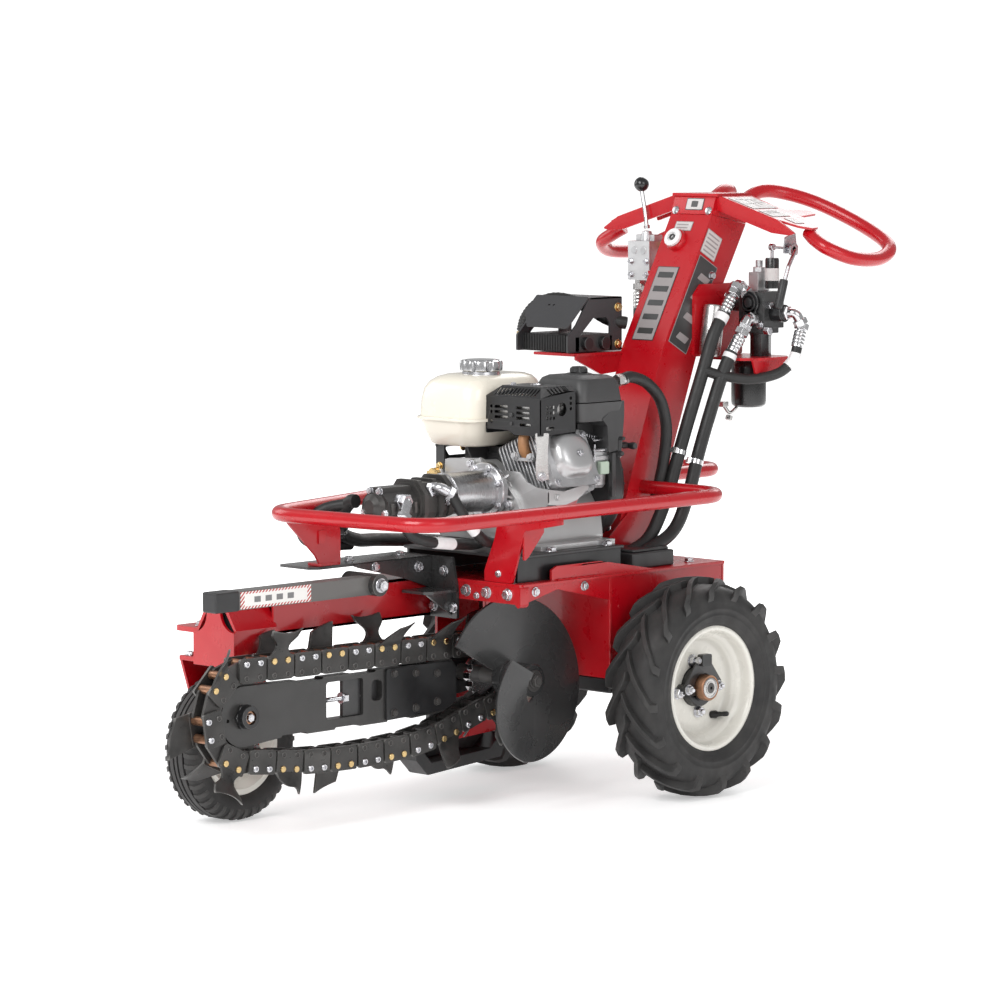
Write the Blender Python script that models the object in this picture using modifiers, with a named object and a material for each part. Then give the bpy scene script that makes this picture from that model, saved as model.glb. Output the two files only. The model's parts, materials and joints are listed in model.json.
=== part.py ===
"""Walk-behind trencher: digging boom and chain in front, engine over two driven wheels, mast and handlebar.

Frame: +X forward, +Y to the machine's left, +Z up, with the origin on the ground under the middle of
the machine's outline. Inside this file the pieces are laid out from the drive axle (X = 0), and build()
moves them to that origin at the end. All sizes are in metres.
"""

import math

import bmesh
import bpy
from mathutils import Matrix, Vector

# ---------------------------------------------------------------- driving dimensions
GAP = 0.0003                       # clearance between pieces that touch
AXLE_FROM_MIDDLE = 0.2428          # drive axle to the middle of the outline, along X

AXLE_HEIGHT = 0.205                # drive wheel centre above the ground
DRIVE_TYRE_RADIUS = 0.205
DRIVE_TYRE_WIDTH = 0.108
DRIVE_WHEEL_Y = 0.248              # centre plane of each drive wheel
DRIVE_RIM_RADIUS = 0.1155

FRONT_WHEEL_X = 0.777
FRONT_WHEEL_Y = -0.184
FRONT_TYRE_RADIUS = 0.133
FRONT_TYRE_WIDTH = 0.080
DRIVE_WHEEL_SIDES = 22             # odd multiples of two, so each wheel stands on a flat
FRONT_WHEEL_SIDES = 18

DECK_TOP = 0.420
CHASSIS_FRONT_X = 0.388
CHASSIS_REAR_X = -0.175
CHASSIS_HALF_WIDTH = 0.165
WELL_X = 0.146                     # wall behind the auger
SHEET = 0.006
CHASSIS_BOTTOM = 0.225

RAIL_LEFT_Y = -0.060
RAIL_RIGHT_Y = -0.150
RAIL_BOTTOM = 0.347
RAIL_END_X = 0.780
NOSE_X = 0.884

HEAD_X = 0.318                     # headshaft axis, parallel to Y
HEAD_Z = 0.236
CHAIN_PITCH = 0.0325
SPROCKET_TEETH = 9
HEAD_PIN_RADIUS = CHAIN_PITCH / (2.0 * math.sin(math.pi / SPROCKET_TEETH))
NOSE_CENTRE_X = 0.921              # nose idler axis
NOSE_CENTRE_Z = 0.221
NOSE_PIN_RADIUS = 0.068
BAR_HALF_THICKNESS = 0.011
CHAIN_HALF_WIDTH = 0.022
TOOTH_HALF_WIDTH = 0.050

AUGER_RADIUS = 0.150
AUGER_TUBE_RADIUS = 0.030
AUGER_START_Y = 0.046
AUGER_END_Y = 0.172
AUGER_TURNS = 1.0
AUGER_START_ANGLE = 28.0           # of the flight's leading tip, from +X towards +Z

CRANK_Z = 0.576                    # engine crankshaft axis, parallel to X at Y = 0
ENGINE_BASE_Z = 0.470
ENGINE_FRONT_X = 0.300

MAST_HALF_WIDTH = 0.052
MAST_DEPTH = 0.100                 # measured level, front to back
MAST_FOOT = (0.026, DECK_TOP + GAP)
MAST_BEND = (-0.122, 0.820)
MAST_TOP = (-0.262, 1.072)

RING_Z = 0.560                     # guard ring centreline
RING_TUBE_RADIUS = 0.0135
RING_LEFT_Y = 0.268
RING_RIGHT_Y = -0.225
RING_FRONT_X = 0.752

LOOP_TUBE_RADIUS = 0.0135          # handlebar tube

COLLECTION_NAME = "walk_behind_trencher"


# ---------------------------------------------------------------- scene and materials
def clear_scene():
    for old in list(bpy.data.objects):
        bpy.data.objects.remove(old, do_unlink=True)


def new_collection(name):
    collection = bpy.data.collections.new(name)
    bpy.context.scene.collection.children.link(collection)
    return collection


def new_material(name, colour, roughness, metallic=0.0):
    material = bpy.data.materials.new(name)
    material.use_nodes = True
    shader = material.node_tree.nodes["Principled BSDF"]
    shader.inputs["Base Color"].default_value = (*colour, 1.0)
    shader.inputs["Roughness"].default_value = roughness
    shader.inputs["Metallic"].default_value = metallic
    return material


clear_scene()
PARTS = new_collection(COLLECTION_NAME)
CUTTERS = new_collection("cutters")

RED = ("red_paint", (0.52, 0.012, 0.02), 0.28, 0.0)
BLACK = ("black_paint", (0.018, 0.018, 0.020), 0.42, 0.0)
DARK_STEEL = ("dark_steel", (0.045, 0.045, 0.048), 0.45, 0.7)
BRIGHT_STEEL = ("bright_steel", (0.62, 0.62, 0.64), 0.28, 1.0)
ALUMINIUM = ("cast_aluminium", (0.55, 0.56, 0.57), 0.42, 0.9)
RUBBER = ("rubber", (0.020, 0.020, 0.021), 0.72, 0.0)
WHITE = ("white_paint", (0.80, 0.79, 0.75), 0.35, 0.0)
CREAM = ("cream_plastic", (0.83, 0.80, 0.70), 0.38, 0.0)
PLASTIC = ("black_plastic", (0.022, 0.022, 0.024), 0.50, 0.0)


# ---------------------------------------------------------------- building blocks
def give(obj, name, finish):
    """Name a finished piece, give it its own material and file it with the parts."""
    obj.name = name
    obj.data.name = name
    obj.data.materials.clear()
    obj.data.materials.append(new_material(name + "_" + finish[0], finish[1], finish[2], finish[3]))
    for collection in list(obj.users_collection):
        collection.objects.unlink(obj)
    PARTS.objects.link(obj)
    obj.data.shade_smooth()
    obj.data.set_sharp_from_angle(angle=math.radians(35))
    return obj


def raw_object(bm, name="raw"):
    mesh = bpy.data.meshes.new(name)
    bm.to_mesh(mesh)
    bm.free()
    obj = bpy.data.objects.new(name, mesh)
    CUTTERS.objects.link(obj)
    return obj


def baked(obj):
    """Replace an object by its evaluated mesh, welded, with its transform applied."""
    graph = bpy.context.evaluated_depsgraph_get()
    mesh = bpy.data.meshes.new_from_object(obj.evaluated_get(graph))
    mesh.transform(obj.matrix_world)
    bm = bmesh.new()
    bm.from_mesh(mesh)
    bmesh.ops.remove_doubles(bm, verts=bm.verts, dist=0.00002)
    bmesh.ops.recalc_face_normals(bm, faces=bm.faces)
    bm.to_mesh(mesh)
    bm.free()
    solid = bpy.data.objects.new(obj.name, mesh)
    CUTTERS.objects.link(solid)
    bpy.data.objects.remove(obj, do_unlink=True)
    return solid


def block(low, high, bevel=0.0, segments=1):
    """A box from corner to corner, with rounded edges if asked."""
    bm = bmesh.new()
    size = [high[i] - low[i] for i in range(3)]
    centre = [(high[i] + low[i]) / 2.0 for i in range(3)]
    bmesh.ops.create_cube(bm, size=1.0, matrix=Matrix.Translation(centre) @ Matrix.Diagonal((*size, 1.0)))
    if bevel:
        bmesh.ops.bevel(bm, geom=bm.edges[:], offset=bevel, segments=segments, affect="EDGES", profile=0.5)
    return raw_object(bm)


AXIS_TURN = {
    "X": Matrix.Rotation(math.radians(90), 4, "Y"),
    "Y": Matrix.Rotation(math.radians(-90), 4, "X"),
    "Z": Matrix.Identity(4),
}


def cylinder(centre, radius, length, axis="Z", radius_2=None, sides=24):
    """A cylinder or cone about a centre point; radius_2 is the end on the positive side of the axis."""
    bm = bmesh.new()
    end = radius if radius_2 is None else radius_2
    bmesh.ops.create_cone(bm, cap_ends=True, segments=sides, radius1=radius, radius2=end, depth=length,
                          matrix=Matrix.Translation(centre) @ AXIS_TURN[axis])
    return raw_object(bm)


def ball(centre, radius, sides=12):
    bm = bmesh.new()
    bmesh.ops.create_uvsphere(bm, u_segments=sides, v_segments=sides // 2, radius=radius,
                              matrix=Matrix.Translation(centre))
    return raw_object(bm)


def arc(centre, radius, start, stop, steps):
    """Points along an arc; angles in degrees, counter-clockwise from the first axis."""
    points = []
    for i in range(steps + 1):
        angle = math.radians(start + (stop - start) * i / steps)
        points.append((centre[0] + radius * math.cos(angle), centre[1] + radius * math.sin(angle)))
    return points


PLANE_TURN = {
    "XY": Matrix.Identity(4),
    "XZ": Matrix.Rotation(math.radians(90), 4, "X"),
    "YZ": Matrix.Rotation(math.radians(90), 4, "Z") @ Matrix.Rotation(math.radians(90), 4, "X"),
}


def plate(outline, plane, centre, thickness, holes=()):
    """A flat plate from a closed outline in a plane, centred on `centre` along the plane's normal."""
    curve = bpy.data.curves.new("outline", "CURVE")
    curve.dimensions = "2D"
    curve.fill_mode = "BOTH"
    curve.extrude = thickness / 2.0
    for ring in [outline, *holes]:
        spline = curve.splines.new("POLY")
        spline.points.add(len(ring) - 1)
        for point, (a, b) in zip(spline.points, ring):
            point.co = (a, b, 0.0, 1.0)
        spline.use_cyclic_u = True
    obj = bpy.data.objects.new("outline", curve)
    CUTTERS.objects.link(obj)
    offset = {"XY": (0, 0, centre), "XZ": (0, centre, 0), "YZ": (centre, 0, 0)}[plane]
    obj.matrix_world = Matrix.Translation(offset) @ PLANE_TURN[plane]
    bpy.context.view_layer.update()
    return baked(obj)


def rod(points, radius, sides_resolution=2, closed=False):
    """A round tube or wire along points."""
    curve = bpy.data.curves.new("wire", "CURVE")
    curve.dimensions = "3D"
    curve.bevel_depth = radius
    curve.bevel_resolution = sides_resolution
    curve.use_fill_caps = True
    spline = curve.splines.new("POLY")
    spline.points.add(len(points) - 1)
    for point, place in zip(spline.points, points):
        point.co = (*place, 1.0)
    spline.use_cyclic_u = closed
    obj = bpy.data.objects.new("wire", curve)
    CUTTERS.objects.link(obj)
    bpy.context.view_layer.update()
    return baked(obj)


def turned(profile, centre, axis="Z", sides=32):
    """A turned solid: profile points are (radius, distance along the axis), outer side top to bottom."""
    mesh = bpy.data.meshes.new("profile")
    bm = bmesh.new()
    verts = [bm.verts.new((r, 0.0, z)) for r, z in profile]
    solid_core = profile[0][0] == 0.0 and profile[-1][0] == 0.0
    for first, second in zip(verts, verts[1:] if solid_core else verts[1:] + verts[:1]):
        bm.edges.new((first, second))
    bm.to_mesh(mesh)
    bm.free()
    obj = bpy.data.objects.new("profile", mesh)
    CUTTERS.objects.link(obj)
    screw = obj.modifiers.new("screw", "SCREW")
    screw.axis = "Z"
    screw.steps = sides
    screw.render_steps = sides
    screw.use_merge_vertices = True
    screw.merge_threshold = 0.00005
    obj.matrix_world = Matrix.Translation(centre) @ AXIS_TURN[axis]
    bpy.context.view_layer.update()
    return baked(obj)


def smooth_path(knots, steps=4):
    """A smooth curve through the knots (Catmull-Rom), as a list of points."""
    knots = [Vector(k) for k in knots]
    padded = [2 * knots[0] - knots[1], *knots, 2 * knots[-1] - knots[-2]]
    points = []
    for i in range(1, len(padded) - 2):
        p0, p1, p2, p3 = padded[i - 1:i + 3]
        for s in range(steps):
            t = s / steps
            points.append(0.5 * ((2 * p1) + (p2 - p0) * t + (2 * p0 - 5 * p1 + 4 * p2 - p3) * t * t
                                 + (3 * p1 - p0 - 3 * p2 + p3) * t * t * t))
    points.append(knots[-1])
    return points


def rounded_path(corners, radius, steps=5):
    """A path of straight runs with round corners, as a bent tube has."""
    corners = [Vector(c) for c in corners]
    points = [corners[0]]
    for before, corner, after in zip(corners, corners[1:], corners[2:]):
        inward = (before - corner).normalized()
        outward = (after - corner).normalized()
        half = inward.angle(outward) / 2.0
        reach = min(radius / math.tan(half), 0.48 * (before - corner).length, 0.48 * (after - corner).length)
        start = corner + inward * reach
        stop = corner + outward * reach
        for s in range(steps + 1):
            t = s / steps
            points.append((1 - t) ** 2 * start + 2 * t * (1 - t) * corner + t * t * stop)
    points.append(corners[-1])
    return points


def combine(target, others, operation="UNION"):
    """Join or cut meshes with exact Booleans and return the finished mesh object."""
    for other in others:
        modifier = target.modifiers.new("boolean", "BOOLEAN")
        modifier.operation = operation
        modifier.solver = "EXACT"
        modifier.object = other
    bpy.context.view_layer.update()
    result = baked(target)
    for other in others:
        bpy.data.objects.remove(other, do_unlink=True)
    return result


def cut(target, cutters):
    return combine(target, cutters, "DIFFERENCE")


def turn_about(obj, pivot, axis, degrees):
    """Rotate a raw mesh about a point and an axis, once and for all."""
    pivot = Vector(pivot)
    turn = Matrix.Translation(pivot) @ Matrix.Rotation(math.radians(degrees), 4, axis)
    obj.data.transform(turn @ Matrix.Translation(-pivot))
    return obj


def mirror_y(obj):
    """Mirror a raw mesh across the machine's centre plane."""
    obj.data.transform(Matrix.Diagonal((1.0, -1.0, 1.0, 1.0)))
    obj.data.flip_normals()
    return obj


def on_axis(pivot_name, pivot, pieces):
    """Parent pieces to an empty on their joint's axis; their meshes keep their places."""
    empty = bpy.data.objects.new(pivot_name, None)
    empty.location = pivot
    PARTS.objects.link(empty)
    for piece in pieces:
        piece.data.transform(Matrix.Translation(-Vector(pivot)))
        piece.parent = empty
    return empty


# ---------------------------------------------------------------- chassis and front frame
def make_chassis_body():
    """Folded sheet box: deck, sides with an axle lobe, walls, and a flanged front over the auger."""
    half = CHASSIS_HALF_WIDTH
    step = 0.001
    inner = half - step
    under = DECK_TOP - SHEET / 2.0
    deck = block((CHASSIS_REAR_X, -half, DECK_TOP - SHEET), (CHASSIS_FRONT_X, half, DECK_TOP))
    band = block((CHASSIS_FRONT_X - SHEET, -inner, 0.383), (CHASSIS_FRONT_X - step, inner, under))
    rear = block((CHASSIS_REAR_X + step, -inner, CHASSIS_BOTTOM), (CHASSIS_REAR_X + SHEET, inner, under))
    well = block((WELL_X - SHEET, -inner, CHASSIS_BOTTOM), (WELL_X, inner, under))
    lobe = arc((0.0, AXLE_HEIGHT), 0.055, 180, 360, 8)
    low = CHASSIS_BOTTOM + step
    outline = [(CHASSIS_REAR_X + 2 * step, under - step), (CHASSIS_REAR_X + 2 * step, low - 0.0005),
               (-0.075, low), *lobe, (0.075, low + step), (WELL_X + step, low + 2 * step),
               (WELL_X + step, 0.372), (0.285, 0.404), (0.366, 0.385), (CHASSIS_FRONT_X - 2 * step, 0.385),
               (CHASSIS_FRONT_X - 2 * step, under - step)]
    sides = [plate(outline, "XZ", side * (half - 2 * step - SHEET / 2.0), SHEET) for side in (1, -1)]
    hanger = plate(hanger_outline(), "XZ", -0.0635, 0.006, [arc((HEAD_X, HEAD_Z), 0.0205, 0, 337.5, 15)])
    body = combine(deck, [band, rear, well, *sides, hanger])
    return give(body, "chassis_body", RED)


def hanger_outline():
    """Plate under the deck that carries the headshaft, rounded about its axis."""
    top = DECK_TOP - SHEET / 2.0
    return [(0.262, top), (0.262, 0.250), *arc((HEAD_X, HEAD_Z), 0.050, 165, 375, 12),
            (0.372, 0.250), (0.372, top)]


def make_front_cross_bar():
    half = CHASSIS_HALF_WIDTH
    bar = block((0.118, -half, 0.197), (WELL_X, half, CHASSIS_BOTTOM - GAP), 0.003)
    return give(bar, "front_cross_bar", BLACK)


def make_front_rail():
    """Box rail beside the boom, with the wider nose housing, its shaped face and the swivel bracket."""
    end = RAIL_END_X + 0.002
    rail = block((CHASSIS_FRONT_X + GAP, RAIL_RIGHT_Y, RAIL_BOTTOM), (end, RAIL_LEFT_Y, DECK_TOP))
    left, right = RAIL_LEFT_Y + 0.005, RAIL_RIGHT_Y - 0.012
    low, shoulder, top = 0.318, 0.356, 0.398
    section = [(left, low), (left, shoulder + 0.005), (left - 0.024, top), (right + 0.026, top),
               (right, shoulder - 0.004), (right, low)]
    middle = (RAIL_END_X + NOSE_X - 0.004) / 2.0
    housing = plate(section, "YZ", middle, NOSE_X - 0.004 - RAIL_END_X)
    notch = 0.036
    nose = [(left, low - 0.024), (left, shoulder), *arc((left, shoulder + notch), notch, 270, 205, 5)[1:],
            (left - notch, top + 0.004), (right + notch, top + 0.004),
            *arc((right, shoulder + notch), notch, -25, -90, 5), (right, low - 0.024)]
    face = plate(nose, "YZ", NOSE_X - SHEET / 2.0, SHEET)
    bracket = block((0.742, -0.232, RAIL_BOTTOM + 0.0002), (0.872, RAIL_RIGHT_Y + 0.01, RAIL_BOTTOM + 0.010))
    return give(combine(rail, [housing, face, bracket]), "front_rail", RED)


def make_engine_bed():
    top = block((0.092, -0.145, 0.4637), (0.376, 0.150, ENGINE_BASE_Z - GAP))
    webs = [block((0.096, y, DECK_TOP + GAP), (0.372, y + 0.006, 0.465)) for y in (-0.140, 0.139)]
    return give(combine(top, webs), "engine_bed", BLACK)


def make_boom_mount_bracket():
    """Black folded bracket bolted to the front of the chassis, above the boom's root."""
    x0 = CHASSIS_FRONT_X + GAP
    back = block((x0, -0.057, 0.3455), (x0 + 0.007, 0.012, 0.459))
    shelf = block((x0, -0.057, 0.395), (0.470, 0.012, 0.402))
    outline = [(x0 + 0.001, 0.396), (0.575, 0.449), (0.562, 0.457), (x0 + 0.001, 0.457)]
    web = plate(outline, "XZ", -0.0535, 0.007)
    top = block((x0, -0.146, 0.4525), (0.690, -0.0505, 0.4585))
    return give(combine(back, [shelf, web, top]), "boom_mount_bracket", BLACK)


def make_shoe():
    """Black deflector shoe under the rear of the chain, and the red bracket that carries it."""
    y0, y1 = -0.110, -0.063
    outline = [(0.200, 0.062), (0.395, 0.048), (0.425, 0.078), (0.425, 0.098), (0.180, 0.106)]
    shoe = plate(outline, "XZ", (y0 + y1) / 2.0, y1 - y0)
    give(shoe, "digging_shoe", BLACK)
    outline = [(WELL_X + GAP, 0.318), (WELL_X + GAP, 0.200), (0.192, 0.1085), (0.300, 0.1030), (0.300, 0.127),
               (0.212, 0.180)]
    give(plate(outline, "XZ", -0.086, 0.008), "shoe_bracket", RED)


# ---------------------------------------------------------------- mast and guard
def make_mast():
    """Bent rectangular column, open at both ends, with the side gussets at its foot."""
    (fx, fz), (bx, bz), (tx, tz) = MAST_FOOT, MAST_BEND, MAST_TOP
    d = MAST_DEPTH
    outer = [(fx, fz), (bx, bz), (tx, tz), (tx - d, tz - 0.020), (bx - d, bz - 0.010), (fx - d, fz)]
    column = plate(outer, "XZ", 0.0, 2 * MAST_HALF_WIDTH)
    wall = 0.005
    inner = [(fx - wall, fz - 0.01), (bx - wall, bz), (tx - wall, tz + 0.03), (tx - d + wall, tz + 0.03),
             (bx - d + wall, bz - 0.010), (fx - d + wall, fz - 0.01)]
    hollow = plate(inner, "XZ", 0.0, 2 * (MAST_HALF_WIDTH - wall))
    column = cut(column, [hollow])
    foot = [(0.075, fz), (0.060, fz + 0.012), (-0.030, 0.500), (-0.060, 0.500), (-0.020, fz)]
    gussets = [plate(foot, "XZ", side * (MAST_HALF_WIDTH + 0.0025), 0.006) for side in (1, -1)]
    shelf = plate([(0.010, 0.806), (-0.150, 0.806), (-0.150, 0.812), (0.010, 0.812)], "XZ", -0.105, 0.115)
    valve_arm = block((-0.292, -0.0900, 0.955), (-0.235, 0.002 - MAST_HALF_WIDTH, 0.962))
    side_arm = block((-0.345, MAST_HALF_WIDTH - 0.002, 0.800), (-0.200, 0.0597, 0.940))
    cradle = block((-0.360, MAST_HALF_WIDTH - 0.002, 0.796), (-0.235, 0.180, 0.802))
    return give(combine(column, [*gussets, shelf, valve_arm, side_arm, cradle]), "mast", RED)


def make_fill_plug():
    """Tank filler: a round boss and its plug on the front face of the mast."""
    (bx, bz), (tx, tz) = MAST_BEND, MAST_TOP
    t = 0.80
    place = Vector((bx + (tx - bx) * t, -0.012, bz + (tz - bz) * t))
    along = Vector((tx - bx, 0.0, tz - bz)).normalized()
    out = Vector((along.z, 0.0, -along.x))
    profile = [(0.0, 0.020), (0.010, 0.020), (0.012, 0.017), (0.012, 0.010), (0.021, 0.010), (0.021, GAP),
               (0.0, GAP)]
    plug = turned(profile, (0, 0, 0), "Z", 18)
    turn = Vector((0, 0, 1)).rotation_difference(out).to_matrix().to_4x4()
    plug.data.transform(turn)
    give(plug, "fill_plug", BRIGHT_STEEL)
    plug.location = place
    return plug


def ring_path():
    """Guard ring centreline from the left side of the mast, round the engine, to the mast's back."""
    z = RING_Z
    (fx, fz), (bx, bz) = MAST_FOOT, MAST_BEND
    front_of_mast = fx + (z - fz) * (bx - fx) / (bz - fz)
    inner = MAST_HALF_WIDTH + GAP
    corners = [(front_of_mast - 0.045, inner, z), (front_of_mast - 0.045, RING_LEFT_Y, z),
               (RING_FRONT_X - 0.012, RING_LEFT_Y + 0.016, z), (RING_FRONT_X + 0.022, -0.085, z),
               (0.32, RING_RIGHT_Y + 0.014, z), (-0.47, RING_RIGHT_Y, z), (-0.47, RING_RIGHT_Y + 0.125, z),
               (front_of_mast - 0.055, -inner - 0.03, z), (front_of_mast - 0.055, -inner, z)]
    return rounded_path(corners, 0.075, 4)


def make_guard_ring():
    return give(rod(ring_path(), RING_TUBE_RADIUS, 1), "guard_ring", RED)


def make_ring_posts():
    """Bent plates that hold the ring: one from the rail in front, one from the deck at the left."""
    top = RING_Z - RING_TUBE_RADIUS - GAP
    foot_z = 0.4588
    post = block((0.620, -0.064, foot_z), (0.680, -0.056, top))
    foot = block((0.620, -0.092, foot_z), (0.680, -0.057, foot_z + 0.006))
    head = block((0.621, -0.063, top - 0.010), (0.7525, -0.057, top - 0.0005))
    give(combine(post, [foot, head]), "front_ring_post", RED)
    foot_z = DECK_TOP + GAP
    outline = [(0.074, foot_z), (0.144, foot_z), (0.150, 0.440), (0.176, 0.518), (0.268, 0.536), (0.268, top),
               (0.112, top), (0.100, 0.500), (0.074, 0.440)]
    post = plate(outline, "YZ", 0.3835, 0.005)
    flange = block((0.330, 0.166, 0.516), (0.382, 0.171, 0.542))
    give(combine(post, [flange]), "side_ring_post", RED)


# ---------------------------------------------------------------- handlebar and controls
def loop_path():
    """Left hand loop: from under the wing's end, out and back, then in to the top of the mast."""
    return smooth_path([(-0.330, 0.244, 1.036), (-0.322, 0.292, 1.008), (-0.372, 0.318, 0.990),
                        (-0.450, 0.316, 0.988), (-0.510, 0.296, 1.010), (-0.524, 0.220, 1.046),
                        (-0.498, 0.130, 1.088), (-0.462, 0.070, 1.112), (-0.410, 0.040, 1.1210),
                        (-0.350, 0.034, 1.1210)], 2)


def make_handlebar():
    """Cap over the mast's top, gull-wing plates and a tube loop on each side, as one weldment."""
    (tx, tz), d = MAST_TOP, MAST_DEPTH
    base_z = tz + 0.0345
    cap_outline = [(tx + 0.0005, tz + 0.0004), (tx - 0.012, base_z + 0.001), (tx - d - 0.004, base_z + 0.001),
                   (tx - d, tz - 0.0194)]
    cap = plate(cap_outline, "XZ", 0.0, 2 * MAST_HALF_WIDTH)
    saddle = block((-0.372, -0.058, base_z), (-0.268, 0.058, base_z + 0.006))
    pieces = [cap]
    slope = math.degrees(math.atan2(0.062, 0.210))
    for side in (1, -1):
        pivot = (-0.320, side * 0.0535, base_z + 0.003)
        y0, y1 = sorted((side * 0.0535, side * 0.262))
        wing = block((-0.368, y0, base_z), (-0.278, y1, base_z + 0.006))
        lip = block((-0.284, y0, base_z - 0.028), (-0.278, y1, base_z + 0.002))
        wing = combine(wing, [lip])
        turn_about(wing, pivot, "X", -side * slope)
        loop = rod(loop_path(), LOOP_TUBE_RADIUS, 1)
        if side == -1:
            mirror_y(loop)
        pieces += [wing, loop]
    return give(combine(saddle, pieces), "handlebar", RED)


def make_control_valve():
    """Boom lift valve on the right of the mast and its ball lever."""
    x, y = -0.266, -0.119
    body = block((x - 0.025, y - 0.030, 0.940), (x + 0.025, y + 0.0287, 1.020), 0.004)
    dome = cylinder((x, y, 1.028), 0.018, 0.020, "Z", 0.013)
    port = cylinder((x, y, 0.925), 0.012, 0.034, "Z")
    give(combine(body, [dome, port]), "control_valve", DARK_STEEL)
    bends = [(x, y, 1.0400), (x, y, 1.050), (x - 0.001, y - 0.006, 1.078), (x - 0.004, y - 0.018, 1.122)]
    stem = rod(bends, 0.0048)
    knob = ball((x - 0.005, y - 0.019, 1.128), 0.0145)
    lever = give(combine(stem, [knob]), "ball_lever", PLASTIC)
    on_axis("ball_lever_pivot", (x, y, 1.043), [lever])


def make_drive_controls():
    """Drive valve behind the mast, its spool, and the lever with a black grip under the left wing."""
    body = block((-0.355, 0.095, 0.850), (-0.290, 0.160, 0.930), 0.005)
    boss_a = cylinder((-0.322, 0.172, 0.885), 0.017, 0.030, "Y")
    boss_b = cylinder((-0.3225, 0.078, 0.900), 0.016, 0.0365, "Y")
    foot = cylinder((-0.3225, 0.125, 0.829), 0.020, 0.0534, "Z")
    give(combine(body, [boss_a, boss_b, foot]), "drive_valve", DARK_STEEL)
    spool = cylinder((-0.338, 0.140, 0.9604), 0.0135, 0.060, "Z")
    rod_top = rod([(-0.338, 0.140, 0.985), (-0.338, 0.140, 1.015)], 0.0035)
    lever_x = -0.340
    spool = give(combine(spool, [rod_top]), "drive_valve_spool", PLASTIC)
    on_axis("spool_guide", (-0.338, 0.140, 0.9304), [spool])
    arm_points = [(lever_x, 0.1905, 1.008), (lever_x + 0.030, 0.1905, 0.990), (lever_x + 0.045, 0.200, 0.945)]
    boss = cylinder((lever_x, 0.1905, 1.008), 0.010, 0.011, "Y")
    shank = rod(arm_points, 0.0042)
    grip = cylinder((lever_x + 0.045, 0.200, 0.925), 0.011, 0.060, "Z")
    lever = give(combine(boss, [shank, grip]), "drive_lever", PLASTIC)
    on_axis("drive_lever_pivot", (lever_x, 0.1905, 1.008), [lever])
    filter_profile = [(0.0, 0.044), (0.012, 0.044), (0.030, 0.040), (0.034, 0.032), (0.034, -0.040),
                      (0.028, -0.046), (0.0, -0.046)]
    oil_filter = turned(filter_profile, (-0.3000, 0.115, 0.7495), "Z", 18)
    give(oil_filter, "oil_filter", BLACK)


# ---------------------------------------------------------------- wheels and axle
def tyre_profile(radius, width, bead_radius, bead_half, sides):
    """Tyre section with its mouth at the rim; the flats of its tread lie on the rolling radius."""
    half = width / 2.0
    tread = radius / math.cos(math.pi / sides)
    outer = [(bead_radius + 0.0006, bead_half - 0.0006), (bead_radius + 0.0145, bead_half - 0.0006),
             (radius * 0.72, half), (radius * 0.92, half * 0.96), (tread, half * 0.60)]
    inner = [(radius - 0.014, half * 0.52), (radius * 0.82, half * 0.80),
             (bead_radius + 0.0006, bead_half - 0.009)]
    low_outer = [(r, -y) for r, y in reversed(outer)]
    low_inner = [(r, -y) for r, y in reversed(inner)]
    return [*outer, *low_outer, *low_inner, *inner]


def rim_profile(flange, bead, drop, half, disc_y, hub_hole, sheet):
    """Pressed steel rim section: flanges, bead seats, drop centre and the wheel disc."""
    return [(flange, half), (flange, half - sheet), (bead, half - 0.007), (drop, 0.012), (drop, -0.012),
            (bead, 0.007 - half), (flange, sheet - half), (flange, -half), (bead - sheet, -half + 0.001),
            (drop - sheet, -0.014), (hub_hole + 0.026, disc_y - sheet), (hub_hole, disc_y - sheet),
            (hub_hole, disc_y), (drop - sheet, disc_y + 0.006), (bead - sheet, half)]


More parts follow.
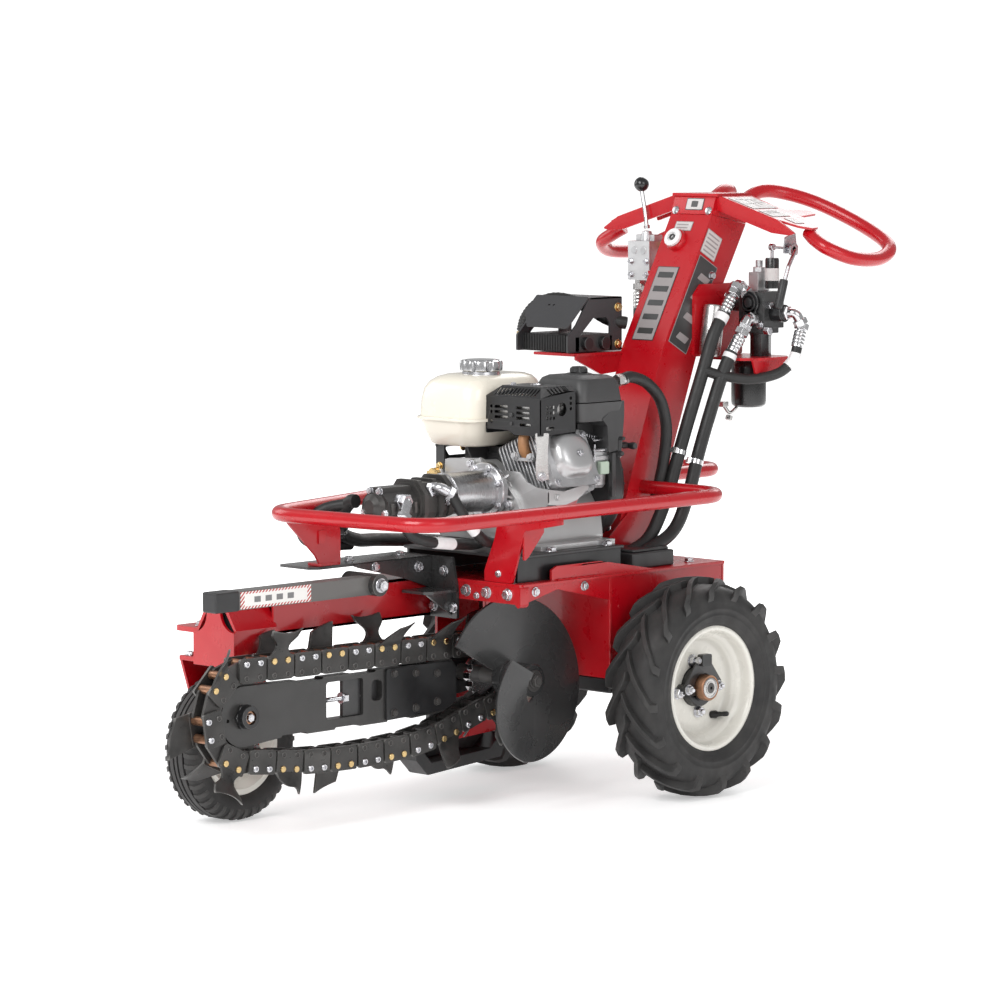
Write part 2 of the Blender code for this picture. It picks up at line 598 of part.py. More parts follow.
def make_drive_wheel(side, label):
    """One drive wheel: tyre, rim, hub with its drum and studs, and the freewheel release plate."""
    centre = (0.0, side * DRIVE_WHEEL_Y, AXLE_HEIGHT)
    axle = Vector((0.0, 0.0, AXLE_HEIGHT))
    rim_half, bead = 0.042, 0.1015
    sides = DRIVE_WHEEL_SIDES
    section = tyre_profile(DRIVE_TYRE_RADIUS, DRIVE_TYRE_WIDTH, bead, 0.0355, sides)
    tyre = turned(section, centre, "Y", sides)
    give(tyre, label + "_tyre", RUBBER)
    profile = rim_profile(DRIVE_RIM_RADIUS, bead, 0.087, rim_half, -0.004, 0.0375, 0.003)
    rim = turned([(r, side * y) for r, y in profile], centre, "Y", sides)

    def wheel_y(offset):
        return side * (DRIVE_WHEEL_Y + offset)

    flange = cylinder((0, wheel_y(-0.0113), AXLE_HEIGHT), 0.060, 0.008, "Y", sides=20)
    inner_boss = cylinder((0, wheel_y(-0.046), AXLE_HEIGHT), 0.032, 0.070, "Y", sides=16)
    drum = cylinder((0, wheel_y(-0.001), AXLE_HEIGHT), 0.0368, 0.030, "Y", sides=20)
    neck = cylinder((0, wheel_y(0.022), AXLE_HEIGHT), 0.024, 0.030, "Y", sides=16)
    studs, rim_holes = [], []
    for k in range(4):
        angle = math.radians(80 + 90 * k)
        place = axle + Vector((0.0490 * math.cos(angle), wheel_y(0.001), 0.0490 * math.sin(angle)))
        studs.append(cylinder(place, 0.0055, 0.0245, "Y", sides=8))
        rim_holes.append(cylinder(place, 0.0062, 0.0245, "Y", sides=8))
    hub = combine(flange, [inner_boss, drum, neck, *studs])
    give(hub, label + "_hub", BLACK)
    rim = give(cut(rim, rim_holes), label + "_rim", WHITE)
    release = [(0.050, -0.028), *arc((0.0, 0.0), 0.041, 40, 140, 6), (-0.050, -0.028), (-0.030, -0.036),
               (0.030, -0.036)]
    hole = arc((0.0, 0.0), 0.0245, 0, 345, 23)
    release = [(x, AXLE_HEIGHT + z) for x, z in release]
    hole = [(x, AXLE_HEIGHT + z) for x, z in hole]
    lever = plate(release, "XZ", wheel_y(0.0176), 0.005, [hole])
    give(lever, label + "_release_plate", BLACK)
    on_axis(label + "_axle_centre", axle, [tyre, rim, hub, lever])


def make_axle():
    tube = cylinder((0, 0, AXLE_HEIGHT), 0.030, 2 * (CHASSIS_HALF_WIDTH - SHEET - 0.002 - GAP), "Y", sides=20)
    motor = cylinder((0, 0.0, AXLE_HEIGHT + 0.045), 0.040, 0.120, "Y", sides=24)
    give(combine(tube, [motor]), "wheel_drive_unit", DARK_STEEL)


def make_front_wheel():
    """Front wheel in a swivelling fork whose kingpin stands under the rail's bracket."""
    x, y, r = FRONT_WHEEL_X, FRONT_WHEEL_Y, FRONT_TYRE_RADIUS
    centre = (x, y, r)
    sides = FRONT_WHEEL_SIDES
    tyre = turned(tyre_profile(r, FRONT_TYRE_WIDTH, 0.0740, 0.0254, sides), centre, "Y", sides)
    give(tyre, "front_tyre", RUBBER)
    profile = rim_profile(0.086, 0.0740, 0.062, 0.032, 0.002, 0.0205, 0.003)
    rim = turned(profile, centre, "Y", sides)
    hub = turned([(0.022, 0.034), (0.022, -0.034), (0.0085, -0.034), (0.0085, 0.034)], centre, "Y", 16)
    rim = give(combine(rim, [hub]), "front_rim", WHITE)
    top = block((x - 0.045, y - 0.052, 0.292), (x + 0.075, y + 0.052, 0.300))
    legs = []
    for side in (1, -1):
        foot = arc((x, r), 0.022, 180, 360, 8)
        outline = [(x - 0.045, 0.296), (x - 0.022, r), *foot[1:], (x + 0.075, 0.296)]
        legs.append(plate(outline, "XZ", y + side * 0.0490, 0.006))
    kingpin = cylinder((x + 0.030, y, 0.3232), 0.020, 0.0470, "Z")
    spindle = cylinder(centre, 0.0080, 0.110, "Y", sides=16)
    give(combine(top, [*legs, kingpin, spindle]), "front_fork", RED)
    on_axis("front_wheel_centre", centre, [tyre, rim])
    on_axis("kingpin_axis", (x + 0.030, y, r), [bpy.data.objects["front_fork"]])


# ---------------------------------------------------------------- boom, chain and auger
def chain_pin_path():
    """Closed path of the chain's pins as (x, z) points, one pitch apart, with the slack hanging below."""
    head, nose = (HEAD_X, HEAD_Z), (NOSE_CENTRE_X, NOSE_CENTRE_Z)
    points = arc(nose, NOSE_PIN_RADIUS, 91, -90, 40)
    slack = smooth_path([(NOSE_CENTRE_X - 0.02, NOSE_CENTRE_Z - NOSE_PIN_RADIUS, 0), (0.770, 0.139, 0),
                         (0.620, 0.136, 0), (0.480, 0.146, 0), (0.345, 0.184, 0)], 12)
    points += [(p.x, p.y) for p in slack]
    points += arc(head, HEAD_PIN_RADIUS, 252, 89, 30)
    points.append(points[0])
    lengths = [0.0]
    for a, b in zip(points, points[1:]):
        lengths.append(lengths[-1] + math.dist(a, b))
    count = 2 * round(lengths[-1] / CHAIN_PITCH / 2.0)
    pins = []
    segment = 0
    for k in range(count):
        target = lengths[-1] * k / count
        while lengths[segment + 1] < target:
            segment += 1
        t = (target - lengths[segment]) / (lengths[segment + 1] - lengths[segment])
        a, b = points[segment], points[segment + 1]
        pins.append(Vector((a[0] + (b[0] - a[0]) * t, a[1] + (b[1] - a[1]) * t)))
    return pins


def outward(pins, k):
    """Unit direction away from the boom at pin k."""
    run = pins[(k + 1) % len(pins)] - pins[k - 1]
    return Vector((-run.y, run.x)).normalized()


def make_digging_chain():
    """Digging chain as one closed loop: stepped links, with cutter blocks on every third link."""
    pins = chain_pin_path()
    count = len(pins)
    low, high = -0.0038, 0.035
    bm = bmesh.new()
    rings = []
    for k in range(count):
        a, b = pins[k], pins[(k + 1) % count]
        out_a, out_b = outward(pins, k), outward(pins, (k + 1) % count)
        half = CHAIN_HALF_WIDTH if k % 2 else CHAIN_HALF_WIDTH - 0.005
        for t in (0.04, 0.96):
            centre = a.lerp(b, t)
            out = out_a.lerp(out_b, t).normalized()
            corners = [(low, -half), (high, -half), (high, half), (low, half)]
            rings.append([bm.verts.new((centre.x + out.x * r, y, centre.y + out.y * r)) for r, y in corners])
    for ring, following in zip(rings, rings[1:] + rings[:1]):
        for i in range(4):
            j = (i + 1) % 4
            bm.faces.new((ring[i], ring[j], following[j], following[i]))
    chain = raw_object(bm)
    cutters = []
    reach = TOOTH_HALF_WIDTH
    for k in range(1, count, 3):
        a, b = pins[k], pins[(k + 1) % count]
        middle = (a + b) / 2.0
        out = (outward(pins, k) + outward(pins, (k + 1) % count)).normalized()
        span = [(-reach, 0.018), (-0.018, reach), (-0.034, 0.034)][(k // 3) % 3]
        tooth = block((-0.012, span[0], 0.028), (0.010, span[1], 0.052))
        for vertex in tooth.data.vertices:
            if vertex.co.z > 0.045:
                vertex.co.x = vertex.co.x * 0.55 + 0.009
        turn = Matrix.Rotation(math.atan2(out.x, out.y), 4, "Y")
        tooth.data.transform(Matrix.Translation((middle.x, 0.0, middle.y)) @ turn)
        cutters.append(tooth)
    return give(combine(chain, cutters), "digging_chain", DARK_STEEL)


def make_boom():
    """Boom bar with its round nose, window and root, the nose idler and the tension screw."""
    radius = 0.0540
    top, bottom = 0.2750, 0.174
    outline = [(0.395, 0.258), (0.408, 0.2740), (NOSE_CENTRE_X - 0.03, top - 0.0005),
               *arc((NOSE_CENTRE_X, NOSE_CENTRE_Z), radius, 84, -96, 16),
               (0.560, bottom), (0.430, 0.178), (0.395, 0.196)]
    window = [(0.632, 0.194), (0.723, 0.194), (0.723, 0.261), (0.632, 0.261)]
    slot_hole = arc((0.600, 0.235), 0.010, 0, 330, 11)
    bar = plate(outline, "XZ", 0.0, 2 * BAR_HALF_THICKNESS, [window, slot_hole])
    idler_gap = cylinder((NOSE_CENTRE_X, 0.0, NOSE_CENTRE_Z), 0.078, 0.0126, "Y", sides=24)
    hub_hole = cylinder((NOSE_CENTRE_X, 0.0, NOSE_CENTRE_Z), 0.0183, 0.08, "Y", sides=24)
    bar = cut(bar, [idler_gap, hub_hole])
    cheek_outline = [(0.400, 0.258), (0.412, 0.271), (0.585, 0.271), (0.585, 0.178), (0.430, 0.182),
                     (0.400, 0.198)]
    cheeks = [plate(cheek_outline, "XZ", side * (BAR_HALF_THICKNESS + 0.0027), 0.006) for side in (1, -1)]
    root_outline = [(0.500, 0.262), (0.500, 0.180), *arc((HEAD_X, HEAD_Z), 0.040, 270, 90, 14)]
    bore = arc((HEAD_X, HEAD_Z), 0.0165, 0, 345, 23)
    root = plate(root_outline, "XZ", -0.0545, 0.006, [bore])
    spacer = block((0.440, -0.053, 0.195), (0.495, -0.0130, 0.255))
    bar = combine(bar, [*cheeks, root, spacer])
    give(bar, "boom_bar", DARK_STEEL)
    idler = turned([(0.0, 0.0190), (0.0175, 0.0190), (0.0175, 0.0060), (0.0606, 0.0060), (0.0606, -0.0060),
                    (0.0175, -0.0060), (0.0175, -0.0190), (0.0, -0.0190)],
                   (NOSE_CENTRE_X, 0.0, NOSE_CENTRE_Z), "Y", 24)
    give(idler, "nose_idler", DARK_STEEL)
    screw = cylinder((0.6775, 0.0, 0.2275), 0.0060, 0.0900, "X", sides=12)
    nut = cylinder((0.690, 0.0, 0.2275), 0.0105, 0.016, "X", sides=6)
    give(combine(screw, [nut]), "tension_screw", BRIGHT_STEEL)
    on_axis("nose_axis", (NOSE_CENTRE_X, 0.0, NOSE_CENTRE_Z), [idler])
    boom = [bpy.data.objects[n] for n in ("boom_bar", "tension_screw", "digging_chain")]
    on_axis("boom_pivot", (HEAD_X, 0.0, HEAD_Z), boom)


def make_headshaft():
    """Headshaft with its sprocket and spoil auger, and the hydraulic motor that turns it."""
    shaft = cylinder((HEAD_X, -0.003, HEAD_Z), 0.0160, 0.118, "Y", sides=24)
    give(shaft, "headshaft", DARK_STEEL)
    ring = []
    for k in range(SPROCKET_TEETH):
        start = 360.0 * k / SPROCKET_TEETH
        for offset, radius in ((-9, 0.0392), (9, 0.0392), (20, 0.0325)):
            angle = math.radians(start + offset)
            ring.append((HEAD_X + radius * math.cos(angle), HEAD_Z + radius * math.sin(angle)))
    bore = arc((HEAD_X, HEAD_Z), 0.0163, 0, 345, 23)
    sprocket = plate(ring, "XZ", 0.0, 0.024, [bore])
    give(sprocket, "drive_sprocket", BRIGHT_STEEL)
    auger = make_auger()
    motor = cylinder((HEAD_X, -0.118, HEAD_Z), 0.046, 0.094, "Y", sides=20)
    flange = cylinder((HEAD_X, -0.0718, HEAD_Z), 0.049, 0.010, "Y", sides=20)
    ports = [block((HEAD_X - 0.062, y - 0.012, HEAD_Z + 0.010), (HEAD_X - 0.030, y + 0.012, HEAD_Z + 0.034))
             for y in (-0.100, -0.135)]
    give(combine(motor, [flange, *ports]), "digging_motor", BLACK)
    on_axis("headshaft_axis", (HEAD_X, 0.0, HEAD_Z), [shaft, sprocket, auger])


def auger_radii(t, y, tube_end):
    """Inner and outer radius of the flight at share t of its length; it opens and narrows at the far end."""
    outer = AUGER_RADIUS * (0.95 + 0.05 * min(1.0, t / 0.12)) * (1.0 - 0.28 * max(0.0, (t - 0.70) / 0.30))
    if y < tube_end - 0.004:
        return AUGER_TUBE_RADIUS - 0.002, outer
    return AUGER_TUBE_RADIUS + 0.015 * min(1.0, (y - tube_end + 0.004) / 0.012), outer


def make_auger():
    """Left spoil auger: one turn of helical flight on a tube, running out past the tube's end."""
    steps = 36
    thickness = 0.006
    bm = bmesh.new()
    rings = []
    tube_end = AUGER_START_Y + 0.088
    for i in range(steps + 1):
        t = i / steps
        y = AUGER_START_Y + 0.008 + (AUGER_END_Y - AUGER_START_Y - 0.008 - thickness) * t
        angle = math.radians(AUGER_START_ANGLE + 360.0 * AUGER_TURNS * t)
        inner, outer = auger_radii(t, y, tube_end)
        ring = []
        for radius, side in ((inner, 0.0), (outer, 0.0), (outer, thickness), (inner, thickness)):
            ring.append(bm.verts.new((HEAD_X + radius * math.cos(angle), y + side,
                                      HEAD_Z + radius * math.sin(angle))))
        rings.append(ring)
    for ring, following in zip(rings, rings[1:]):
        for i in range(4):
            j = (i + 1) % 4
            bm.faces.new((ring[i], ring[j], following[j], following[i]))
    bm.faces.new(rings[0])
    bm.faces.new(list(reversed(rings[-1])))
    bmesh.ops.recalc_face_normals(bm, faces=bm.faces)
    flight = raw_object(bm)
    start = 0.0563
    middle = (HEAD_X, (start + tube_end) / 2, HEAD_Z)
    tube = cylinder(middle, AUGER_TUBE_RADIUS, tube_end - start, "Y", sides=24)
    return give(combine(tube, [flight]), "spoil_auger", BLACK)


def make_restraint_bar():
    """Square restraint bar over the chain, hinged on a short cross tube at its rear end."""
    pivot = (0.604, 0.0, 0.4265)
    bar = block((0.615, -0.017, 0.409), (0.992, 0.017, 0.443), 0.002)
    tube = cylinder((pivot[0], -0.014, pivot[2]), 0.0200, 0.0850, "Y", sides=24)
    end = give(combine(bar, [tube]), "restraint_bar", BLACK)
    on_axis("restraint_pivot", pivot, [end])


# ---------------------------------------------------------------- engine and hydraulics
def make_engine_block():
    """Crankcase with feet, the leaning finned cylinder and the valve cover."""
    outline = [(-0.118, 0.478), (-0.118, 0.610), (-0.085, 0.652), (0.020, 0.652), (0.078, 0.610),
               (0.100, 0.560), (0.100, 0.478)]
    case = plate(outline, "YZ", 0.190, 0.216)
    feet = [block((0.120, y, ENGINE_BASE_Z), (0.285, y + 0.055, 0.483)) for y in (-0.140, 0.075)]
    give(combine(case, feet), "engine_crankcase", ALUMINIUM)
    lean = -25.0
    pivot = (0.195, 0.0, CRANK_Z)
    core = block((0.150, 0.088, 0.545), (0.245, 0.1553, 0.612))
    fins = []
    for k in range(7):
        y = 0.099 + 0.0088 * k
        fins.append(block((0.128, y, 0.518), (0.268, y + 0.0028, 0.634)))
    barrel = combine(core, fins)
    turn_about(barrel, pivot, "X", -lean)
    clear = block((0.08, -0.12, 0.45), (0.30, 0.1003, 0.80))
    barrel = cut(barrel, [clear])
    give(barrel, "cylinder_fins", ALUMINIUM)
    cover = block((0.142, 0.1575, 0.536), (0.254, 0.188, 0.622), 0.008, 2)
    turn_about(cover, pivot, "X", -lean)
    give(cover, "valve_cover", ALUMINIUM)


def make_tank():
    """Fuel tank and its filler cap."""
    tank = block((0.118, -0.173, 0.658), (0.325, -0.019, 0.785), 0.022, 3)
    neck = cylinder((0.240, -0.076, 0.785), 0.024, 0.010, "Z", sides=24)
    seam = block((0.113, -0.178, 0.7005), (0.330, -0.014, 0.7055), 0.002)
    strap = block((0.150, -0.135, 0.6523), (0.285, -0.055, 0.700))
    give(combine(tank, [neck, seam, strap]), "fuel_tank", CREAM)
    steps = 12
    ridged = []
    for k in range(2 * steps):
        radius = 0.0400 if k % 2 else 0.0370
        angle = math.pi * k / steps
        ridged.append((0.240 + radius * math.cos(angle), -0.076 + radius * math.sin(angle)))
    cap = plate(ridged, "XY", 0.7903 + 0.008, 0.016)
    crown = cylinder((0.240, -0.076, 0.8093), 0.033, 0.006, "Z", 0.026, sides=24)
    cap = give(combine(cap, [crown]), "fuel_cap", BRIGHT_STEEL)
    on_axis("fuel_cap_axis", (0.240, -0.076, 0.7903), [cap])


def make_engine_top():
    """Muffler guard, air cleaner, fan housing with starter grip, carburettor and throttle lever."""
    guard = block((0.190, -0.012, 0.6965), (0.272, 0.128, 0.790), 0.012, 2)
    slots = []
    for row in range(3):
        for column in range(2):
            z = 0.712 + 0.022 * row
            y = 0.006 + 0.052 * column
            slots.append(block((0.262, y, z), (0.276, y + 0.040, z + 0.009)))
    give(cut(guard, slots), "muffler_guard", PLASTIC)
    cleaner = block((0.062, -0.006, 0.712), (0.182, 0.130, 0.800), 0.012, 2)
    base = block((0.070, 0.004, 0.6965), (0.172, 0.122, 0.718), 0.006)
    give(combine(cleaner, [base]), "air_cleaner", PLASTIC)
    knob_profile = [(0.0, 0.014), (0.012, 0.014), (0.015, 0.010), (0.015, GAP), (0.0, GAP)]
    knob = turned(knob_profile, (0.122, 0.062, 0.800), "Z", 16)
    give(knob, "air_cleaner_knob", PLASTIC)
    on_axis("knob_axis", (0.122, 0.062, 0.800), [knob])
    housing = turned([(0.0, -0.0003), (0.112, -0.0003), (0.118, -0.010), (0.112, -0.045), (0.070, -0.060),
                      (0.0, -0.060)], (0.0817, -0.010, CRANK_Z), "X", 28)
    give(housing, "fan_housing", BLACK)
    grip = block((0.014, 0.078, 0.640), (0.026, 0.112, 0.654), 0.004, 2)
    stem = block((0.0240, 0.092, 0.6445), (0.040, 0.098, 0.6495))
    grip = give(combine(grip, [stem]), "starter_grip", PLASTIC)
    on_axis("starter_rope_axis", (0.020, 0.095, 0.647), [grip])
    body = block((0.086, 0.104, 0.600), (0.126, 0.142, 0.662), 0.003)
    bowl = cylinder((0.104, 0.122, 0.588), 0.016, 0.030, "Z", sides=20)
    give(combine(body, [bowl]), "carburettor", ALUMINIUM)
    pivot = (0.100, 0.1423, 0.640)
    arm = block((0.094, 0.1423, 0.634), (0.106, 0.1453, 0.672), 0.001)
    tab = block((0.094, 0.1423, 0.668), (0.106, 0.158, 0.6715))
    lever = give(combine(arm, [tab]), "throttle_lever", BRIGHT_STEEL)
    on_axis("throttle_pivot", pivot, [lever])


def make_pump():
    """Machined adapter on the engine's output side, and the gear pump it drives."""
    x = ENGINE_FRONT_X - 0.002
    profile = [(0.0, 0.1345), (0.044, 0.1345), (0.044, 0.120), (0.034, 0.117), (0.034, 0.030), (0.040, 0.024),
               (0.062, 0.018), (0.062, GAP), (0.0, GAP)]
    adapter = turned(profile, (x, 0.0, CRANK_Z), "X", 24)
    give(adapter, "pump_adapter", ALUMINIUM)
    flange = cylinder((x + 0.1408, 0.0, CRANK_Z), 0.044, 0.012, "X", sides=24)
    x0 = x + 0.144
    section = [(-0.046, -0.030), (-0.046, 0.012), (-0.024, 0.034), (0.026, 0.034), (0.046, 0.012),
               (0.046, -0.030), (0.030, -0.040), (-0.030, -0.040)]
    outline = [(y, CRANK_Z + z) for y, z in section]
    body = plate(outline, "YZ", x0 + 0.065, 0.136)
    small = [(y * 0.86, CRANK_Z + (z - CRANK_Z) * 0.80) for y, z in outline]
    nose = plate(small, "YZ", x0 + 0.150, 0.050)
    give(combine(flange, [body, nose]), "hydraulic_pump", BLACK)


def make_rear_fittings():
    """Hydraulic cooler and the slotted black guard behind the engine, on the mast's side shelf."""
    z0 = 0.8123
    fins = []
    for k in range(7):
        x = 0.016 * k - 0.105
        fins.append(block((x, -0.212, z0 + 0.004), (x + 0.005, -0.056, z0 + 0.034)))
    base = block((-0.110, -0.212, z0), (0.004, -0.056, z0 + 0.0045))
    core = block((-0.108, -0.205, z0 + 0.010), (0.001, -0.063, z0 + 0.026))
    give(combine(base, [core, *fins]), "oil_cooler", BLACK)
    outline = [(-0.132, z0), (-0.132, 0.900), (-0.118, 0.918), (-0.060, 0.918), (0.020, 0.872),
               (0.017, 0.866), (-0.061, 0.912), (-0.116, 0.912), (-0.126, 0.898), (-0.126, z0)]
    cover = plate(outline, "XZ", -0.135, 0.150)
    openings = [block((-0.14, y, 0.832), (-0.12, y + 0.052, 0.880)) for y in (-0.196, -0.128)]
    leg = block((-0.132, -0.210, z0), (-0.1125, -0.203, 0.905))
    cover = cut(cover, openings)
    give(combine(cover, [leg]), "engine_rear_guard", BLACK)


def make_hoses():
    """Hydraulic hoses: two down the mast's left side to the wheel drive, and the pump's suction hose."""
    rear = smooth_path([(-0.305, 0.110, 0.690), (-0.262, 0.095, 0.640), (-0.175, 0.088, 0.600),
                        (-0.125, 0.086, 0.520), (-0.055, 0.086, 0.455), (0.030, 0.088, 0.440)], 4)
    give(rod(rear, 0.0115, 1), "rear_drive_hose", RUBBER)
    front = smooth_path([(-0.322, 0.1890, 0.885), (-0.322, 0.214, 0.885), (-0.332, 0.230, 0.862),
                         (-0.342, 0.236, 0.820), (-0.300, 0.200, 0.775), (-0.240, 0.140, 0.740),
                         (-0.150, 0.115, 0.640), (-0.085, 0.112, 0.530), (-0.030, 0.112, 0.460),
                         (0.060, 0.110, 0.440)], 4)
    give(rod(front, 0.0105, 1), "front_drive_hose", RUBBER)
    suction = smooth_path([(0.592, -0.0402, 0.572), (0.592, -0.060, 0.570), (0.592, -0.084, 0.545),
                           (0.575, -0.106, 0.512), (0.510, -0.132, 0.490), (0.430, -0.158, 0.480),
                           (0.300, -0.172, 0.470), (0.120, -0.180, 0.450), (0.020, -0.150, 0.436)], 4)
    give(rod(suction, 0.0130, 1), "suction_hose", RUBBER)


def build():
    make_chassis_body()
    make_front_cross_bar()
    make_front_rail()
    make_engine_bed()
    make_boom_mount_bracket()
    make_shoe()
    make_mast()
    make_fill_plug()
    make_guard_ring()
    make_ring_posts()
    make_handlebar()
    make_control_valve()
    make_drive_controls()
    for side, label in ((1, "left"), (-1, "right")):
        make_drive_wheel(side, label)
    make_axle()
    make_front_wheel()
    make_digging_chain()
    make_boom()
    make_headshaft()
    make_restraint_bar()
    make_engine_block()
    make_tank()
    make_engine_top()
    make_pump()
    make_rear_fittings()
    make_hoses()
    for left_over in list(CUTTERS.objects):
        bpy.data.objects.remove(left_over, do_unlink=True)
    for piece in PARTS.objects:
        if piece.parent is None:
            piece.location.x -= AXLE_FROM_MIDDLE


build()
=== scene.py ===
import json
import math
import random

import bmesh
import bpy
from mathutils import Matrix, Vector
from mathutils.geometry import tessellate_polygon


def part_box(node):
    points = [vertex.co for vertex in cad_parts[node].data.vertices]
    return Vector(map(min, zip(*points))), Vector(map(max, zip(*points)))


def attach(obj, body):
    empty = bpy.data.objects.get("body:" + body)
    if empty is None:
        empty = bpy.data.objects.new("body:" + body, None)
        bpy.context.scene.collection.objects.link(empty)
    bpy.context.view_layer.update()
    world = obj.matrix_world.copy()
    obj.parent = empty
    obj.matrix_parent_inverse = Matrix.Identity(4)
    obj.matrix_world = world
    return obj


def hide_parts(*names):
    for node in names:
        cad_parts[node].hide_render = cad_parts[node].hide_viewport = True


# Looks of a walk-behind trencher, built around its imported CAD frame.
#
# Pieces are laid out in metres from the drive axle: +X forward, +Y to the machine's left, +Z up from the
# ground. piece() moves each one to the frame's own origin and hangs it on its body.

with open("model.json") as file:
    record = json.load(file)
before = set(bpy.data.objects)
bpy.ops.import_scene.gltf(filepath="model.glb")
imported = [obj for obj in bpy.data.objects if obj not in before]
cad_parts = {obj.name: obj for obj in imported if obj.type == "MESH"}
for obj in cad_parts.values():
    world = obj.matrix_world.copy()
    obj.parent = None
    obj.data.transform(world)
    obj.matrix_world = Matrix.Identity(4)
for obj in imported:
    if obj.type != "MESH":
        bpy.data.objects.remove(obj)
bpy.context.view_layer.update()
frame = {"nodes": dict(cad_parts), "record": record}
random.seed(7)


# ---------------------------------------------------------------- places taken from the frame
def cad_centre(node):
    """Middle of a CAD node's box."""
    low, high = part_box(node)
    return (low + high) / 2.0


ORIGIN = Vector((cad_centre("left_tyre").x, 0.0, 0.0))


def from_axle(node):
    """Lowest and highest corners of a CAD node, measured from the drive axle."""
    low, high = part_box(node)
    return low - ORIGIN, high - ORIGIN


WHEEL = cad_centre("left_rim") - ORIGIN          # left drive wheel centre
TYRE_HALF = from_axle("left_tyre")[1].y - WHEEL.y
FRONT = cad_centre("front_rim") - ORIGIN         # front wheel centre
HEAD = cad_centre("drive_sprocket") - ORIGIN     # headshaft axis
HEAD.x, HEAD.z = 0.318, 0.236                    # the sprocket's box is not centred on its shaft
NOSE = cad_centre("nose_idler") - ORIGIN         # nose sprocket axis
DECK = from_axle("chassis_body")[1].z
CRANK_Z = 0.576                                  # height of the crankshaft
FRAME_TUBE = 0.0133                              # radius of the guard ring's and the handles' tube
FINE = 0.0003                                    # bevel on bolt heads and other small hardware


# ---------------------------------------------------------------- shapes: (points, faces) pairs
def join(*shapes):
    """Several shapes as one."""
    points, faces = [], []
    for shape in shapes:
        base = len(points)
        points += shape[0]
        faces += [tuple(i + base for i in face) for face in shape[1]]
    return points, faces


def moved(shape, matrix):
    """The shape put through a matrix."""
    return [matrix @ p for p in shape[0]], list(shape[1])


def shift(shape, offset):
    """The shape moved along without turning."""
    offset = Vector(offset)
    return [p + offset for p in shape[0]], list(shape[1])


def mirrored(shape):
    """The shape on the machine's other side."""
    return [Vector((p.x, -p.y, p.z)) for p in shape[0]], [tuple(reversed(f)) for f in shape[1]]


def box(low, high):
    """An upright block between two corners."""
    points = [Vector((x, y, z)) for z in (low[2], high[2]) for y in (low[1], high[1])
              for x in (low[0], high[0])]
    return points, [(0, 2, 3, 1), (4, 5, 7, 6), (0, 1, 5, 4), (2, 6, 7, 3), (0, 4, 6, 2), (1, 3, 7, 5)]


def arc(centre, radius, start, stop, steps):
    """Flat points round a centre, from one angle to another in degrees."""
    turn = [math.radians(start + (stop - start) * i / steps) for i in range(steps + 1)]
    return [(centre[0] + radius * math.cos(a), centre[1] + radius * math.sin(a)) for a in turn]


def rounded(outline, radius, steps=4):
    """The outline with its corners rounded; radius may be one number or one per corner."""
    out = []
    count = len(outline)
    for i, corner in enumerate(outline):
        r = radius[i] if isinstance(radius, (list, tuple)) else radius
        here = Vector(corner)
        if r <= 0:
            out.append((here.x, here.y))
            continue
        to_last = Vector(outline[i - 1]) - here
        to_next = Vector(outline[(i + 1) % count]) - here
        half = to_last.angle(to_next) / 2.0
        reach = min(r / math.tan(half), 0.49 * to_last.length, 0.49 * to_next.length)
        start, stop = here + to_last.normalized() * reach, here + to_next.normalized() * reach
        for s in range(steps + 1):
            t = s / steps
            p = (1 - t) ** 2 * start + 2 * t * (1 - t) * here + t * t * stop
            out.append((p.x, p.y))
    return out


IN_PLANE = {
    "XY": lambda a, b, c: Vector((a, b, c)),
    "XZ": lambda a, b, c: Vector((a, c, b)),
    "YZ": lambda a, b, c: Vector((c, a, b)),
}


def sheet(outline, plane, start, stop, holes=()):
    """A flat plate with the given outline and holes, from start to stop along the plane's normal."""
    rings = [list(outline), *[list(h) for h in holes]]
    caps = tessellate_polygon([[Vector((a, b, 0.0)) for a, b in ring] for ring in rings])
    flat = [p for ring in rings for p in ring]
    count = len(flat)
    points = [IN_PLANE[plane](a, b, start) for a, b in flat] + [IN_PLANE[plane](a, b, stop) for a,
            b in flat]
    faces = [tuple(t) for t in caps] + [tuple(i + count for i in reversed(t)) for t in caps]
    base = 0
    for ring in rings:
        for i in range(len(ring)):
            j = (i + 1) % len(ring)
            faces.append((base + i, base + j, count + base + j, count + base + i))
        base += len(ring)
    return points, faces


AXES = {
    "X": Matrix(((0, 0, 1, 0), (0, 1, 0, 0), (-1, 0, 0, 0), (0, 0, 0, 1))),
    "Y": Matrix(((1, 0, 0, 0), (0, 0, 1, 0), (0, -1, 0, 0), (0, 0, 0, 1))),
    "Z": Matrix.Identity(4),
}


def lathe(profile, centre=(0, 0, 0), axis="Z", sides=48, ring=False, start=0.0, stop=360.0):
    """A turned shape from (radius, distance) points; ring joins the last point to the first."""
    full = abs(stop - start) >= 359.9
    turns = sides if full else sides + 1
    points, index = [], []
    for radius, height in profile:
        if radius <= 1e-6:
            index.append([len(points)] * turns)
            points.append(Vector((0, 0, height)))
            continue
        row = []
        for k in range(turns):
            angle = math.radians(start + (stop - start) * k / sides)
            row.append(len(points))
            points.append(Vector((radius * math.cos(angle), radius * math.sin(angle), height)))
        index.append(row)
    faces = []
    pairs = list(zip(index, index[1:])) + ([(index[-1], index[0])] if ring else [])
    for low, high in pairs:
        for k in range(sides):
            j = (k + 1) % turns
            quad = [low[k], low[j], high[j], high[k]]
            face = [v for i, v in enumerate(quad) if v != quad[i - 1]]
            if len(face) > 2:
                faces.append(tuple(face))
    matrix = Matrix.Translation(centre) @ AXES[axis]
    return [matrix @ p for p in points], faces


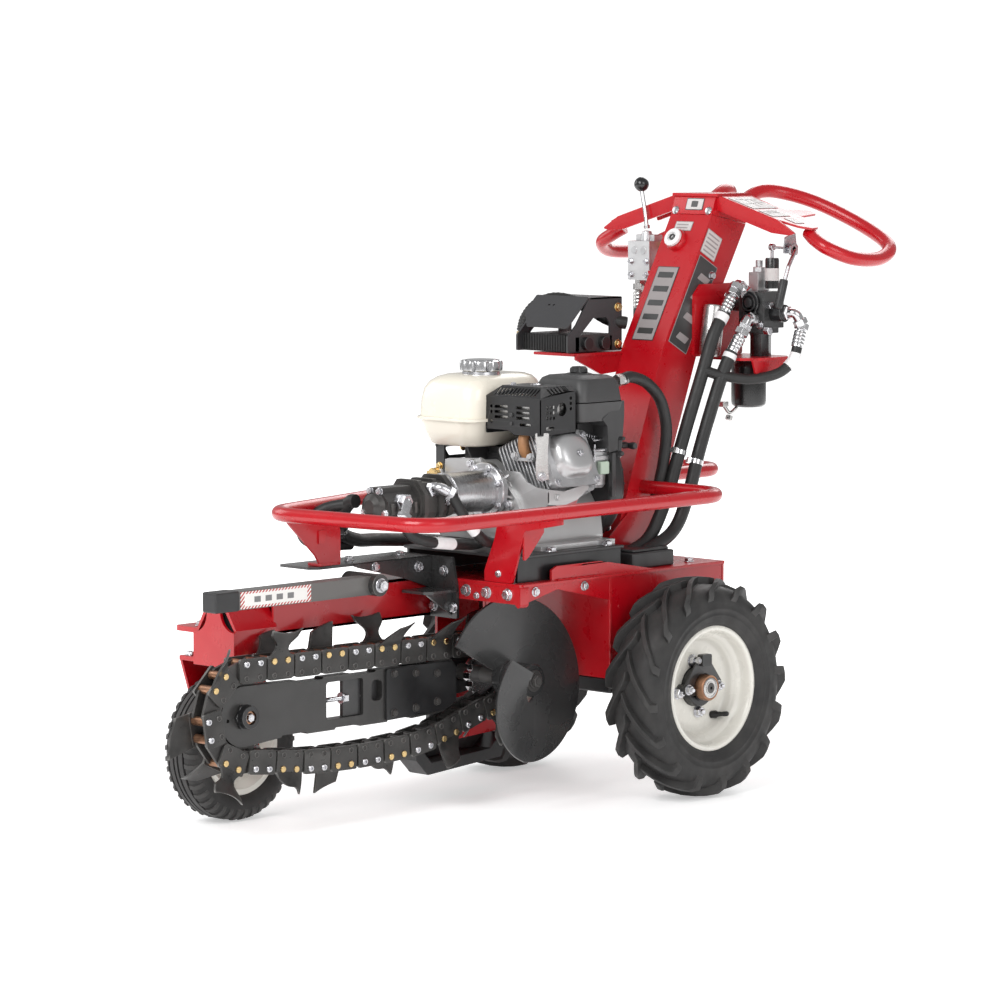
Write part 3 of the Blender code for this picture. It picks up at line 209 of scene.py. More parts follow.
def rod(centre, radius, length, axis="Z", sides=32, soft=0.0008):
    """A round bar about a centre point with softened ends."""
    h = length / 2.0
    profile = [(0, -h), (radius - soft, -h), (radius, -h + soft), (radius, h - soft), (radius - soft, h),
               (0, h)]
    return lathe(profile, centre, axis, sides)


def pipe(outer, inner, centre, length, axis="Z", sides=40, soft=0.0008):
    """A round sleeve about a centre point."""
    h = length / 2.0
    profile = [(inner, -h), (outer - soft, -h), (outer, -h + soft), (outer, h - soft), (outer - soft, h),
               (inner, h)]
    return lathe(profile, centre, axis, sides, ring=True)


def tube(path, radius, sides=16, closed=False):
    """A round tube along a path; radius may be a function of the position from 0 to 1."""
    path = [Vector(p) for p in path]
    count = len(path)
    points, faces = [], []
    side = None
    for i, here in enumerate(path):
        before = path[i - 1] if (i or closed) else here
        after = path[(i + 1) % count] if (i + 1 < count or closed) else here
        along = (after - before).normalized()
        if side is None:
            side = along.orthogonal().normalized()
        side = (side - along * side.dot(along)).normalized()
        up = along.cross(side)
        r = radius(i / (count - 1)) if callable(radius) else radius
        for k in range(sides):
            angle = 2 * math.pi * k / sides
            points.append(here + side * (r * math.cos(angle)) + up * (r * math.sin(angle)))
    for i in range(count if closed else count - 1):
        for k in range(sides):
            a, b = i * sides + k, i * sides + (k + 1) % sides
            c, d = ((i + 1) % count) * sides + (k + 1) % sides, ((i + 1) % count) * sides + k
            faces.append((a, b, c, d))
    if not closed:
        faces.append(tuple(reversed(range(sides))))
        faces.append(tuple(range((count - 1) * sides, count * sides)))
    return points, faces


def smooth(knots, steps=8, closed=False):
    """Catmull-Rom curve through the knots."""
    knots = [Vector(k) for k in knots]
    if closed:
        padded = [knots[-1], *knots, knots[0], knots[1]]
    else:
        padded = [2 * knots[0] - knots[1], *knots, 2 * knots[-1] - knots[-2]]
    out = []
    for i in range(1, len(padded) - 2):
        p0, p1, p2, p3 = padded[i - 1:i + 3]
        for s in range(steps):
            t = s / steps
            out.append(0.5 * ((2 * p1) + (p2 - p0) * t + (2 * p0 - 5 * p1 + 4 * p2 - p3) * t * t
                              + (3 * p1 - p0 - 3 * p2 + p3) * t ** 3))
    if not closed:
        out.append(knots[-1])
    return out


def bent(corners, radius, steps=10):
    """Straight runs with round bends, like a bent tube."""
    corners = [Vector(c) for c in corners]
    out = [corners[0]]
    for before, corner, after in zip(corners, corners[1:], corners[2:]):
        inward = (before - corner).normalized()
        outward = (after - corner).normalized()
        half = inward.angle(outward) / 2.0
        reach = min(radius / math.tan(half), 0.48 * (before - corner).length,
                    0.48 * (after - corner).length)
        start, stop = corner + inward * reach, corner + outward * reach
        for s in range(steps + 1):
            t = s / steps
            out.append((1 - t) ** 2 * start + 2 * t * (1 - t) * corner + t * t * stop)
    out.append(corners[-1])
    return out


def facing(shape, place, direction, spin=0.0):
    """Turn a shape built about +Z so that it points along direction, and put it at place."""
    turn = Vector((0, 0, 1)).rotation_difference(Vector(direction)).to_matrix().to_4x4()
    return moved(shape, Matrix.Translation(place) @ turn @ Matrix.Rotation(spin, 4, "Z"))


def hex_prism(radius, low, high, hole=0.0):
    """A hexagon with chamfered top, such as a bolt head or a nut."""
    soft = radius * 0.1
    profile = [(radius, low), (radius, high - soft), (radius - soft * 1.6, high)]
    if hole:
        profile = [(hole, low), *profile, (hole, high)]
        return lathe(profile, sides=6, ring=True)
    return lathe([(0, low), *profile, (0, high)], sides=6)


def bolt(place, direction, size=0.006, washer=True, spin=None):
    """Hexagon bolt head on a washer; size is the thread's diameter."""
    spin = random.uniform(0, 1.0) if spin is None else spin
    thick = 0.18 * size if washer else 0.0
    parts = [hex_prism(size * 0.92, thick, thick + size * 0.66)]
    parts.append(lathe([(0, 0), (size * 0.4, 0), (size * 0.46, size * 0.05), (0, size * 0.07)],
                       (0, 0, thick + size * 0.66)))
    if washer:
        parts.append(lathe([(0, 0), (size * 1.1, 0), (size * 1.14, thick * 0.4), (size * 1.08, thick),
                            (0, thick)], sides=24))
    return facing(join(*parts), place, direction, spin)


def nut_on_stud(place, direction, size=0.008, stud=0.006):
    """Nut on a washer with the stud's end standing out."""
    thick = 0.16 * size
    parts = [hex_prism(size * 0.95, thick, thick + size * 0.85, size * 0.44),
             lathe([(0, 0), (size * 1.15, 0), (size * 1.15, thick), (0, thick)], sides=28),
             lathe([(0, 0), (size * 0.48, 0), (size * 0.48, size + stud * 0.8), (size * 0.36, size + stud),
                    (0, size + stud)], sides=20)]
    return facing(join(*parts), place, direction, random.uniform(0, 1.0))


def clamp(place, direction, radius, width=0.009):
    """Worm-drive hose clamp around a hose that runs along direction."""
    band = lathe([(radius, -width / 2), (radius + 0.0009, -width / 2), (radius + 0.0009, width / 2),
                  (radius, width / 2)], sides=32, ring=True)
    housing = box((radius, -0.006, -width * 0.6), (radius + 0.006, 0.006, width * 0.6))
    screw = moved(hex_prism(0.0035, 0.0, 0.007), Matrix.Translation((radius + 0.003, 0.006, 0.0))
                  @ Matrix.Rotation(math.radians(-90), 4, "X"))
    return facing(join(band, housing, screw), place, direction, random.uniform(0, 6.0))


# ---------------------------------------------------------------- finishes
class Finish:
    """Builds one node material; each method adds a layer to the shader."""

    def __init__(self, name, colour, roughness, metallic=0.0):
        self.material = bpy.data.materials.new(name)
        self.material.use_nodes = True
        self.nodes = self.material.node_tree.nodes
        self.links = self.material.node_tree.links
        self.shader = self.nodes["Principled BSDF"]
        self.shader.inputs["Metallic"].default_value = metallic
        self.coords = self.nodes.new("ShaderNodeTexCoord").outputs["Object"]
        self.colour = self.value((*colour, 1.0))
        self.roughness = roughness
        self.shader.inputs["Roughness"].default_value = roughness
        self.normal = None

    def value(self, rgba):
        """A plain colour."""
        node = self.nodes.new("ShaderNodeRGB")
        node.outputs[0].default_value = rgba
        return node.outputs[0]

    def noise(self, scale, detail=4.0, stretch=(1, 1, 1)):
        """Noise over the object's own coordinates."""
        mapping = self.nodes.new("ShaderNodeMapping")
        mapping.inputs["Scale"].default_value = stretch
        self.links.new(self.coords, mapping.inputs["Vector"])
        node = self.nodes.new("ShaderNodeTexNoise")
        node.inputs["Scale"].default_value = scale
        node.inputs["Detail"].default_value = detail
        self.links.new(mapping.outputs[0], node.inputs["Vector"])
        return node.outputs["Fac"]

    def spread(self, source, low, high, out_low=0.0, out_high=1.0):
        """Map one range of a value to another."""
        node = self.nodes.new("ShaderNodeMapRange")
        for name, number in (("From Min", low), ("From Max", high), ("To Min", out_low),
                             ("To Max", out_high)):
            node.inputs[name].default_value = number
        self.links.new(source, node.inputs["Value"])
        return node.outputs["Result"]

    def blend(self, factor, colour):
        """Mix another colour over the present one."""
        node = self.nodes.new("ShaderNodeMix")
        node.data_type = "RGBA"
        self.links.new(factor, node.inputs["Factor"])
        self.links.new(self.colour, node.inputs[6])
        node.inputs[7].default_value = (*colour, 1.0)
        self.colour = node.outputs[2]
        return self

    def mottle(self, colour, scale=9.0, amount=0.5):
        """Cloudy patches of a second colour."""
        return self.blend(self.spread(self.noise(scale), 0.35, 0.75, 0.0, amount), colour)

    def dust(self, colour, amount=0.3):
        """Pale dust on faces that look up."""
        normal = self.nodes.new("ShaderNodeNewGeometry").outputs["Normal"]
        split = self.nodes.new("ShaderNodeSeparateXYZ")
        self.links.new(normal, split.inputs[0])
        return self.blend(self.spread(split.outputs["Z"], 0.2, 1.0, 0.0, amount), colour)

    def worn(self, colour, amount=0.6):
        """Bare or rubbed colour along convex edges."""
        edge = self.nodes.new("ShaderNodeNewGeometry").outputs["Pointiness"]
        return self.blend(self.spread(edge, 0.53, 0.6, 0.0, amount), colour)

    def patchy(self, scale=25.0, amount=0.12, stretch=(1, 1, 1)):
        """Roughness that varies over the surface."""
        low, high = max(0.02, self.roughness - amount), min(1.0, self.roughness + amount)
        result = self.spread(self.noise(scale, 5.0, stretch), 0.3, 0.7, low, high)
        self.links.new(result, self.shader.inputs["Roughness"])
        return self

    def grain(self, scale, strength, distance=0.0005, stretch=(1, 1, 1), detail=3.0):
        """Fine bumps over the shape."""
        node = self.nodes.new("ShaderNodeBump")
        node.inputs["Strength"].default_value = strength
        node.inputs["Distance"].default_value = distance
        self.links.new(self.noise(scale, detail, stretch), node.inputs["Height"])
        if self.normal is not None:
            self.links.new(self.normal, node.inputs["Normal"])
        self.normal = node.outputs["Normal"]
        return self

    def coat(self, weight, roughness=0.08):
        """Clear lacquer."""
        self.shader.inputs["Coat Weight"].default_value = weight
        self.shader.inputs["Coat Roughness"].default_value = roughness
        return self

    def done(self):
        """Connect the last colour and bump, and give the material."""
        self.links.new(self.colour, self.shader.inputs["Base Color"])
        if self.normal is not None:
            self.links.new(self.normal, self.shader.inputs["Normal"])
        return self.material


RED = Finish("red_enamel", (0.47, 0.0006, 0.007), 0.3).mottle((0.38, 0.0004, 0.006), 5.0, 0.5) \
    .worn((0.58, 0.04, 0.04), 0.2).patchy(30, 0.06).grain(260, 0.05).coat(0.3, 0.08).done()
BLACK = Finish("black_enamel", (0.009, 0.009, 0.01), 0.4).mottle((0.018, 0.018, 0.019), 12.0, 0.5) \
    .worn((0.1, 0.1, 0.1), 0.35).patchy(30, 0.08).grain(300, 0.06).coat(0.25, 0.2).done()
GLOSS_BLACK = Finish("gloss_black_enamel", (0.007, 0.007, 0.0075), 0.28) \
    .mottle((0.013, 0.013, 0.014), 9.0, 0.6) \
    .worn((0.09, 0.09, 0.09), 0.4).patchy(20, 0.06).grain(240, 0.04).coat(0.25, 0.12).done()
STEEL_DARK = Finish("oiled_dark_steel", (0.04, 0.038, 0.037), 0.42, 0.35) \
    .mottle((0.07, 0.066, 0.062), 16.0, 0.8) \
    .worn((0.26, 0.25, 0.24), 0.5).patchy(45, 0.12).grain(180, 0.12).done()
BAR_STEEL = Finish("boom_satin_paint", (0.032, 0.031, 0.03), 0.38, 0.1) \
    .mottle((0.046, 0.045, 0.044), 7.0, 0.6) \
    .worn((0.22, 0.21, 0.2), 0.45).patchy(18, 0.1).grain(220, 0.07).coat(0.2, 0.25).done()
TOOTH_STEEL = Finish("forged_tooth_steel", (0.036, 0.035, 0.034), 0.4, 0.45) \
    .mottle((0.085, 0.082, 0.079), 30.0, 0.7) \
    .worn((0.45, 0.44, 0.42), 0.6).patchy(60, 0.14).grain(120, 0.2).done()
ZINC = Finish("zinc_plate", (0.66, 0.66, 0.68), 0.28, 1.0).mottle((0.5, 0.5, 0.53), 90.0, 0.7) \
    .patchy(120, 0.1).grain(400, 0.05).done()
YELLOW_ZINC = Finish("yellow_zinc", (0.72, 0.52, 0.24), 0.3, 1.0).mottle((0.6, 0.45, 0.24), 120.0, 0.8) \
    .patchy(120, 0.1).grain(400, 0.05).done()
COPPER = Finish("bronze_sleeve", (0.42, 0.22, 0.13), 0.38, 0.9).mottle((0.25, 0.15, 0.1), 80.0, 0.7) \
    .patchy(100, 0.12).done()
RUBBER = Finish("tyre_rubber", (0.018, 0.0175, 0.0175), 0.62).mottle((0.05, 0.047, 0.045), 22.0, 0.6) \
    .worn((0.075, 0.072, 0.07), 0.5).dust((0.11, 0.105, 0.1), 0.1) \
    .patchy(40, 0.1).grain(500, 0.18, 0.0004).done()
HOSE = Finish("hose_rubber", (0.013, 0.013, 0.013), 0.5).mottle((0.024, 0.023, 0.023), 30.0, 0.6) \
    .patchy(60, 0.08).grain(600, 0.2, 0.0003).done()
RIM = Finish("cream_rim_enamel", (0.78, 0.76, 0.7), 0.28).mottle((0.72, 0.7, 0.64), 7.0, 0.5) \
    .patchy(25, 0.06).grain(200, 0.04).coat(0.4, 0.1).done()
TANK = Finish("cream_tank_enamel", (0.86, 0.81, 0.7), 0.26).mottle((0.82, 0.77, 0.66), 6.0, 0.5) \
    .patchy(20, 0.05).grain(180, 0.03).coat(0.45, 0.08).done()
CAST = Finish("cast_aluminium", (0.6, 0.6, 0.61), 0.42, 0.85).mottle((0.44, 0.44, 0.45), 40.0, 0.7) \
    .worn((0.8, 0.8, 0.8), 0.4).patchy(80, 0.1).grain(420, 0.35, 0.0004).done()
PAINTED_CAST = Finish("silver_painted_casting", (0.5, 0.5, 0.5), 0.36, 0.55) \
    .mottle((0.42, 0.42, 0.42), 12.0, 0.5) \
    .worn((0.72, 0.72, 0.72), 0.3).patchy(40, 0.08).grain(260, 0.12).coat(0.2, 0.2).done()
MACHINED = Finish("turned_aluminium", (0.58, 0.58, 0.59), 0.3, 1.0) \
    .mottle((0.66, 0.66, 0.68), 30.0, 0.5) \
    .patchy(60, 0.06, (30, 1, 1)).grain(60, 0.15, 0.0003, (40, 1, 1)).done()
CHROME = Finish("bright_chrome", (0.66, 0.66, 0.67), 0.2, 1.0).mottle((0.68, 0.68, 0.7), 20.0, 0.4) \
    .patchy(50, 0.05).done()
PLASTIC = Finish("black_moulding", (0.012, 0.012, 0.013), 0.42).mottle((0.022, 0.022, 0.023), 18.0, 0.6) \
    .worn((0.08, 0.08, 0.08), 0.4).patchy(40, 0.08).grain(700, 0.22, 0.0003).done()
GREY_PLASTIC = Finish("dark_grey_moulding", (0.042, 0.042, 0.043), 0.48) \
    .mottle((0.06, 0.06, 0.061), 14.0, 0.6) \
    .worn((0.12, 0.12, 0.12), 0.4).patchy(40, 0.08).grain(700, 0.22, 0.0003).done()
RUST = Finish("heat_marked_pipe", (0.4, 0.2, 0.09), 0.55, 0.3).mottle((0.25, 0.13, 0.07), 60.0, 0.8) \
    .patchy(90, 0.12).grain(200, 0.2).done()
PALE_GREEN = Finish("pale_green_moulding", (0.5, 0.62, 0.5), 0.4) \
    .mottle((0.56, 0.66, 0.56), 40.0, 0.5) \
    .patchy(60, 0.06).done()
WHITE_BAND = Finish("white_hose_tag", (0.82, 0.82, 0.82), 0.45).mottle((0.74, 0.7, 0.72), 90.0, 0.5) \
    .patchy(60, 0.08).done()
BARE_STEEL = Finish("brushed_bare_steel", (0.58, 0.57, 0.56), 0.3, 1.0) \
    .mottle((0.46, 0.45, 0.44), 50.0, 0.7) \
    .patchy(90, 0.1, (1, 1, 12)).done()
COVER_SILVER = Finish("dull_silver_cover", (0.56, 0.56, 0.565), 0.34, 0.75) \
    .mottle((0.5, 0.5, 0.505), 26.0, 0.5) \
    .patchy(60, 0.06).grain(300, 0.1).done()
KIDNEY_RED = Finish("faded_red_plate", (0.42, 0.075, 0.085), 0.35).mottle((0.5, 0.14, 0.14), 22.0, 0.7) \
    .patchy(40, 0.1).coat(0.3, 0.15).done()
GUARD_BLACK = Finish("satin_black_powder", (0.04, 0.04, 0.043), 0.5) \
    .mottle((0.052, 0.051, 0.053), 10.0, 0.6) \
    .worn((0.13, 0.13, 0.13), 0.4).patchy(30, 0.06).grain(520, 0.12, 0.0003).done()
PANEL_GREY = Finish("panel_mid_grey", (0.3, 0.27, 0.27), 0.4).mottle((0.36, 0.33, 0.33), 20.0, 0.5) \
    .patchy(40, 0.05).done()
PANEL_PALE = Finish("panel_pale", (0.6, 0.57, 0.56), 0.42).mottle((0.54, 0.51, 0.5), 14.0, 0.5) \
    .patchy(40, 0.06).done()


# ---------------------------------------------------------------- from shapes to pieces
def soften_edges(obj, width, segments):
    """Bevel every edge that turns by more than 30 degrees."""
    modifier = obj.modifiers.new("edges", "BEVEL")
    modifier.width = width
    modifier.segments = segments
    modifier.limit_method = "ANGLE"
    modifier.angle_limit = math.radians(30)
    modifier.harden_normals = True


def piece(name, shapes, material, body, stands_for=(), bevel=0.0, segments=2, sharp=35.0):
    """One finished piece: a mesh at the frame's origin, with its material, riding on its body."""
    points, faces = join(*shapes) if isinstance(shapes, list) else shapes
    mesh = bpy.data.meshes.new(name)
    mesh.from_pydata([p + ORIGIN for p in points], [], faces)
    mesh.validate()
    bm = bmesh.new()
    bm.from_mesh(mesh)
    bmesh.ops.recalc_face_normals(bm, faces=bm.faces)
    bm.to_mesh(mesh)
    bm.free()
    mesh.materials.append(material)
    mesh.shade_smooth()
    mesh.set_sharp_from_angle(angle=math.radians(sharp))
    obj = bpy.data.objects.new(name, mesh)
    bpy.context.scene.collection.objects.link(obj)
    if bevel:
        soften_edges(obj, bevel, segments)
    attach(obj, body)
    for node in stands_for:
        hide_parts(node)


def keep_cad(node, material, bevel=0.0012):
    """Carry a CAD node over with a new finish and softened edges."""
    obj = frame["nodes"][node]
    obj.data.materials.clear()
    obj.data.materials.append(material)
    weld = obj.modifiers.new("weld", "WELD")
    weld.merge_threshold = 0.00005
    soften_edges(obj, bevel, 2)


SLOT_FINISH = {"red_paint": RED, "black_paint": BLACK, "dark_steel": STEEL_DARK, "bright_steel": ZINC,
               "cast_aluminium": CAST, "tyre": RUBBER, "hose_rubber": HOSE, "rim_white": RIM,
               "tank_cream": TANK, "black_plastic": PLASTIC,}


# ---------------------------------------------------------------- wheels
def turned_y(profile, centre, sides=96):
    """Closed (radius, y) section turned about a wheel's axis."""
    return lathe(profile, centre, "Y", sides, ring=True)


def on_tyre(centre, radius, y, angle):
    """A point of a wheel, from its radius, distance out and angle."""
    return Vector((centre.x + radius * math.cos(angle), centre.y + y, centre.z + radius * math.sin(angle)))


def tread_lug(centre, base, top, start, sweep, hand):
    """One chevron bar: it follows the carcass from the middle, over the shoulder and down the sidewall."""
    points, faces = [], []
    last = len(base) - 1
    for i, ((by, br), (ty, tr)) in enumerate(zip(base, top)):
        t = i / last
        angle = start + sweep * min(1.0, t * 1.15) ** 0.85
        width = 0.0165 - 0.002 * t
        for radius, y, half in ((br - 0.003, by - 0.002, width * 0.62), (tr, ty, width * 0.5)):
            for side in (-1, 1):
                points.append(on_tyre(centre, radius, y * hand, angle + side * half / radius))
    for i in range(last):
        a, b = 4 * i, 4 * i + 4
        for j, k in ((0, 1), (1, 3), (3, 2), (2, 0)):
            faces.append((a + j, a + k, b + k, b + j))
    faces += [(0, 1, 3, 2), (4 * last, 4 * last + 2, 4 * last + 3, 4 * last + 1)]
    return points, faces


def drive_tyre(label, centre):
    """Ribbed carcass with two rows of chevron lugs, half a pitch apart."""
    side = [(0.1135, 0.0385), (0.1175, 0.043), (0.1225, 0.047), (0.124, 0.0478), (0.1262, 0.0482),
            (0.1275, 0.05), (0.134, 0.0515), (0.1355, 0.0528), (0.138, 0.0528), (0.1395, 0.052),
            (0.146, 0.053), (0.1475, 0.054), (0.15, 0.054), (0.1515, 0.0532), (0.16, 0.0528),
            (0.17, 0.0512), (0.179, 0.047), (0.1855, 0.039), (0.1895, 0.027), (0.1915, 0.012)]
    half = [(r, y * TYRE_HALF / 0.054) for r, y in side]
    section = [*half, (0.1918, 0.0), *[(r, -y) for r, y in reversed(half)], (0.109, -0.034), (0.109, 0.034)]
    carcass = turned_y(section, centre, 120)
    base = [(-0.004, 0.1915), (0.01, 0.1913), (0.022, 0.19), (0.033, 0.187), (0.042, 0.181),
            (0.0485, 0.174), (0.052, 0.164)]
    top = [(-0.003, 0.2047), (0.011, 0.2045), (0.024, 0.2036), (0.037, 0.2018), (0.05, 0.1985),
           (0.0545, 0.19), (0.056, 0.174)]
    count = 16
    sweep = -math.radians(29)
    lugs = []
    for k in range(count):
        turn = 2 * math.pi / count
        lugs.append(tread_lug(centre, base, top, k * turn, sweep, 1))
        lugs.append(tread_lug(centre, base, top, (k + 0.5) * turn, sweep, -1))
    piece(label + "_tyre_carcass", carcass, RUBBER, label + "_wheel", [label + "_tyre"],
          sharp=50)
    piece(label + "_tyre_lugs", lugs, RUBBER, label + "_wheel", bevel=0.0012)


def drive_rim(label, centre, out):
    """Pressed wheel: rolled lip, bead seat, deep dish and the flat centre with its hub hole."""
    outer = [(0.113, 0.044), (0.1165, 0.0432), (0.1178, 0.0405), (0.1165, 0.038), (0.112, 0.037)]
    dish = [(0.1048, 0.03), (0.103, 0.022), (0.0985, 0.016), (0.0925, 0.012), (0.0895, 0.006),
            (0.0868, -0.001), (0.082, -0.0045), (0.066, -0.005), (0.056, -0.0035), (0.0375, -0.0035)]
    back = [(0.0375, -0.0065), (0.056, -0.0065), (0.066, -0.008), (0.086, -0.0075), (0.0905, -0.02),
            (0.101, -0.029), (0.102, -0.036), (0.1115, -0.04), (0.1155, -0.0425), (0.1165, -0.04),
            (0.114, -0.037), (0.105, -0.0345), (0.104, -0.026), (0.094, -0.018), (0.09, 0.002)]
    rise = [(0.0945, 0.015), (0.1, 0.019), (0.1055, 0.024), (0.1075, 0.033), (0.111, 0.04)]
    front = [(0.1098, 0.044), (0.108, 0.0425), (0.1062, 0.038)]
    ring = [*[(r, y) for r, y in reversed(front)], *outer, *reversed(rise),
            *reversed(back), *reversed(dish)]
    profile = [(r, y * out) for r, y in ring]
    piece(label + "_wheel_rim", turned_y(profile, centre), RIM, label + "_wheel", [label + "_rim"],
          sharp=60)
    valve = Vector((centre.x - 0.052, centre.y + out * 0.004, centre.z - 0.058))
    stem = [(0, -0.01), (0.007, -0.01), (0.0074, 0.0), (0.0052, 0.004), (0.0042, 0.014), (0.0048, 0.016),
            (0.0048, 0.024), (0.0036, 0.026), (0, 0.026)]
    lean = Vector((-0.25, out, 0.12)).normalized()
    piece(label + "_tyre_valve", facing(lathe(stem, sides=20), valve, lean), HOSE, label + "_wheel")


def drive_hub(label, centre, out):
    """Axle hub behind the disc, with the drum, bearing end and studs in the middle of the dish."""

    def y(offset):
        return centre.y + out * offset

    flange = rod((centre.x, y(-0.0115), centre.z), 0.06, 0.008, "Y", 64)
    boss = rod((centre.x, y(-0.048), centre.z), 0.032, 0.066, "Y", 48)
    drum = lathe([(0, -0.008 * out), (0.0366, -0.008 * out), (0.0366, 0.0125 * out), (0.035, 0.0142 * out),
                  (0, 0.0142 * out)], centre, "Y", 56)
    piece(label + "_hub_body", [flange, boss, drum], BLACK, label + "_wheel", [label + "_hub"],
          bevel=0.0008)
    sleeve = [(0.0095, 0.014), (0.024, 0.014), (0.024, 0.0345), (0.0228, 0.0362), (0.0205, 0.0362),
              (0.0198, 0.035), (0.0095, 0.035)]
    race = [(0.01, 0.034), (0.019, 0.034), (0.019, 0.0366), (0.0165, 0.0372), (0.016, 0.036),
            (0.012, 0.036), (0.0116, 0.0374), (0.01, 0.0374)]
    for name, profile, finish in (("sleeve", sleeve, COPPER), ("bearing", race, BARE_STEEL)):
        profile = [(r, h * out) for r, h in profile]
        piece(f"{label}_hub_{name}", lathe(profile, centre, "Y", 56, ring=True), finish, label + "_wheel",
              sharp=40)
    shaft = lathe([(0, 0.03 * out), (0.0098, 0.03 * out), (0.0098, 0.0372 * out), (0.0085, 0.0384 * out),
                   (0.003, 0.0384 * out), (0.0028, 0.0345 * out), (0, 0.0345 * out)], centre, "Y", 40)
    piece(label + "_axle_end", shaft, STEEL_DARK, label + "_wheel")
    nuts = []
    for k in range(4):
        angle = math.radians(80 + 90 * k) if out > 0 else math.radians(100 + 90 * k)
        place = (centre.x + 0.049 * math.cos(angle), y(-0.003), centre.z + 0.049 * math.sin(angle))
        nuts.append(nut_on_stud(place, (0, out, 0), 0.0105, 0.006))
    piece(label + "_wheel_nuts", nuts, ZINC, label + "_wheel", bevel=FINE)


def release_plate(label, centre, out):
    """Arched plate with its cross bar, latch block and two nuts: it frees the wheel from the axle."""
    outline = [(-0.05, -0.01), (-0.05, 0.008), (-0.02, 0.046), (-0.011, 0.052), (0.011, 0.052),
               (0.02, 0.046), (0.05, 0.008), (0.05, -0.01), (0.03, -0.014), (-0.03, -0.014)]
    plate_outline = [(centre.x + a, centre.z + b) for a, b in rounded(outline, 0.005, 3)]
    hole = [(centre.x + a, centre.z + b) for a, b in arc((0, 0), 0.0262, 0, 345, 23)]
    low, high = sorted((centre.y + out * 0.0153, centre.y + out * 0.0192))
    body = sheet(plate_outline, "XZ", low, high, [hole])
    ear = [(centre.x + a, centre.z + b) for a, b in rounded([(-0.013, 0.04), (-0.013, 0.062),
                                                            (0.013, 0.062), (0.013, 0.04)], 0.004, 3)]
    low, high = sorted((centre.y + out * 0.015, centre.y + out * 0.028))
    block = sheet(ear, "XZ", low, high)
    posts = [rod((centre.x + s * 0.042, centre.y + out * 0.006, centre.z - 0.001), 0.0085, 0.02, "Y", 28)
             for s in (-1, 1)]
    piece(label + "_release_arch", [body, block, *posts], BLACK, label + "_wheel",
          [label + "_release_plate"], bevel=0.0007)
    nuts = [nut_on_stud((centre.x + s * 0.042, centre.y + out * 0.0192, centre.z - 0.001), (0, out, 0),
                        0.0085, 0.005) for s in (-1, 1)]
    pin = rod((centre.x, centre.y + out * 0.0215, centre.z + 0.051), 0.0035, 0.032, "X", 16)
    nuts += [pin, bolt((centre.x + 0.016 * out, centre.y + out * 0.0215, centre.z + 0.051), (out, 0, 0.1),
                       0.006)]
    piece(label + "_release_fasteners", nuts, ZINC, label + "_wheel", bevel=FINE)


def drive_wheel(label, out):
    """One whole drive wheel; out is 1 on the left and -1 on the right."""
    centre = Vector((WHEEL.x, WHEEL.y * out, WHEEL.z))
    drive_tyre(label, centre)
    drive_rim(label, centre, out)
    drive_hub(label, centre, out)
    release_plate(label, centre, out)


def front_tyre():
    """Front tyre: ribs round its middle and rows of blocks on its shoulders."""
    c = FRONT
    half = [(0.086, 0.029), (0.088, 0.0335), (0.093, 0.0375), (0.101, 0.0392), (0.106, 0.0396),
            (0.11, 0.039), (0.117, 0.0375), (0.124, 0.033), (0.128, 0.028), (0.1306, 0.0215),
            (0.127, 0.0208), (0.127, 0.0178), (0.1318, 0.017), (0.1326, 0.0075), (0.1285, 0.0068),
            (0.1285, 0.0038), (0.1328, 0.003)]
    section = [*half, *[(r, -y) for r, y in reversed(half)], (0.082, -0.026), (0.082, 0.026)]
    carcass = turned_y(section, c, 108)
    blocks = []
    count = 40
    for k in range(count):
        a = 2 * math.pi * k / count
        for hand in (1, -1):
            shift_a = a + (0.5 * 2 * math.pi / count if hand < 0 else 0)
            points = []
            for y, r, turn in ((0.0215, 0.1312, 0.0), (0.03, 0.1285, 0.02), (0.0365, 0.121, 0.03),
                               (0.0388, 0.112, 0.03)):
                for dr, half_w in ((-0.003, 0.0048), (0.0016, 0.004)):
                    for s in (-1, 1):
                        points.append(on_tyre(c, r + dr, (y + dr * 0.3) * hand,
                                              shift_a - turn + s * half_w / r))
            faces = []
            for i in range(3):
                p, q = 4 * i, 4 * i + 4
                faces += [(p + j, p + m, q + m, q + j) for j, m in ((0, 1), (1, 3), (3, 2), (2, 0))]
            faces += [(0, 1, 3, 2), (12, 14, 15, 13)]
            blocks.append((points, faces))
    piece("front_tyre_ribbed", [carcass, *blocks], RUBBER, "front_wheel", ["front_tyre"],
          sharp=40)


def front_rim():
    """Pressed rim with its hub and bolts."""
    c = FRONT
    rim = [(0.02, 0.004), (0.056, 0.004), (0.061, 0.006), (0.064, 0.018), (0.073, 0.024), (0.076, 0.031),
           (0.085, 0.0325), (0.087, 0.03), (0.0855, 0.0275), (0.079, 0.0255), (0.076, 0.0205),
           (0.067, 0.015), (0.064, 0.004), (0.064, -0.004), (0.067, -0.015), (0.076, -0.0205),
           (0.079, -0.0255), (0.0855, -0.0275), (0.087, -0.03), (0.085, -0.0325), (0.076, -0.031),
           (0.073, -0.024), (0.064, -0.018), (0.061, 0.001), (0.02, 0.001)]
    hub = pipe(0.0215, 0.0088, c, 0.068, "Y", 40)
    piece("front_wheel_rim", [turned_y(rim, c, 96), hub], RIM, "front_wheel", ["front_rim"],
          sharp=50)
    nuts = []
    for k in range(5):
        a = math.radians(72 * k + 18)
        for hand in (1, -1):
            place = (c.x + 0.04 * math.cos(a), c.y + (0.0042 if hand > 0 else 0.0),
                     c.z + 0.04 * math.sin(a))
            nuts.append(bolt(place, (0, hand, 0), 0.008))
    piece("front_wheel_bolts", nuts, ZINC, "front_wheel", bevel=FINE)


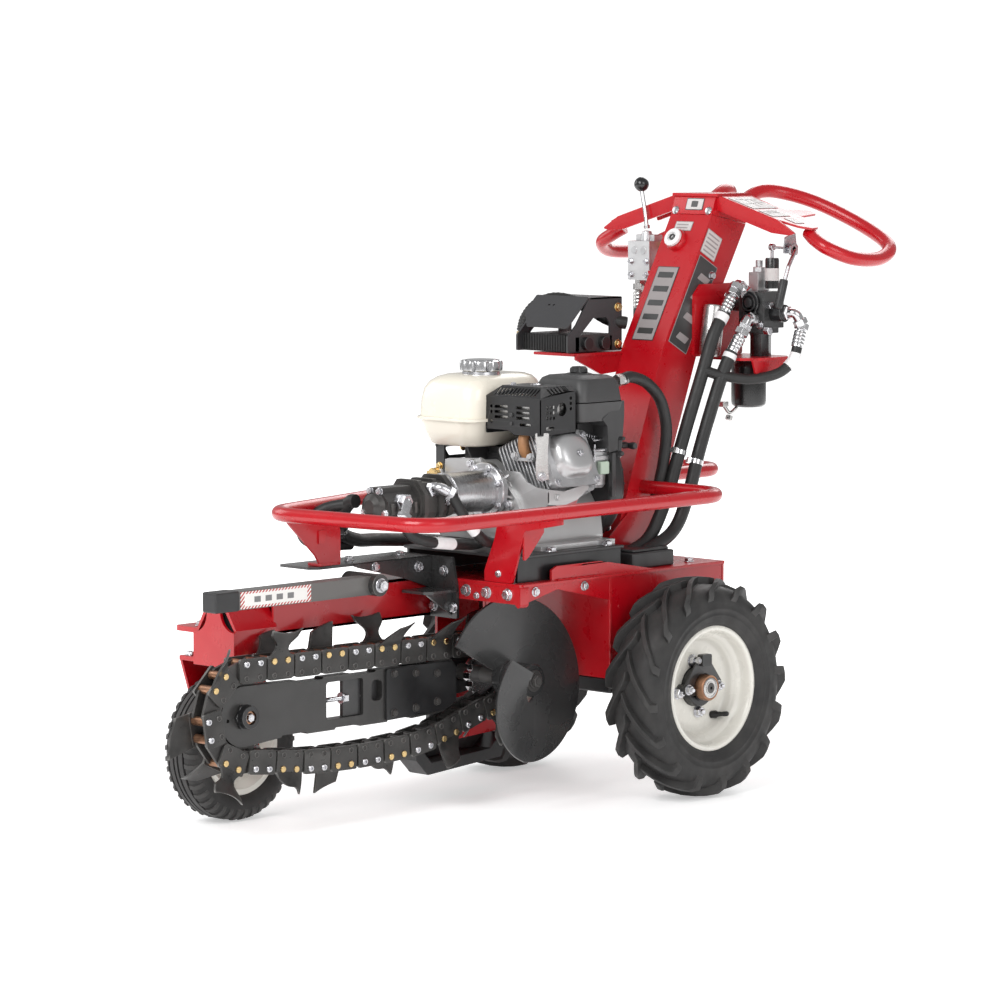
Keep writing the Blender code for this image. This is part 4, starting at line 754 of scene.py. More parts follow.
def fork():
    """The fork from the CAD with its axle nuts, top bolts and swivel collar."""
    c = FRONT
    keep_cad("front_fork", RED)
    ends = [nut_on_stud((c.x, c.y + h * 0.0523, c.z), (0, h, 0), 0.014, 0.006) for h in (1, -1)]
    ends += [bolt((c.x + dx, c.y + dy, 0.3003), (0, 0, 1), 0.008) for dx in (-0.02, 0.062)
             for dy in (-0.036, 0.036)]
    piece("front_fork_fasteners", ends, ZINC, "front_swivel", bevel=FINE)
    collar = pipe(0.0262, 0.0203, (c.x + 0.03, c.y, 0.341), 0.009, "Z", 48)
    piece("swivel_collar", collar, ZINC, "chassis")


# ---------------------------------------------------------------- boom, chain and auger
PITCH = 0.0325            # between two pins of the chain
HEAD_PIN_RADIUS = PITCH / (2.0 * math.sin(math.pi / 9))      # nine teeth
NOSE_PIN_RADIUS = 0.068
SIDE_PLATE_INNER, SIDE_PLATE_OUTER = 0.0165, 0.0215      # faces of the outer side plates
FIRST_PIN = 0.0373        # how far the first pin stands past the top of the nose, along the chain


def chain_pins():
    """The chain's pins as (x, z) points one pitch apart: round the nose, along the slack, round the head."""
    nose, head = (NOSE.x, NOSE.z), (HEAD.x, HEAD.z)
    path = [Vector(p) for p in arc(nose, NOSE_PIN_RADIUS, 91, -90, 40)]
    slack = smooth([(NOSE.x - 0.02, NOSE.z - NOSE_PIN_RADIUS, 0), (0.77, 0.139, 0), (0.62, 0.136, 0),
                    (0.48, 0.146, 0), (0.345, 0.184, 0)], 12)
    path += [p.xy for p in slack]
    path += [Vector(p) for p in arc(head, HEAD_PIN_RADIUS, 252, 89, 30)]
    path.append(path[0])
    lengths = [0.0]
    for a, b in zip(path, path[1:]):
        lengths.append(lengths[-1] + (b - a).length)
    count = 4 * round(lengths[-1] / PITCH / 4.0)
    pins, segment = [], 0
    for k in range(count):
        target = (lengths[-1] * k / count + FIRST_PIN) % lengths[-1]
        segment = 0 if target < lengths[segment] else segment
        while lengths[segment + 1] < target:
            segment += 1
        t = (target - lengths[segment]) / (lengths[segment + 1] - lengths[segment])
        pins.append(path[segment].lerp(path[segment + 1], t))
    return pins


def link_frame(a, b):
    """Matrix whose X runs along the link, Y across the chain and Z away from the boom."""
    middle = (a + b) / 2.0
    along = (b - a).normalized()
    out = Vector((-along.y, along.x))
    return Matrix(((along.x, 0, out.x, middle.x), (0, 1, 0, 0), (along.y, 0, out.y, middle.y),
                   (0, 0, 0, 1)))


def side_plate(length, inner, outer, low, high):
    """One plate of a link, with its outer corners cut rounder than the inner ones."""
    outline = rounded([(-length, inner), (length, inner), (length, outer), (-length, outer)],
                      [0.009, 0.009, 0.005, 0.005], 5)
    return sheet(outline, "XZ", low, high)


def loft(rows, offset):
    """A bent plate: rows of points, thickened by the offset."""
    width = len(rows[0])
    front = [Vector(p) for row in rows for p in row]
    count = len(front)
    points = front + [p + Vector(offset) for p in front]
    faces = []
    for i in range(len(rows) - 1):
        for j in range(width - 1):
            a, b, c, d = i * width + j, i * width + j + 1, (i + 1) * width + j + 1, (i + 1) * width + j
            faces += [(a, b, c, d), (d + count, c + count, b + count, a + count)]
    rim = list(range(width)) + [i * width + width - 1 for i in range(1, len(rows))]
    rim += [(len(rows) - 1) * width + j for j in range(width - 2, -1, -1)] + [i * width for i in
                                                                            range(len(rows) - 2, 0, -1)]
    for a, b in zip(rim, rim[1:] + rim[:1]):
        faces.append((a, b, b + count, a + count))
    return points, faces


def cutter_point(kind, t, s):
    """Height, left edge, right edge, offset from the link and extra height of a cutter.

    t is the share of its height and s, from -1 to 1, the place across it.
    """
    if kind == "cup":
        left = -0.029 + 0.013 * math.sin(math.pi * min(1, t * 1.5)) - 0.012 * max(0, t - 0.45)
        right = 0.029 - 0.016 * math.sin(math.pi * min(1, t * 1.3)) + 0.01 * max(0, t - 0.5)
        return 0.03 + 0.05 * t, left, right, 0.0165 + 0.02 * t ** 2.0, 0.006 * (abs(s) ** 2) * t - 0.004 * t
    if kind == "fin":
        left = -0.03 - 0.014 * t ** 1.3
        right = 0.03 - 0.04 * t ** 0.8
        return 0.028 + 0.034 * t, left, right, 0.0165 + 0.026 * t ** 1.6, 0.004 * t * (1 - s)
    if kind == "hook":
        left = -0.03 + 0.008 * t ** 2
        right = 0.03 - 0.006 * t ** 2
        curl = 0.014 * t * max(0.0, s) ** 3 - 0.01 * t * max(0.0, -s) ** 2
        return 0.03 + 0.026 * t, left, right, 0.0165 + 0.005 * t, curl
    if kind == "fan":
        ripple = 0.014 * t * s + 0.0015 * math.cos(s * 20.0) * t
        return 0.026 + 0.05 * t, -0.03, 0.03 + 0.008 * t, 0.0165 + 0.003 * t, ripple
    lean = -0.016 * t * (1 + s) / 2
    return 0.026 + 0.052 * t, -0.029 - 0.004 * t, 0.029 - 0.01 * t, 0.0165 + 0.003 * t, lean


def cutter(kind, side):
    """Tooth forged on a side plate: it rises off the link, necks in and flares into a cutting edge."""
    rows = []
    steps, columns = 10, 9
    for i in range(steps + 1):
        t = i / steps
        row = []
        for j in range(columns):
            s = -1 + 2 * j / (columns - 1)
            v, left, right, y, extra = cutter_point(kind, t, s)
            u = left + (right - left) * (s + 1) / 2
            row.append((u, side * (y + 0.004 * t * (1 - s * s)), v + extra))
        rows.append(row)
    return loft(rows, (0, side * 0.0055, 0))


RIVET = [(0, 0.0003), (0.0028, 0.0003), (0.0036, 0.0012), (0.005, 0.0012), (0.0056, 0.0)]
BRASS_HEAD = [(0, 0.0026), (0.0048, 0.0026), (0.0058, 0.0018), (0.006, 0.0)]
SOCKET_HEAD = [(0, 0.0008), (0.0027, 0.0008), (0.0029, 0.0034), (0.0048, 0.0034), (0.006, 0.002),
               (0.0062, 0.0)]


def digging_chain():
    """Plates, pins, bolts and cutters, link by link round the boom."""
    pins = chain_pins()
    count = len(pins)
    plates, inner, rivets, brass, sockets, bushes, cutters = [], [], [], [], [], [], []
    kinds = ["fin", "cup", "hook", "blade", "hook", "fin", "cup", "blade", "fin", "cup", "blade", "cup",
             "hook"]
    for k in range(0, count, 2):
        a, b, c = pins[k], pins[(k + 1) % count], pins[(k + 2) % count]
        frame_ab, frame_bc = link_frame(a, b), link_frame(b, c)
        j = k // 2
        toothed = j % 2 == 0
        for side in (1, -1):
            low, high = sorted((side * SIDE_PLATE_INNER, side * SIDE_PLATE_OUTER))
            plates.append(moved(side_plate(0.031, -0.0085, 0.035, low, high), frame_ab))
            low, high = sorted((side * 0.0095, side * 0.0155))
            inner.append(moved(side_plate(0.0255, -0.007, 0.032, low, high), frame_bc))
            for u in (-PITCH / 2, PITCH / 2):
                spots = ((RIVET, 0.0, rivets), (BRASS_HEAD if toothed else SOCKET_HEAD, 0.025,
                                                brass if toothed else sockets))
                for profile, v, pile in spots:
                    head = facing(lathe(profile, sides=20), (u, side * SIDE_PLATE_OUTER, v), (0, side, 0))
                    pile.append(moved(head, frame_ab))
        for u in (-PITCH / 2, PITCH / 2):
            bushes.append(moved(rod((u, 0, 0.025), 0.008, 0.0328, "Y", 28), frame_ab))
            inner.append(moved(rod((u, 0, 0.0), 0.0068, 0.0328, "Y", 24), frame_ab))
        if toothed:
            order = j // 2
            side = (1, 1, 1, 1, -1)[order % 5]
            kind = kinds[order % len(kinds)]
            if kind == "blade":
                side = -1
            cutters.append(moved(cutter(kind, side), frame_ab))
            if kind == "cup":
                cutters.append(moved(cutter("fin", -side), frame_ab))
        elif j == 1:
            cutters.append(moved(cutter("fan", -1), frame_ab))
    piece("chain_side_plates", plates, TOOTH_STEEL, "boom", ["digging_chain"], bevel=0.0007)
    piece("chain_inner_links", inner, STEEL_DARK, "boom", bevel=0.0004)
    piece("chain_rivets", rivets, STEEL_DARK, "boom")
    piece("chain_gold_bolts", brass, YELLOW_ZINC, "boom")
    piece("chain_socket_bolts", sockets, ZINC, "boom")
    piece("chain_bushes", bushes, COPPER, "boom")
    piece("chain_cutters", cutters, TOOTH_STEEL, "boom", bevel=0.001, sharp=50)


def notch(x, z, depth):
    """Shallow step in the bar's edge."""
    return [(x, z), (x + 0.003, z + depth), (x + 0.06, z + depth), (x + 0.063, z)]


def boom_bar():
    """Flat bar with a round nose and a window, its root cheeks and the root plate on the headshaft."""
    radius, top, bottom = 0.0538, 0.275, 0.1745
    upper = [p for x in (0.47, 0.6, 0.73) for p in notch(x, top - 0.003, -0.0035)]
    lower = [p for x in (0.77, 0.64, 0.51) for p in reversed(notch(x, bottom, 0.0035))]
    outline = [(0.395, 0.258), (0.408, 0.274), *upper, (NOSE.x - 0.03, top - 0.001),
               *arc((NOSE.x, NOSE.z), radius, 84, -96, 40), *lower, (0.43, 0.178), (0.395, 0.196)]
    window = rounded([(0.632, 0.194), (0.723, 0.194), (0.723, 0.261), (0.632, 0.261)], 0.006, 4)
    pocket = rounded([(0.584, 0.216), (0.612, 0.216), (0.612, 0.254), (0.584, 0.254)], 0.012, 6)
    eye = arc((NOSE.x + 0.038, NOSE.z - 0.004), 0.0034, 0, 345, 15)
    piece("boom_plate", sheet(outline, "XZ", -0.011, 0.011, [window, pocket, eye]), BAR_STEEL, "boom",
          ["boom_bar"], bevel=0.0012)
    cheek = rounded([(0.4, 0.258), (0.412, 0.271), (0.578, 0.271), (0.578, 0.178), (0.43, 0.182),
                     (0.4, 0.198)], 0.004, 3)
    root = [(0.5, 0.262), (0.5, 0.18), *arc((HEAD.x, HEAD.z), 0.04, 270, 90, 36)]
    bore = arc((HEAD.x, HEAD.z), 0.0168, 0, 352, 44)
    # The last box, black and set back in the bar's pocket, is painted shadow: it darkens the hole where the
    # parts behind it lie in shade.
    parts = [sheet(cheek, "XZ", 0.0112, 0.0162), sheet(cheek, "XZ", -0.0162, -0.0112),
             sheet(root, "XZ", -0.0575, -0.0515, [bore]), box((0.44, -0.0515, 0.195),
             (0.495, -0.0162, 0.255)), box((0.633, -0.004, 0.1945), (0.676, 0.004, 0.2605)),
             box((0.585, -0.006, 0.214), (0.613, -0.003, 0.256))]
    piece("boom_root_cheeks", parts, BLACK, "boom", bevel=0.0008)
    heads = [bolt((x, 0.0162, z), (0, 1, 0), 0.007) for x,
             z in ((0.56, 0.262), (0.45, 0.252), (0.45, 0.2), (0.56, 0.19), (0.505, 0.258), (0.505, 0.194))]
    piece("boom_root_bolts", heads, STEEL_DARK, "boom", bevel=FINE)


def boom_nose():
    """Boss, bolt and sprocket at the nose."""
    edge = [pipe(0.0205, 0.012, (NOSE.x, 0.0205, NOSE.z), 0.019, "Y", 48),
            rod((NOSE.x, 0.014, NOSE.z), 0.0235, 0.0058, "Y", 6, 0.001),
            pipe(0.0205, 0.012, (NOSE.x, -0.0175, NOSE.z), 0.013, "Y", 48)]
    piece("nose_boss", edge, BLACK, "boom", bevel=0.0006)
    piece("nose_boss_ring", pipe(0.0119, 0.0085, (NOSE.x, 0.02, NOSE.z), 0.012, "Y", 40), COPPER, "boom")
    piece("nose_axle_bolt", [bolt((NOSE.x, 0.0255, NOSE.z), (0, 1, 0), 0.0085, False, 0.3),
                             rod((NOSE.x, 0.0, NOSE.z), 0.008, 0.05, "Y", 32)], ZINC, "boom", bevel=FINE)
    teeth = []
    for k in range(13):
        start = 2 * math.pi * k / 13
        for turn, r in ((-0.15, 0.0595), (-0.07, 0.0655), (0.07, 0.0655), (0.15, 0.0595)):
            teeth.append((NOSE.x + r * math.cos(start + turn), NOSE.z + r * math.sin(start + turn)))
    hole = arc((NOSE.x, NOSE.z), 0.0085, 0, 350, 35)
    piece("nose_sprocket_ring", sheet(teeth, "XZ", -0.0055, 0.0055, [hole]), STEEL_DARK, "nose_sprocket",
          ["nose_idler"], bevel=0.0006)


def chain_tension():
    """Threaded rod with its nut and washer in the bar's window."""
    screw = [(0.004, 0.6325)]
    turns = 40
    for k in range(turns):
        x = 0.666 + 0.0565 * k / turns
        screw += [(0.0036, x), (0.0044, x + 0.0565 / turns / 2)]
    screw = [(0, 0.6325), *screw, (0.0036, 0.7225), (0, 0.7225)]
    thread = lathe(screw, (0, 0, 0.2275), "X", 20)
    nut = facing(hex_prism(0.0105, 0.0, 0.01, 0.0036), (0.666, 0, 0.2275), (1, 0, 0))
    washer = pipe(0.0105, 0.004, (0.6775, 0, 0.2275), 0.0018, "X", 32)
    piece("chain_tension_screw", [thread, nut, washer], ZINC, "boom", ["tension_screw"])


def headshaft():
    """Drive shaft and the sprocket on it."""
    shaft = rod((HEAD.x, -0.003, HEAD.z), 0.0158, 0.118, "Y", 48)
    piece("headshaft_turned", shaft, STEEL_DARK, "headshaft_group", ["headshaft"])
    ring = []
    for k in range(9):
        start = math.radians(360.0 * k / 9)
        for offset, r in ((-12, 0.0375), (-8, 0.0395), (8, 0.0395), (12, 0.0375), (20, 0.0325)):
            angle = start + math.radians(offset)
            ring.append((HEAD.x + r * math.cos(angle), HEAD.z + r * math.sin(angle)))
    bore = arc((HEAD.x, HEAD.z), 0.0162, 0, 352, 44)
    piece("drive_sprocket_teeth", sheet(ring, "XZ", -0.0085, 0.0085, [bore]), CHROME, "headshaft_group",
          ["drive_sprocket"], bevel=0.0012)


def auger():
    """Spoil auger: a helical flight on a short tube, running out past the tube's end."""
    steps, thick = 150, 0.0058
    start_y, end_y, tube_end = 0.046, 0.172, 0.134
    radius, tube_r = 0.15, 0.03
    points, faces = [], []
    for i in range(steps + 1):
        t = i / steps
        y = start_y + 0.008 + (end_y - start_y - 0.008 - thick) * t
        angle = math.radians(28) + 2 * math.pi * t
        outer = radius * (0.95 + 0.05 * min(1.0, t / 0.12)) * (1.0 - 0.28 * max(0.0, (t - 0.7) / 0.3))
        inner = tube_r - 0.002
        if y >= tube_end - 0.004:
            inner = tube_r + 0.015 * min(1.0, (y - tube_end + 0.004) / 0.012)
        for r, side in ((inner, 0.0), (outer - 0.001, 0.0), (outer, 0.001), (outer, thick - 0.001),
                        (outer - 0.001, thick), (inner, thick)):
            points.append(Vector((HEAD.x + r * math.cos(angle), y + side, HEAD.z + r * math.sin(angle))))
    for i in range(steps):
        for j in range(6):
            a, b = 6 * i + j, 6 * i + (j + 1) % 6
            faces.append((a, b, b + 6, a + 6))
    faces += [tuple(range(6)), tuple(6 * steps + j for j in reversed(range(6)))]
    middle = (HEAD.x, (0.0563 + tube_end) / 2, HEAD.z)
    core = rod(middle, tube_r, tube_end - 0.0563, "Y", 56, 0.0012)
    collar = pipe(0.032, 0.03, (HEAD.x, 0.0665, HEAD.z), 0.02, "Y", 56)
    cap = rod((HEAD.x, tube_end + 0.001, HEAD.z), 0.02, 0.004, "Y", 40)
    piece("auger_flight", [(points, faces), core, collar], GLOSS_BLACK, "headshaft_group", ["spoil_auger"],
          sharp=40)
    piece("auger_end_bolt", [cap, bolt((HEAD.x, tube_end + 0.003, HEAD.z), (0, 1, 0), 0.012)], STEEL_DARK,
          "headshaft_group", bevel=FINE)


def hatched_label(name, centre, half, border):
    """Pale label with a red hatched border, drawn from the surface's own X and Z."""
    finish = Finish(name, (0.8, 0.79, 0.76), 0.35)
    split = finish.nodes.new("ShaderNodeSeparateXYZ")
    finish.links.new(finish.coords, split.inputs[0])

    def calc(operation, *values):
        node = finish.nodes.new("ShaderNodeMath")
        node.operation = operation
        for socket, value in zip(node.inputs, values):
            if isinstance(value, (int, float)):
                socket.default_value = value
            else:
                finish.links.new(value, socket)
        return node.outputs[0]

    along = calc("ABSOLUTE", calc("SUBTRACT", split.outputs["X"], centre[0] + ORIGIN.x))
    up = calc("ABSOLUTE", calc("SUBTRACT", split.outputs["Z"], centre[1]))
    edge = calc("MAXIMUM", calc("GREATER_THAN", along, half[0] - 2.2 * border),
                calc("GREATER_THAN", up, half[1] - border))
    stripe = calc("GREATER_THAN", calc("FRACT", calc("MULTIPLY", calc("ADD", split.outputs["X"],
                                                                      split.outputs["Z"]), 130.0)), 0.5)
    bars = calc("GREATER_THAN", calc("FRACT", calc("MULTIPLY", split.outputs["X"], 38.0)), 0.42)
    core = calc("MULTIPLY", calc("LESS_THAN", along, half[0] * 0.62), calc("LESS_THAN", up, half[1] * 0.34))
    finish.blend(calc("MULTIPLY", core, bars), (0.16, 0.16, 0.16))
    finish.blend(calc("MULTIPLY", edge, stripe), (0.45, 0.02, 0.02))
    return finish.patchy(40, 0.05).coat(0.3, 0.1).done()


def restraint_bar():
    """Square bar over the chain with its end cap, label and pivot tube."""
    high = from_axle("restraint_bar")[1]
    z0, z1 = 0.409, 0.443
    bar = [box((0.615, -0.0165, z0 + 0.0005), (high.x - 0.05, 0.0165, z1 - 0.0005)),
           rod((0.604, -0.014, 0.4265), 0.02, 0.085, "Y", 48)]
    piece("restraint_square_tube", bar, BAR_STEEL, "restraint_arm", ["restraint_bar"], bevel=0.0025,
          segments=3)
    cap = box((high.x - 0.057, -0.018, z0 - 0.001), (high.x, 0.018, z1 + 0.001))
    piece("restraint_end_cap", cap, PLASTIC, "restraint_arm", bevel=0.0035, segments=3)
    label = box((0.765, 0.0165, z0 + 0.002), (0.933, 0.0171, z1 - 0.002))
    art = hatched_label("hatched_label", (0.849, (z0 + z1) / 2), (0.084, 0.015), 0.0042)
    piece("restraint_label", label, art, "restraint_arm")
    ends = [bolt((0.604, 0.0285, 0.4265), (0, 1, 0), 0.012),
            bolt((0.604, -0.0565, 0.4265), (0, -1, 0), 0.012)]
    piece("restraint_pivot_bolts", ends, ZINC, "restraint_arm", bevel=FINE)


# ---------------------------------------------------------------- chassis, rail, brackets, ring and posts
RING_HEIGHT = 0.56        # middle of the guard ring's tube
DECK_EDGE = 0.165         # half the deck's width


def chassis():
    """Details on the folded deck and sides that the CAD body leaves plain."""
    keep_cad("chassis_body", RED, 0.0022)
    keep_cad("front_cross_bar", BLACK, 0.002)
    keep_cad("engine_bed", BLACK, 0.0015)
    keep_cad("shoe_bracket", RED, 0.001)
    keep_cad("wheel_drive_unit", STEEL_DARK, 0.0012)
    keep_cad("digging_motor", GLOSS_BLACK, 0.0012)
    ledge = rounded([(-0.168, 0.415), (0.38, 0.415), (0.38, 0.419), (-0.168, 0.419)], 0.0015, 2)
    hump = rounded([(-0.06, 0.415), (0.02, 0.42), (0.15, 0.443), (0.168, 0.446), (0.286, 0.446),
                    (0.3, 0.44), (0.3, 0.415)], 0.004)
    parts = [sheet(ledge, "XZ", DECK_EDGE - 0.001, DECK_EDGE + 0.003),
             sheet(ledge, "XZ", -DECK_EDGE - 0.003, -DECK_EDGE + 0.001), sheet(hump, "XZ", 0.1572, 0.1622)]
    corner = rounded([(0.15, 0.415), (0.166, 0.415), (0.166, 0.382), (0.16, 0.376), (0.153, 0.382)], 0.003)
    parts.append(sheet(corner, "YZ", 0.365, 0.3868))
    piece("deck_edges", parts, RED, "chassis", bevel=0.0012)
    band = [bolt((0.387, y, 0.4), (1, 0, 0), 0.01) for y in (0.135, 0.082, 0.03)]
    band.append(bolt((0.387, 0.056, 0.392), (1, 0, 0), 0.006))
    band += [bolt((x, DECK_EDGE - 0.002, 0.404), (0, 1, 0), 0.008) for x in (0.345, 0.215)]
    band += [bolt((x, 0.13, DECK), (0, 0, 1), 0.009) for x in (-0.055, -0.112)]
    band += [bolt((x, y, 0.4697), (0, 0, 1), 0.01) for x in (0.12, 0.272) for y in (-0.125, 0.134)]
    piece("chassis_bolts", band, ZINC, "chassis", bevel=0.0004)
    weld = [rod((0.12, 0.1632, 0.3), 0.0055, 0.0016, "Y", 20),
            rod((0.12, 0.1632, 0.358), 0.0035, 0.0014, "Y", 20)]
    seam = smooth([(0.1445 + 0.0006 * ((-1) ** k), 0.1634, 0.235 + 0.01 * k) for k in range(14)], 3)
    weld.append(tube(seam, 0.0018, 10))
    foot = smooth([(0.168 + 0.008 * k, 0.1655, 0.4205 + 0.0005 * ((-1) ** k)) for k in range(16)], 2)
    weld.append(tube(foot, 0.0016, 8))
    piece("weld_beads", weld, RED, "chassis")
    box_low = [box((-0.052, 0.06, DECK + 0.0004), (0.064, 0.146, DECK + 0.03)),
               box((-0.044, 0.066, DECK + 0.03), (0.056, 0.14, DECK + 0.036))]
    piece("deck_tray", box_low, PLASTIC, "chassis", bevel=0.003)
    motor = [rod((0.311, -0.152, HEAD.z), 0.034, 0.018, "Y", 40),
             facing(hex_prism(0.013, 0, 0.012), (0.296, -0.14, 0.28), (-0.3, 0, 1)),
             facing(hex_prism(0.013, 0, 0.012), (0.33, -0.14, 0.28), (0.3, 0, 1))]
    piece("motor_fittings", motor, ZINC, "chassis", bevel=0.0006)


def rail_and_nose():
    """Box rail beside the boom, the nose housing with its shaped face, and the swivel's bracket."""
    left, right = -0.06, -0.15
    low, top = 0.347, DECK
    wall = 0.005
    parts = [box((0.3885, left - wall, low), (0.784, left, top)),
             box((0.3885, right, low), (0.784, right + wall, top)),
             box((0.3885, right, top - wall), (0.784, left, top)),
             box((0.3885, right, low), (0.784, left, low + wall))]
    section = [(left + 0.005, 0.318), (left + 0.005, 0.361), (left - 0.019, 0.398), (right + 0.014, 0.398),
               (right - 0.012, 0.352), (right - 0.012, 0.318)]
    inner = [(left, 0.323), (left, 0.358), (left - 0.024, 0.393), (right + 0.019, 0.393),
             (right - 0.007, 0.35), (right - 0.007, 0.323)]
    parts.append(sheet(section, "YZ", 0.78, 0.8782, [inner]))
    notch = 0.036
    right_edge, left_edge = right - 0.012, left + 0.005
    face = [(left_edge, 0.294), *arc((left_edge, 0.394), notch, 270, 185, 12), (left_edge - notch, 0.402),
            (right_edge + notch, 0.402), *arc((right_edge, 0.388), notch, -5, -90, 12), (right_edge, 0.294)]
    parts.append(sheet(face, "YZ", 0.8782, 0.884))
    bracket = rounded([(0.746, -0.23), (0.868, -0.23), (0.868, -0.15), (0.746, -0.15)], 0.01)
    parts.append(sheet(bracket, "XY", 0.3473, 0.3568))
    parts.append(sheet(rounded([(0.75, 0.3568), (0.866, 0.3568), (0.85, 0.385), (0.77, 0.385)], 0.004),
                       "XZ", -0.168, -0.163))
    piece("rail_and_nose_shell", parts, RED, "chassis", ["front_rail"], bevel=0.0014)
    # Black sheet inside the nose housing is painted shadow: it makes the hollow seen through the face's
    # concave notches look dark.
    dark = [sheet([(left - 0.002, 0.324), (left - 0.002, 0.357), (left - 0.026, 0.391),
                   (right + 0.02, 0.391), (right - 0.006, 0.349), (right - 0.006, 0.324)], "YZ", 0.864,
                  0.868)]
    piece("nose_painted_shadow_wall", dark, BLACK, "chassis", bevel=0.0006)
    piece("nose_bolts", [bolt((0.8, -0.188, 0.3568), (0, 0, 1), 0.01),
                         bolt((0.842, -0.188, 0.3568), (0, 0, 1), 0.01)], ZINC, "chassis", bevel=0.0004)


def boom_bracket():
    """Black folded tray above the boom's root, with its flange, gusset and bolts."""
    front = 0.3885
    parts = [sheet(rounded([(front, -0.057), (0.676, -0.057), (0.69, -0.07), (0.69, -0.146),
                            (front, -0.146)], 0.004), "XY", 0.4535, 0.4583),
             sheet(rounded([(front, 0.456), (0.6, 0.456), (0.575, 0.448), (0.47, 0.423), (front, 0.396)],
                           0.003), "XZ", -0.057, -0.052), sheet(rounded([(front, -0.056), (0.47, -0.056),
             (0.47, 0.002), (0.455, 0.012), (front, 0.012)], 0.004), "XY", 0.3955, 0.4005),
             sheet(rounded([(-0.057, 0.346), (0.012, 0.346), (0.012, 0.4), (0.0, 0.4585), (-0.057, 0.4585)],
                           0.003), "YZ", front, front + 0.006),
             sheet(rounded([(front, 0.396), (0.462, 0.396), (front, 0.348)], 0.003), "XZ", -0.006, -0.001)]
    piece("tray_bracket", parts, GLOSS_BLACK, "chassis", ["boom_mount_bracket"], bevel=0.001)
    heads = [bolt((front + 0.006, y, z), (1, 0, 0), 0.009) for y,
             z in ((0.004, 0.366), (-0.046, 0.366), (-0.02, 0.432))]
    heads += [bolt((0.43, -0.052, 0.44), (0, 1, 0), 0.009), bolt((0.54, -0.052, 0.448), (0, 1, 0), 0.008)]
    heads += [bolt((x, -0.1, 0.4583), (0, 0, 1), 0.009) for x in (0.43, 0.56)]
    piece("tray_bolts", heads, ZINC, "chassis", bevel=0.0004)


def shoe():
    """Bent deflector plate under the rear of the chain, with one closed side."""
    outline = rounded([(0.2, 0.062), (0.395, 0.048), (0.425, 0.078), (0.425, 0.098), (0.412, 0.098),
                       (0.385, 0.07), (0.23, 0.08), (0.2, 0.106), (0.18, 0.106)], 0.005)
    piece("shoe_plate", [sheet(outline, "XZ", -0.11, -0.063),
                         sheet([(0.195, 0.064), (0.4, 0.052), (0.42, 0.095), (0.185, 0.104)], "XZ", -0.11,
                               -0.106)], BLACK, "chassis", ["digging_shoe"], bevel=0.0014)


def guard_ring():
    """Tube ring round the engine."""
    height = RING_HEIGHT
    path = bent([(-0.07, 0.0525, height), (-0.07, 0.268, height), (0.74, 0.284, height),
                 (0.774, -0.085, height), (0.32, -0.211, height), (-0.47, -0.225, height),
                 (-0.47, -0.1, height), (-0.08, -0.0825, height), (-0.08, -0.0525, height)], 0.078, 12)
    piece("guard_ring_tube", tube(path, FRAME_TUBE, 28), RED, "chassis", ["guard_ring"], sharp=60)


def ring_posts():
    """Bent plate post in front and folded post on the left, with their bolts."""
    outline = rounded([(0.62, 0.459), (0.668, 0.459), (0.682, 0.48), (0.7525, 0.5462), (0.628, 0.5462),
                       (0.62, 0.52)], 0.004)
    foot = rounded([(0.62, -0.092), (0.672, -0.092), (0.672, -0.058), (0.62, -0.058)], 0.004)
    piece("front_post_plate", [sheet(outline, "XZ", -0.064, -0.059), sheet(foot, "XY", 0.459, 0.464),
                               box((0.66, -0.059, 0.5), (0.676, -0.056, 0.524))], RED, "chassis",
          ["front_ring_post"], bevel=0.001)
    post = rounded([(0.074, 0.4205), (0.144, 0.4205), (0.15, 0.44), (0.176, 0.518), (0.268, 0.536),
                    (0.268, 0.5462), (0.112, 0.5462), (0.1, 0.5), (0.074, 0.44)], 0.003)
    flange = rounded([(0.384, 0.462), (0.384, 0.542), (0.332, 0.542), (0.332, 0.512), (0.372, 0.47)], 0.004)
    fold = panel(flange, (0.0, 0.0, 0.0), (1, 0, 0), (0, 0, 1), 0.004)
    piece("side_post_plate", [sheet(post, "YZ", 0.3812, 0.3858), shift(fold, (0.0, 0.169, 0.0))], RED,
          "chassis", ["side_ring_post"], bevel=0.001)
    piece("post_bolts", [bolt((0.65, -0.076, 0.464), (0, 0, 1), 0.008),
                         bolt((0.3858, 0.11, 0.436), (1, 0, 0), 0.006)], ZINC, "chassis", bevel=0.0004)


def pump_hoses():
    """The hose round the front post and the two hoses under the pump."""
    loop = smooth([(0.592, -0.07, 0.566), (0.622, -0.1, 0.556), (0.65, -0.122, 0.53), (0.64, -0.132, 0.502),
                   (0.59, -0.136, 0.486), (0.52, -0.138, 0.482)], 8)
    piece("front_loop_hose", tube(loop, 0.0105, 24), HOSE, "chassis", sharp=60)
    hose("pump_hose_low", [(0.585, 0.068, 0.541), (0.572, 0.072, 0.518), (0.53, 0.072, 0.503),
                           (0.47, 0.066, 0.494), (0.42, 0.054, 0.488), (0.372, 0.04, 0.484),
                           (0.33, 0.02, 0.486)], 0.0098, ((0.4, 0.56),))
    hose("pump_hose_high", [(0.462, 0.068, 0.58), (0.448, 0.076, 0.552), (0.432, 0.082, 0.526),
                            (0.412, 0.086, 0.506), (0.39, 0.086, 0.493), (0.35, 0.08, 0.486),
                            (0.31, 0.11, 0.484)], 0.0098, ((0.28, 0.48),))


# ---------------------------------------------------------------- engine
def panel(outline, corner, across, up, thickness, holes=()):
    """A flat plate drawn in its own plane; across and up are that plane's two directions."""
    across, up = Vector(across).normalized(), Vector(up).normalized()
    turn = Matrix((across, up, across.cross(up))).transposed().to_4x4()
    return moved(sheet(outline, "XY", -thickness, 0.0, holes), Matrix.Translation(corner) @ turn)


def frame_of(low, high):
    """Flat rectangle between two corners."""
    return [(low[0], low[1]), (high[0], low[1]), (high[0], high[1]), (low[0], high[1])]


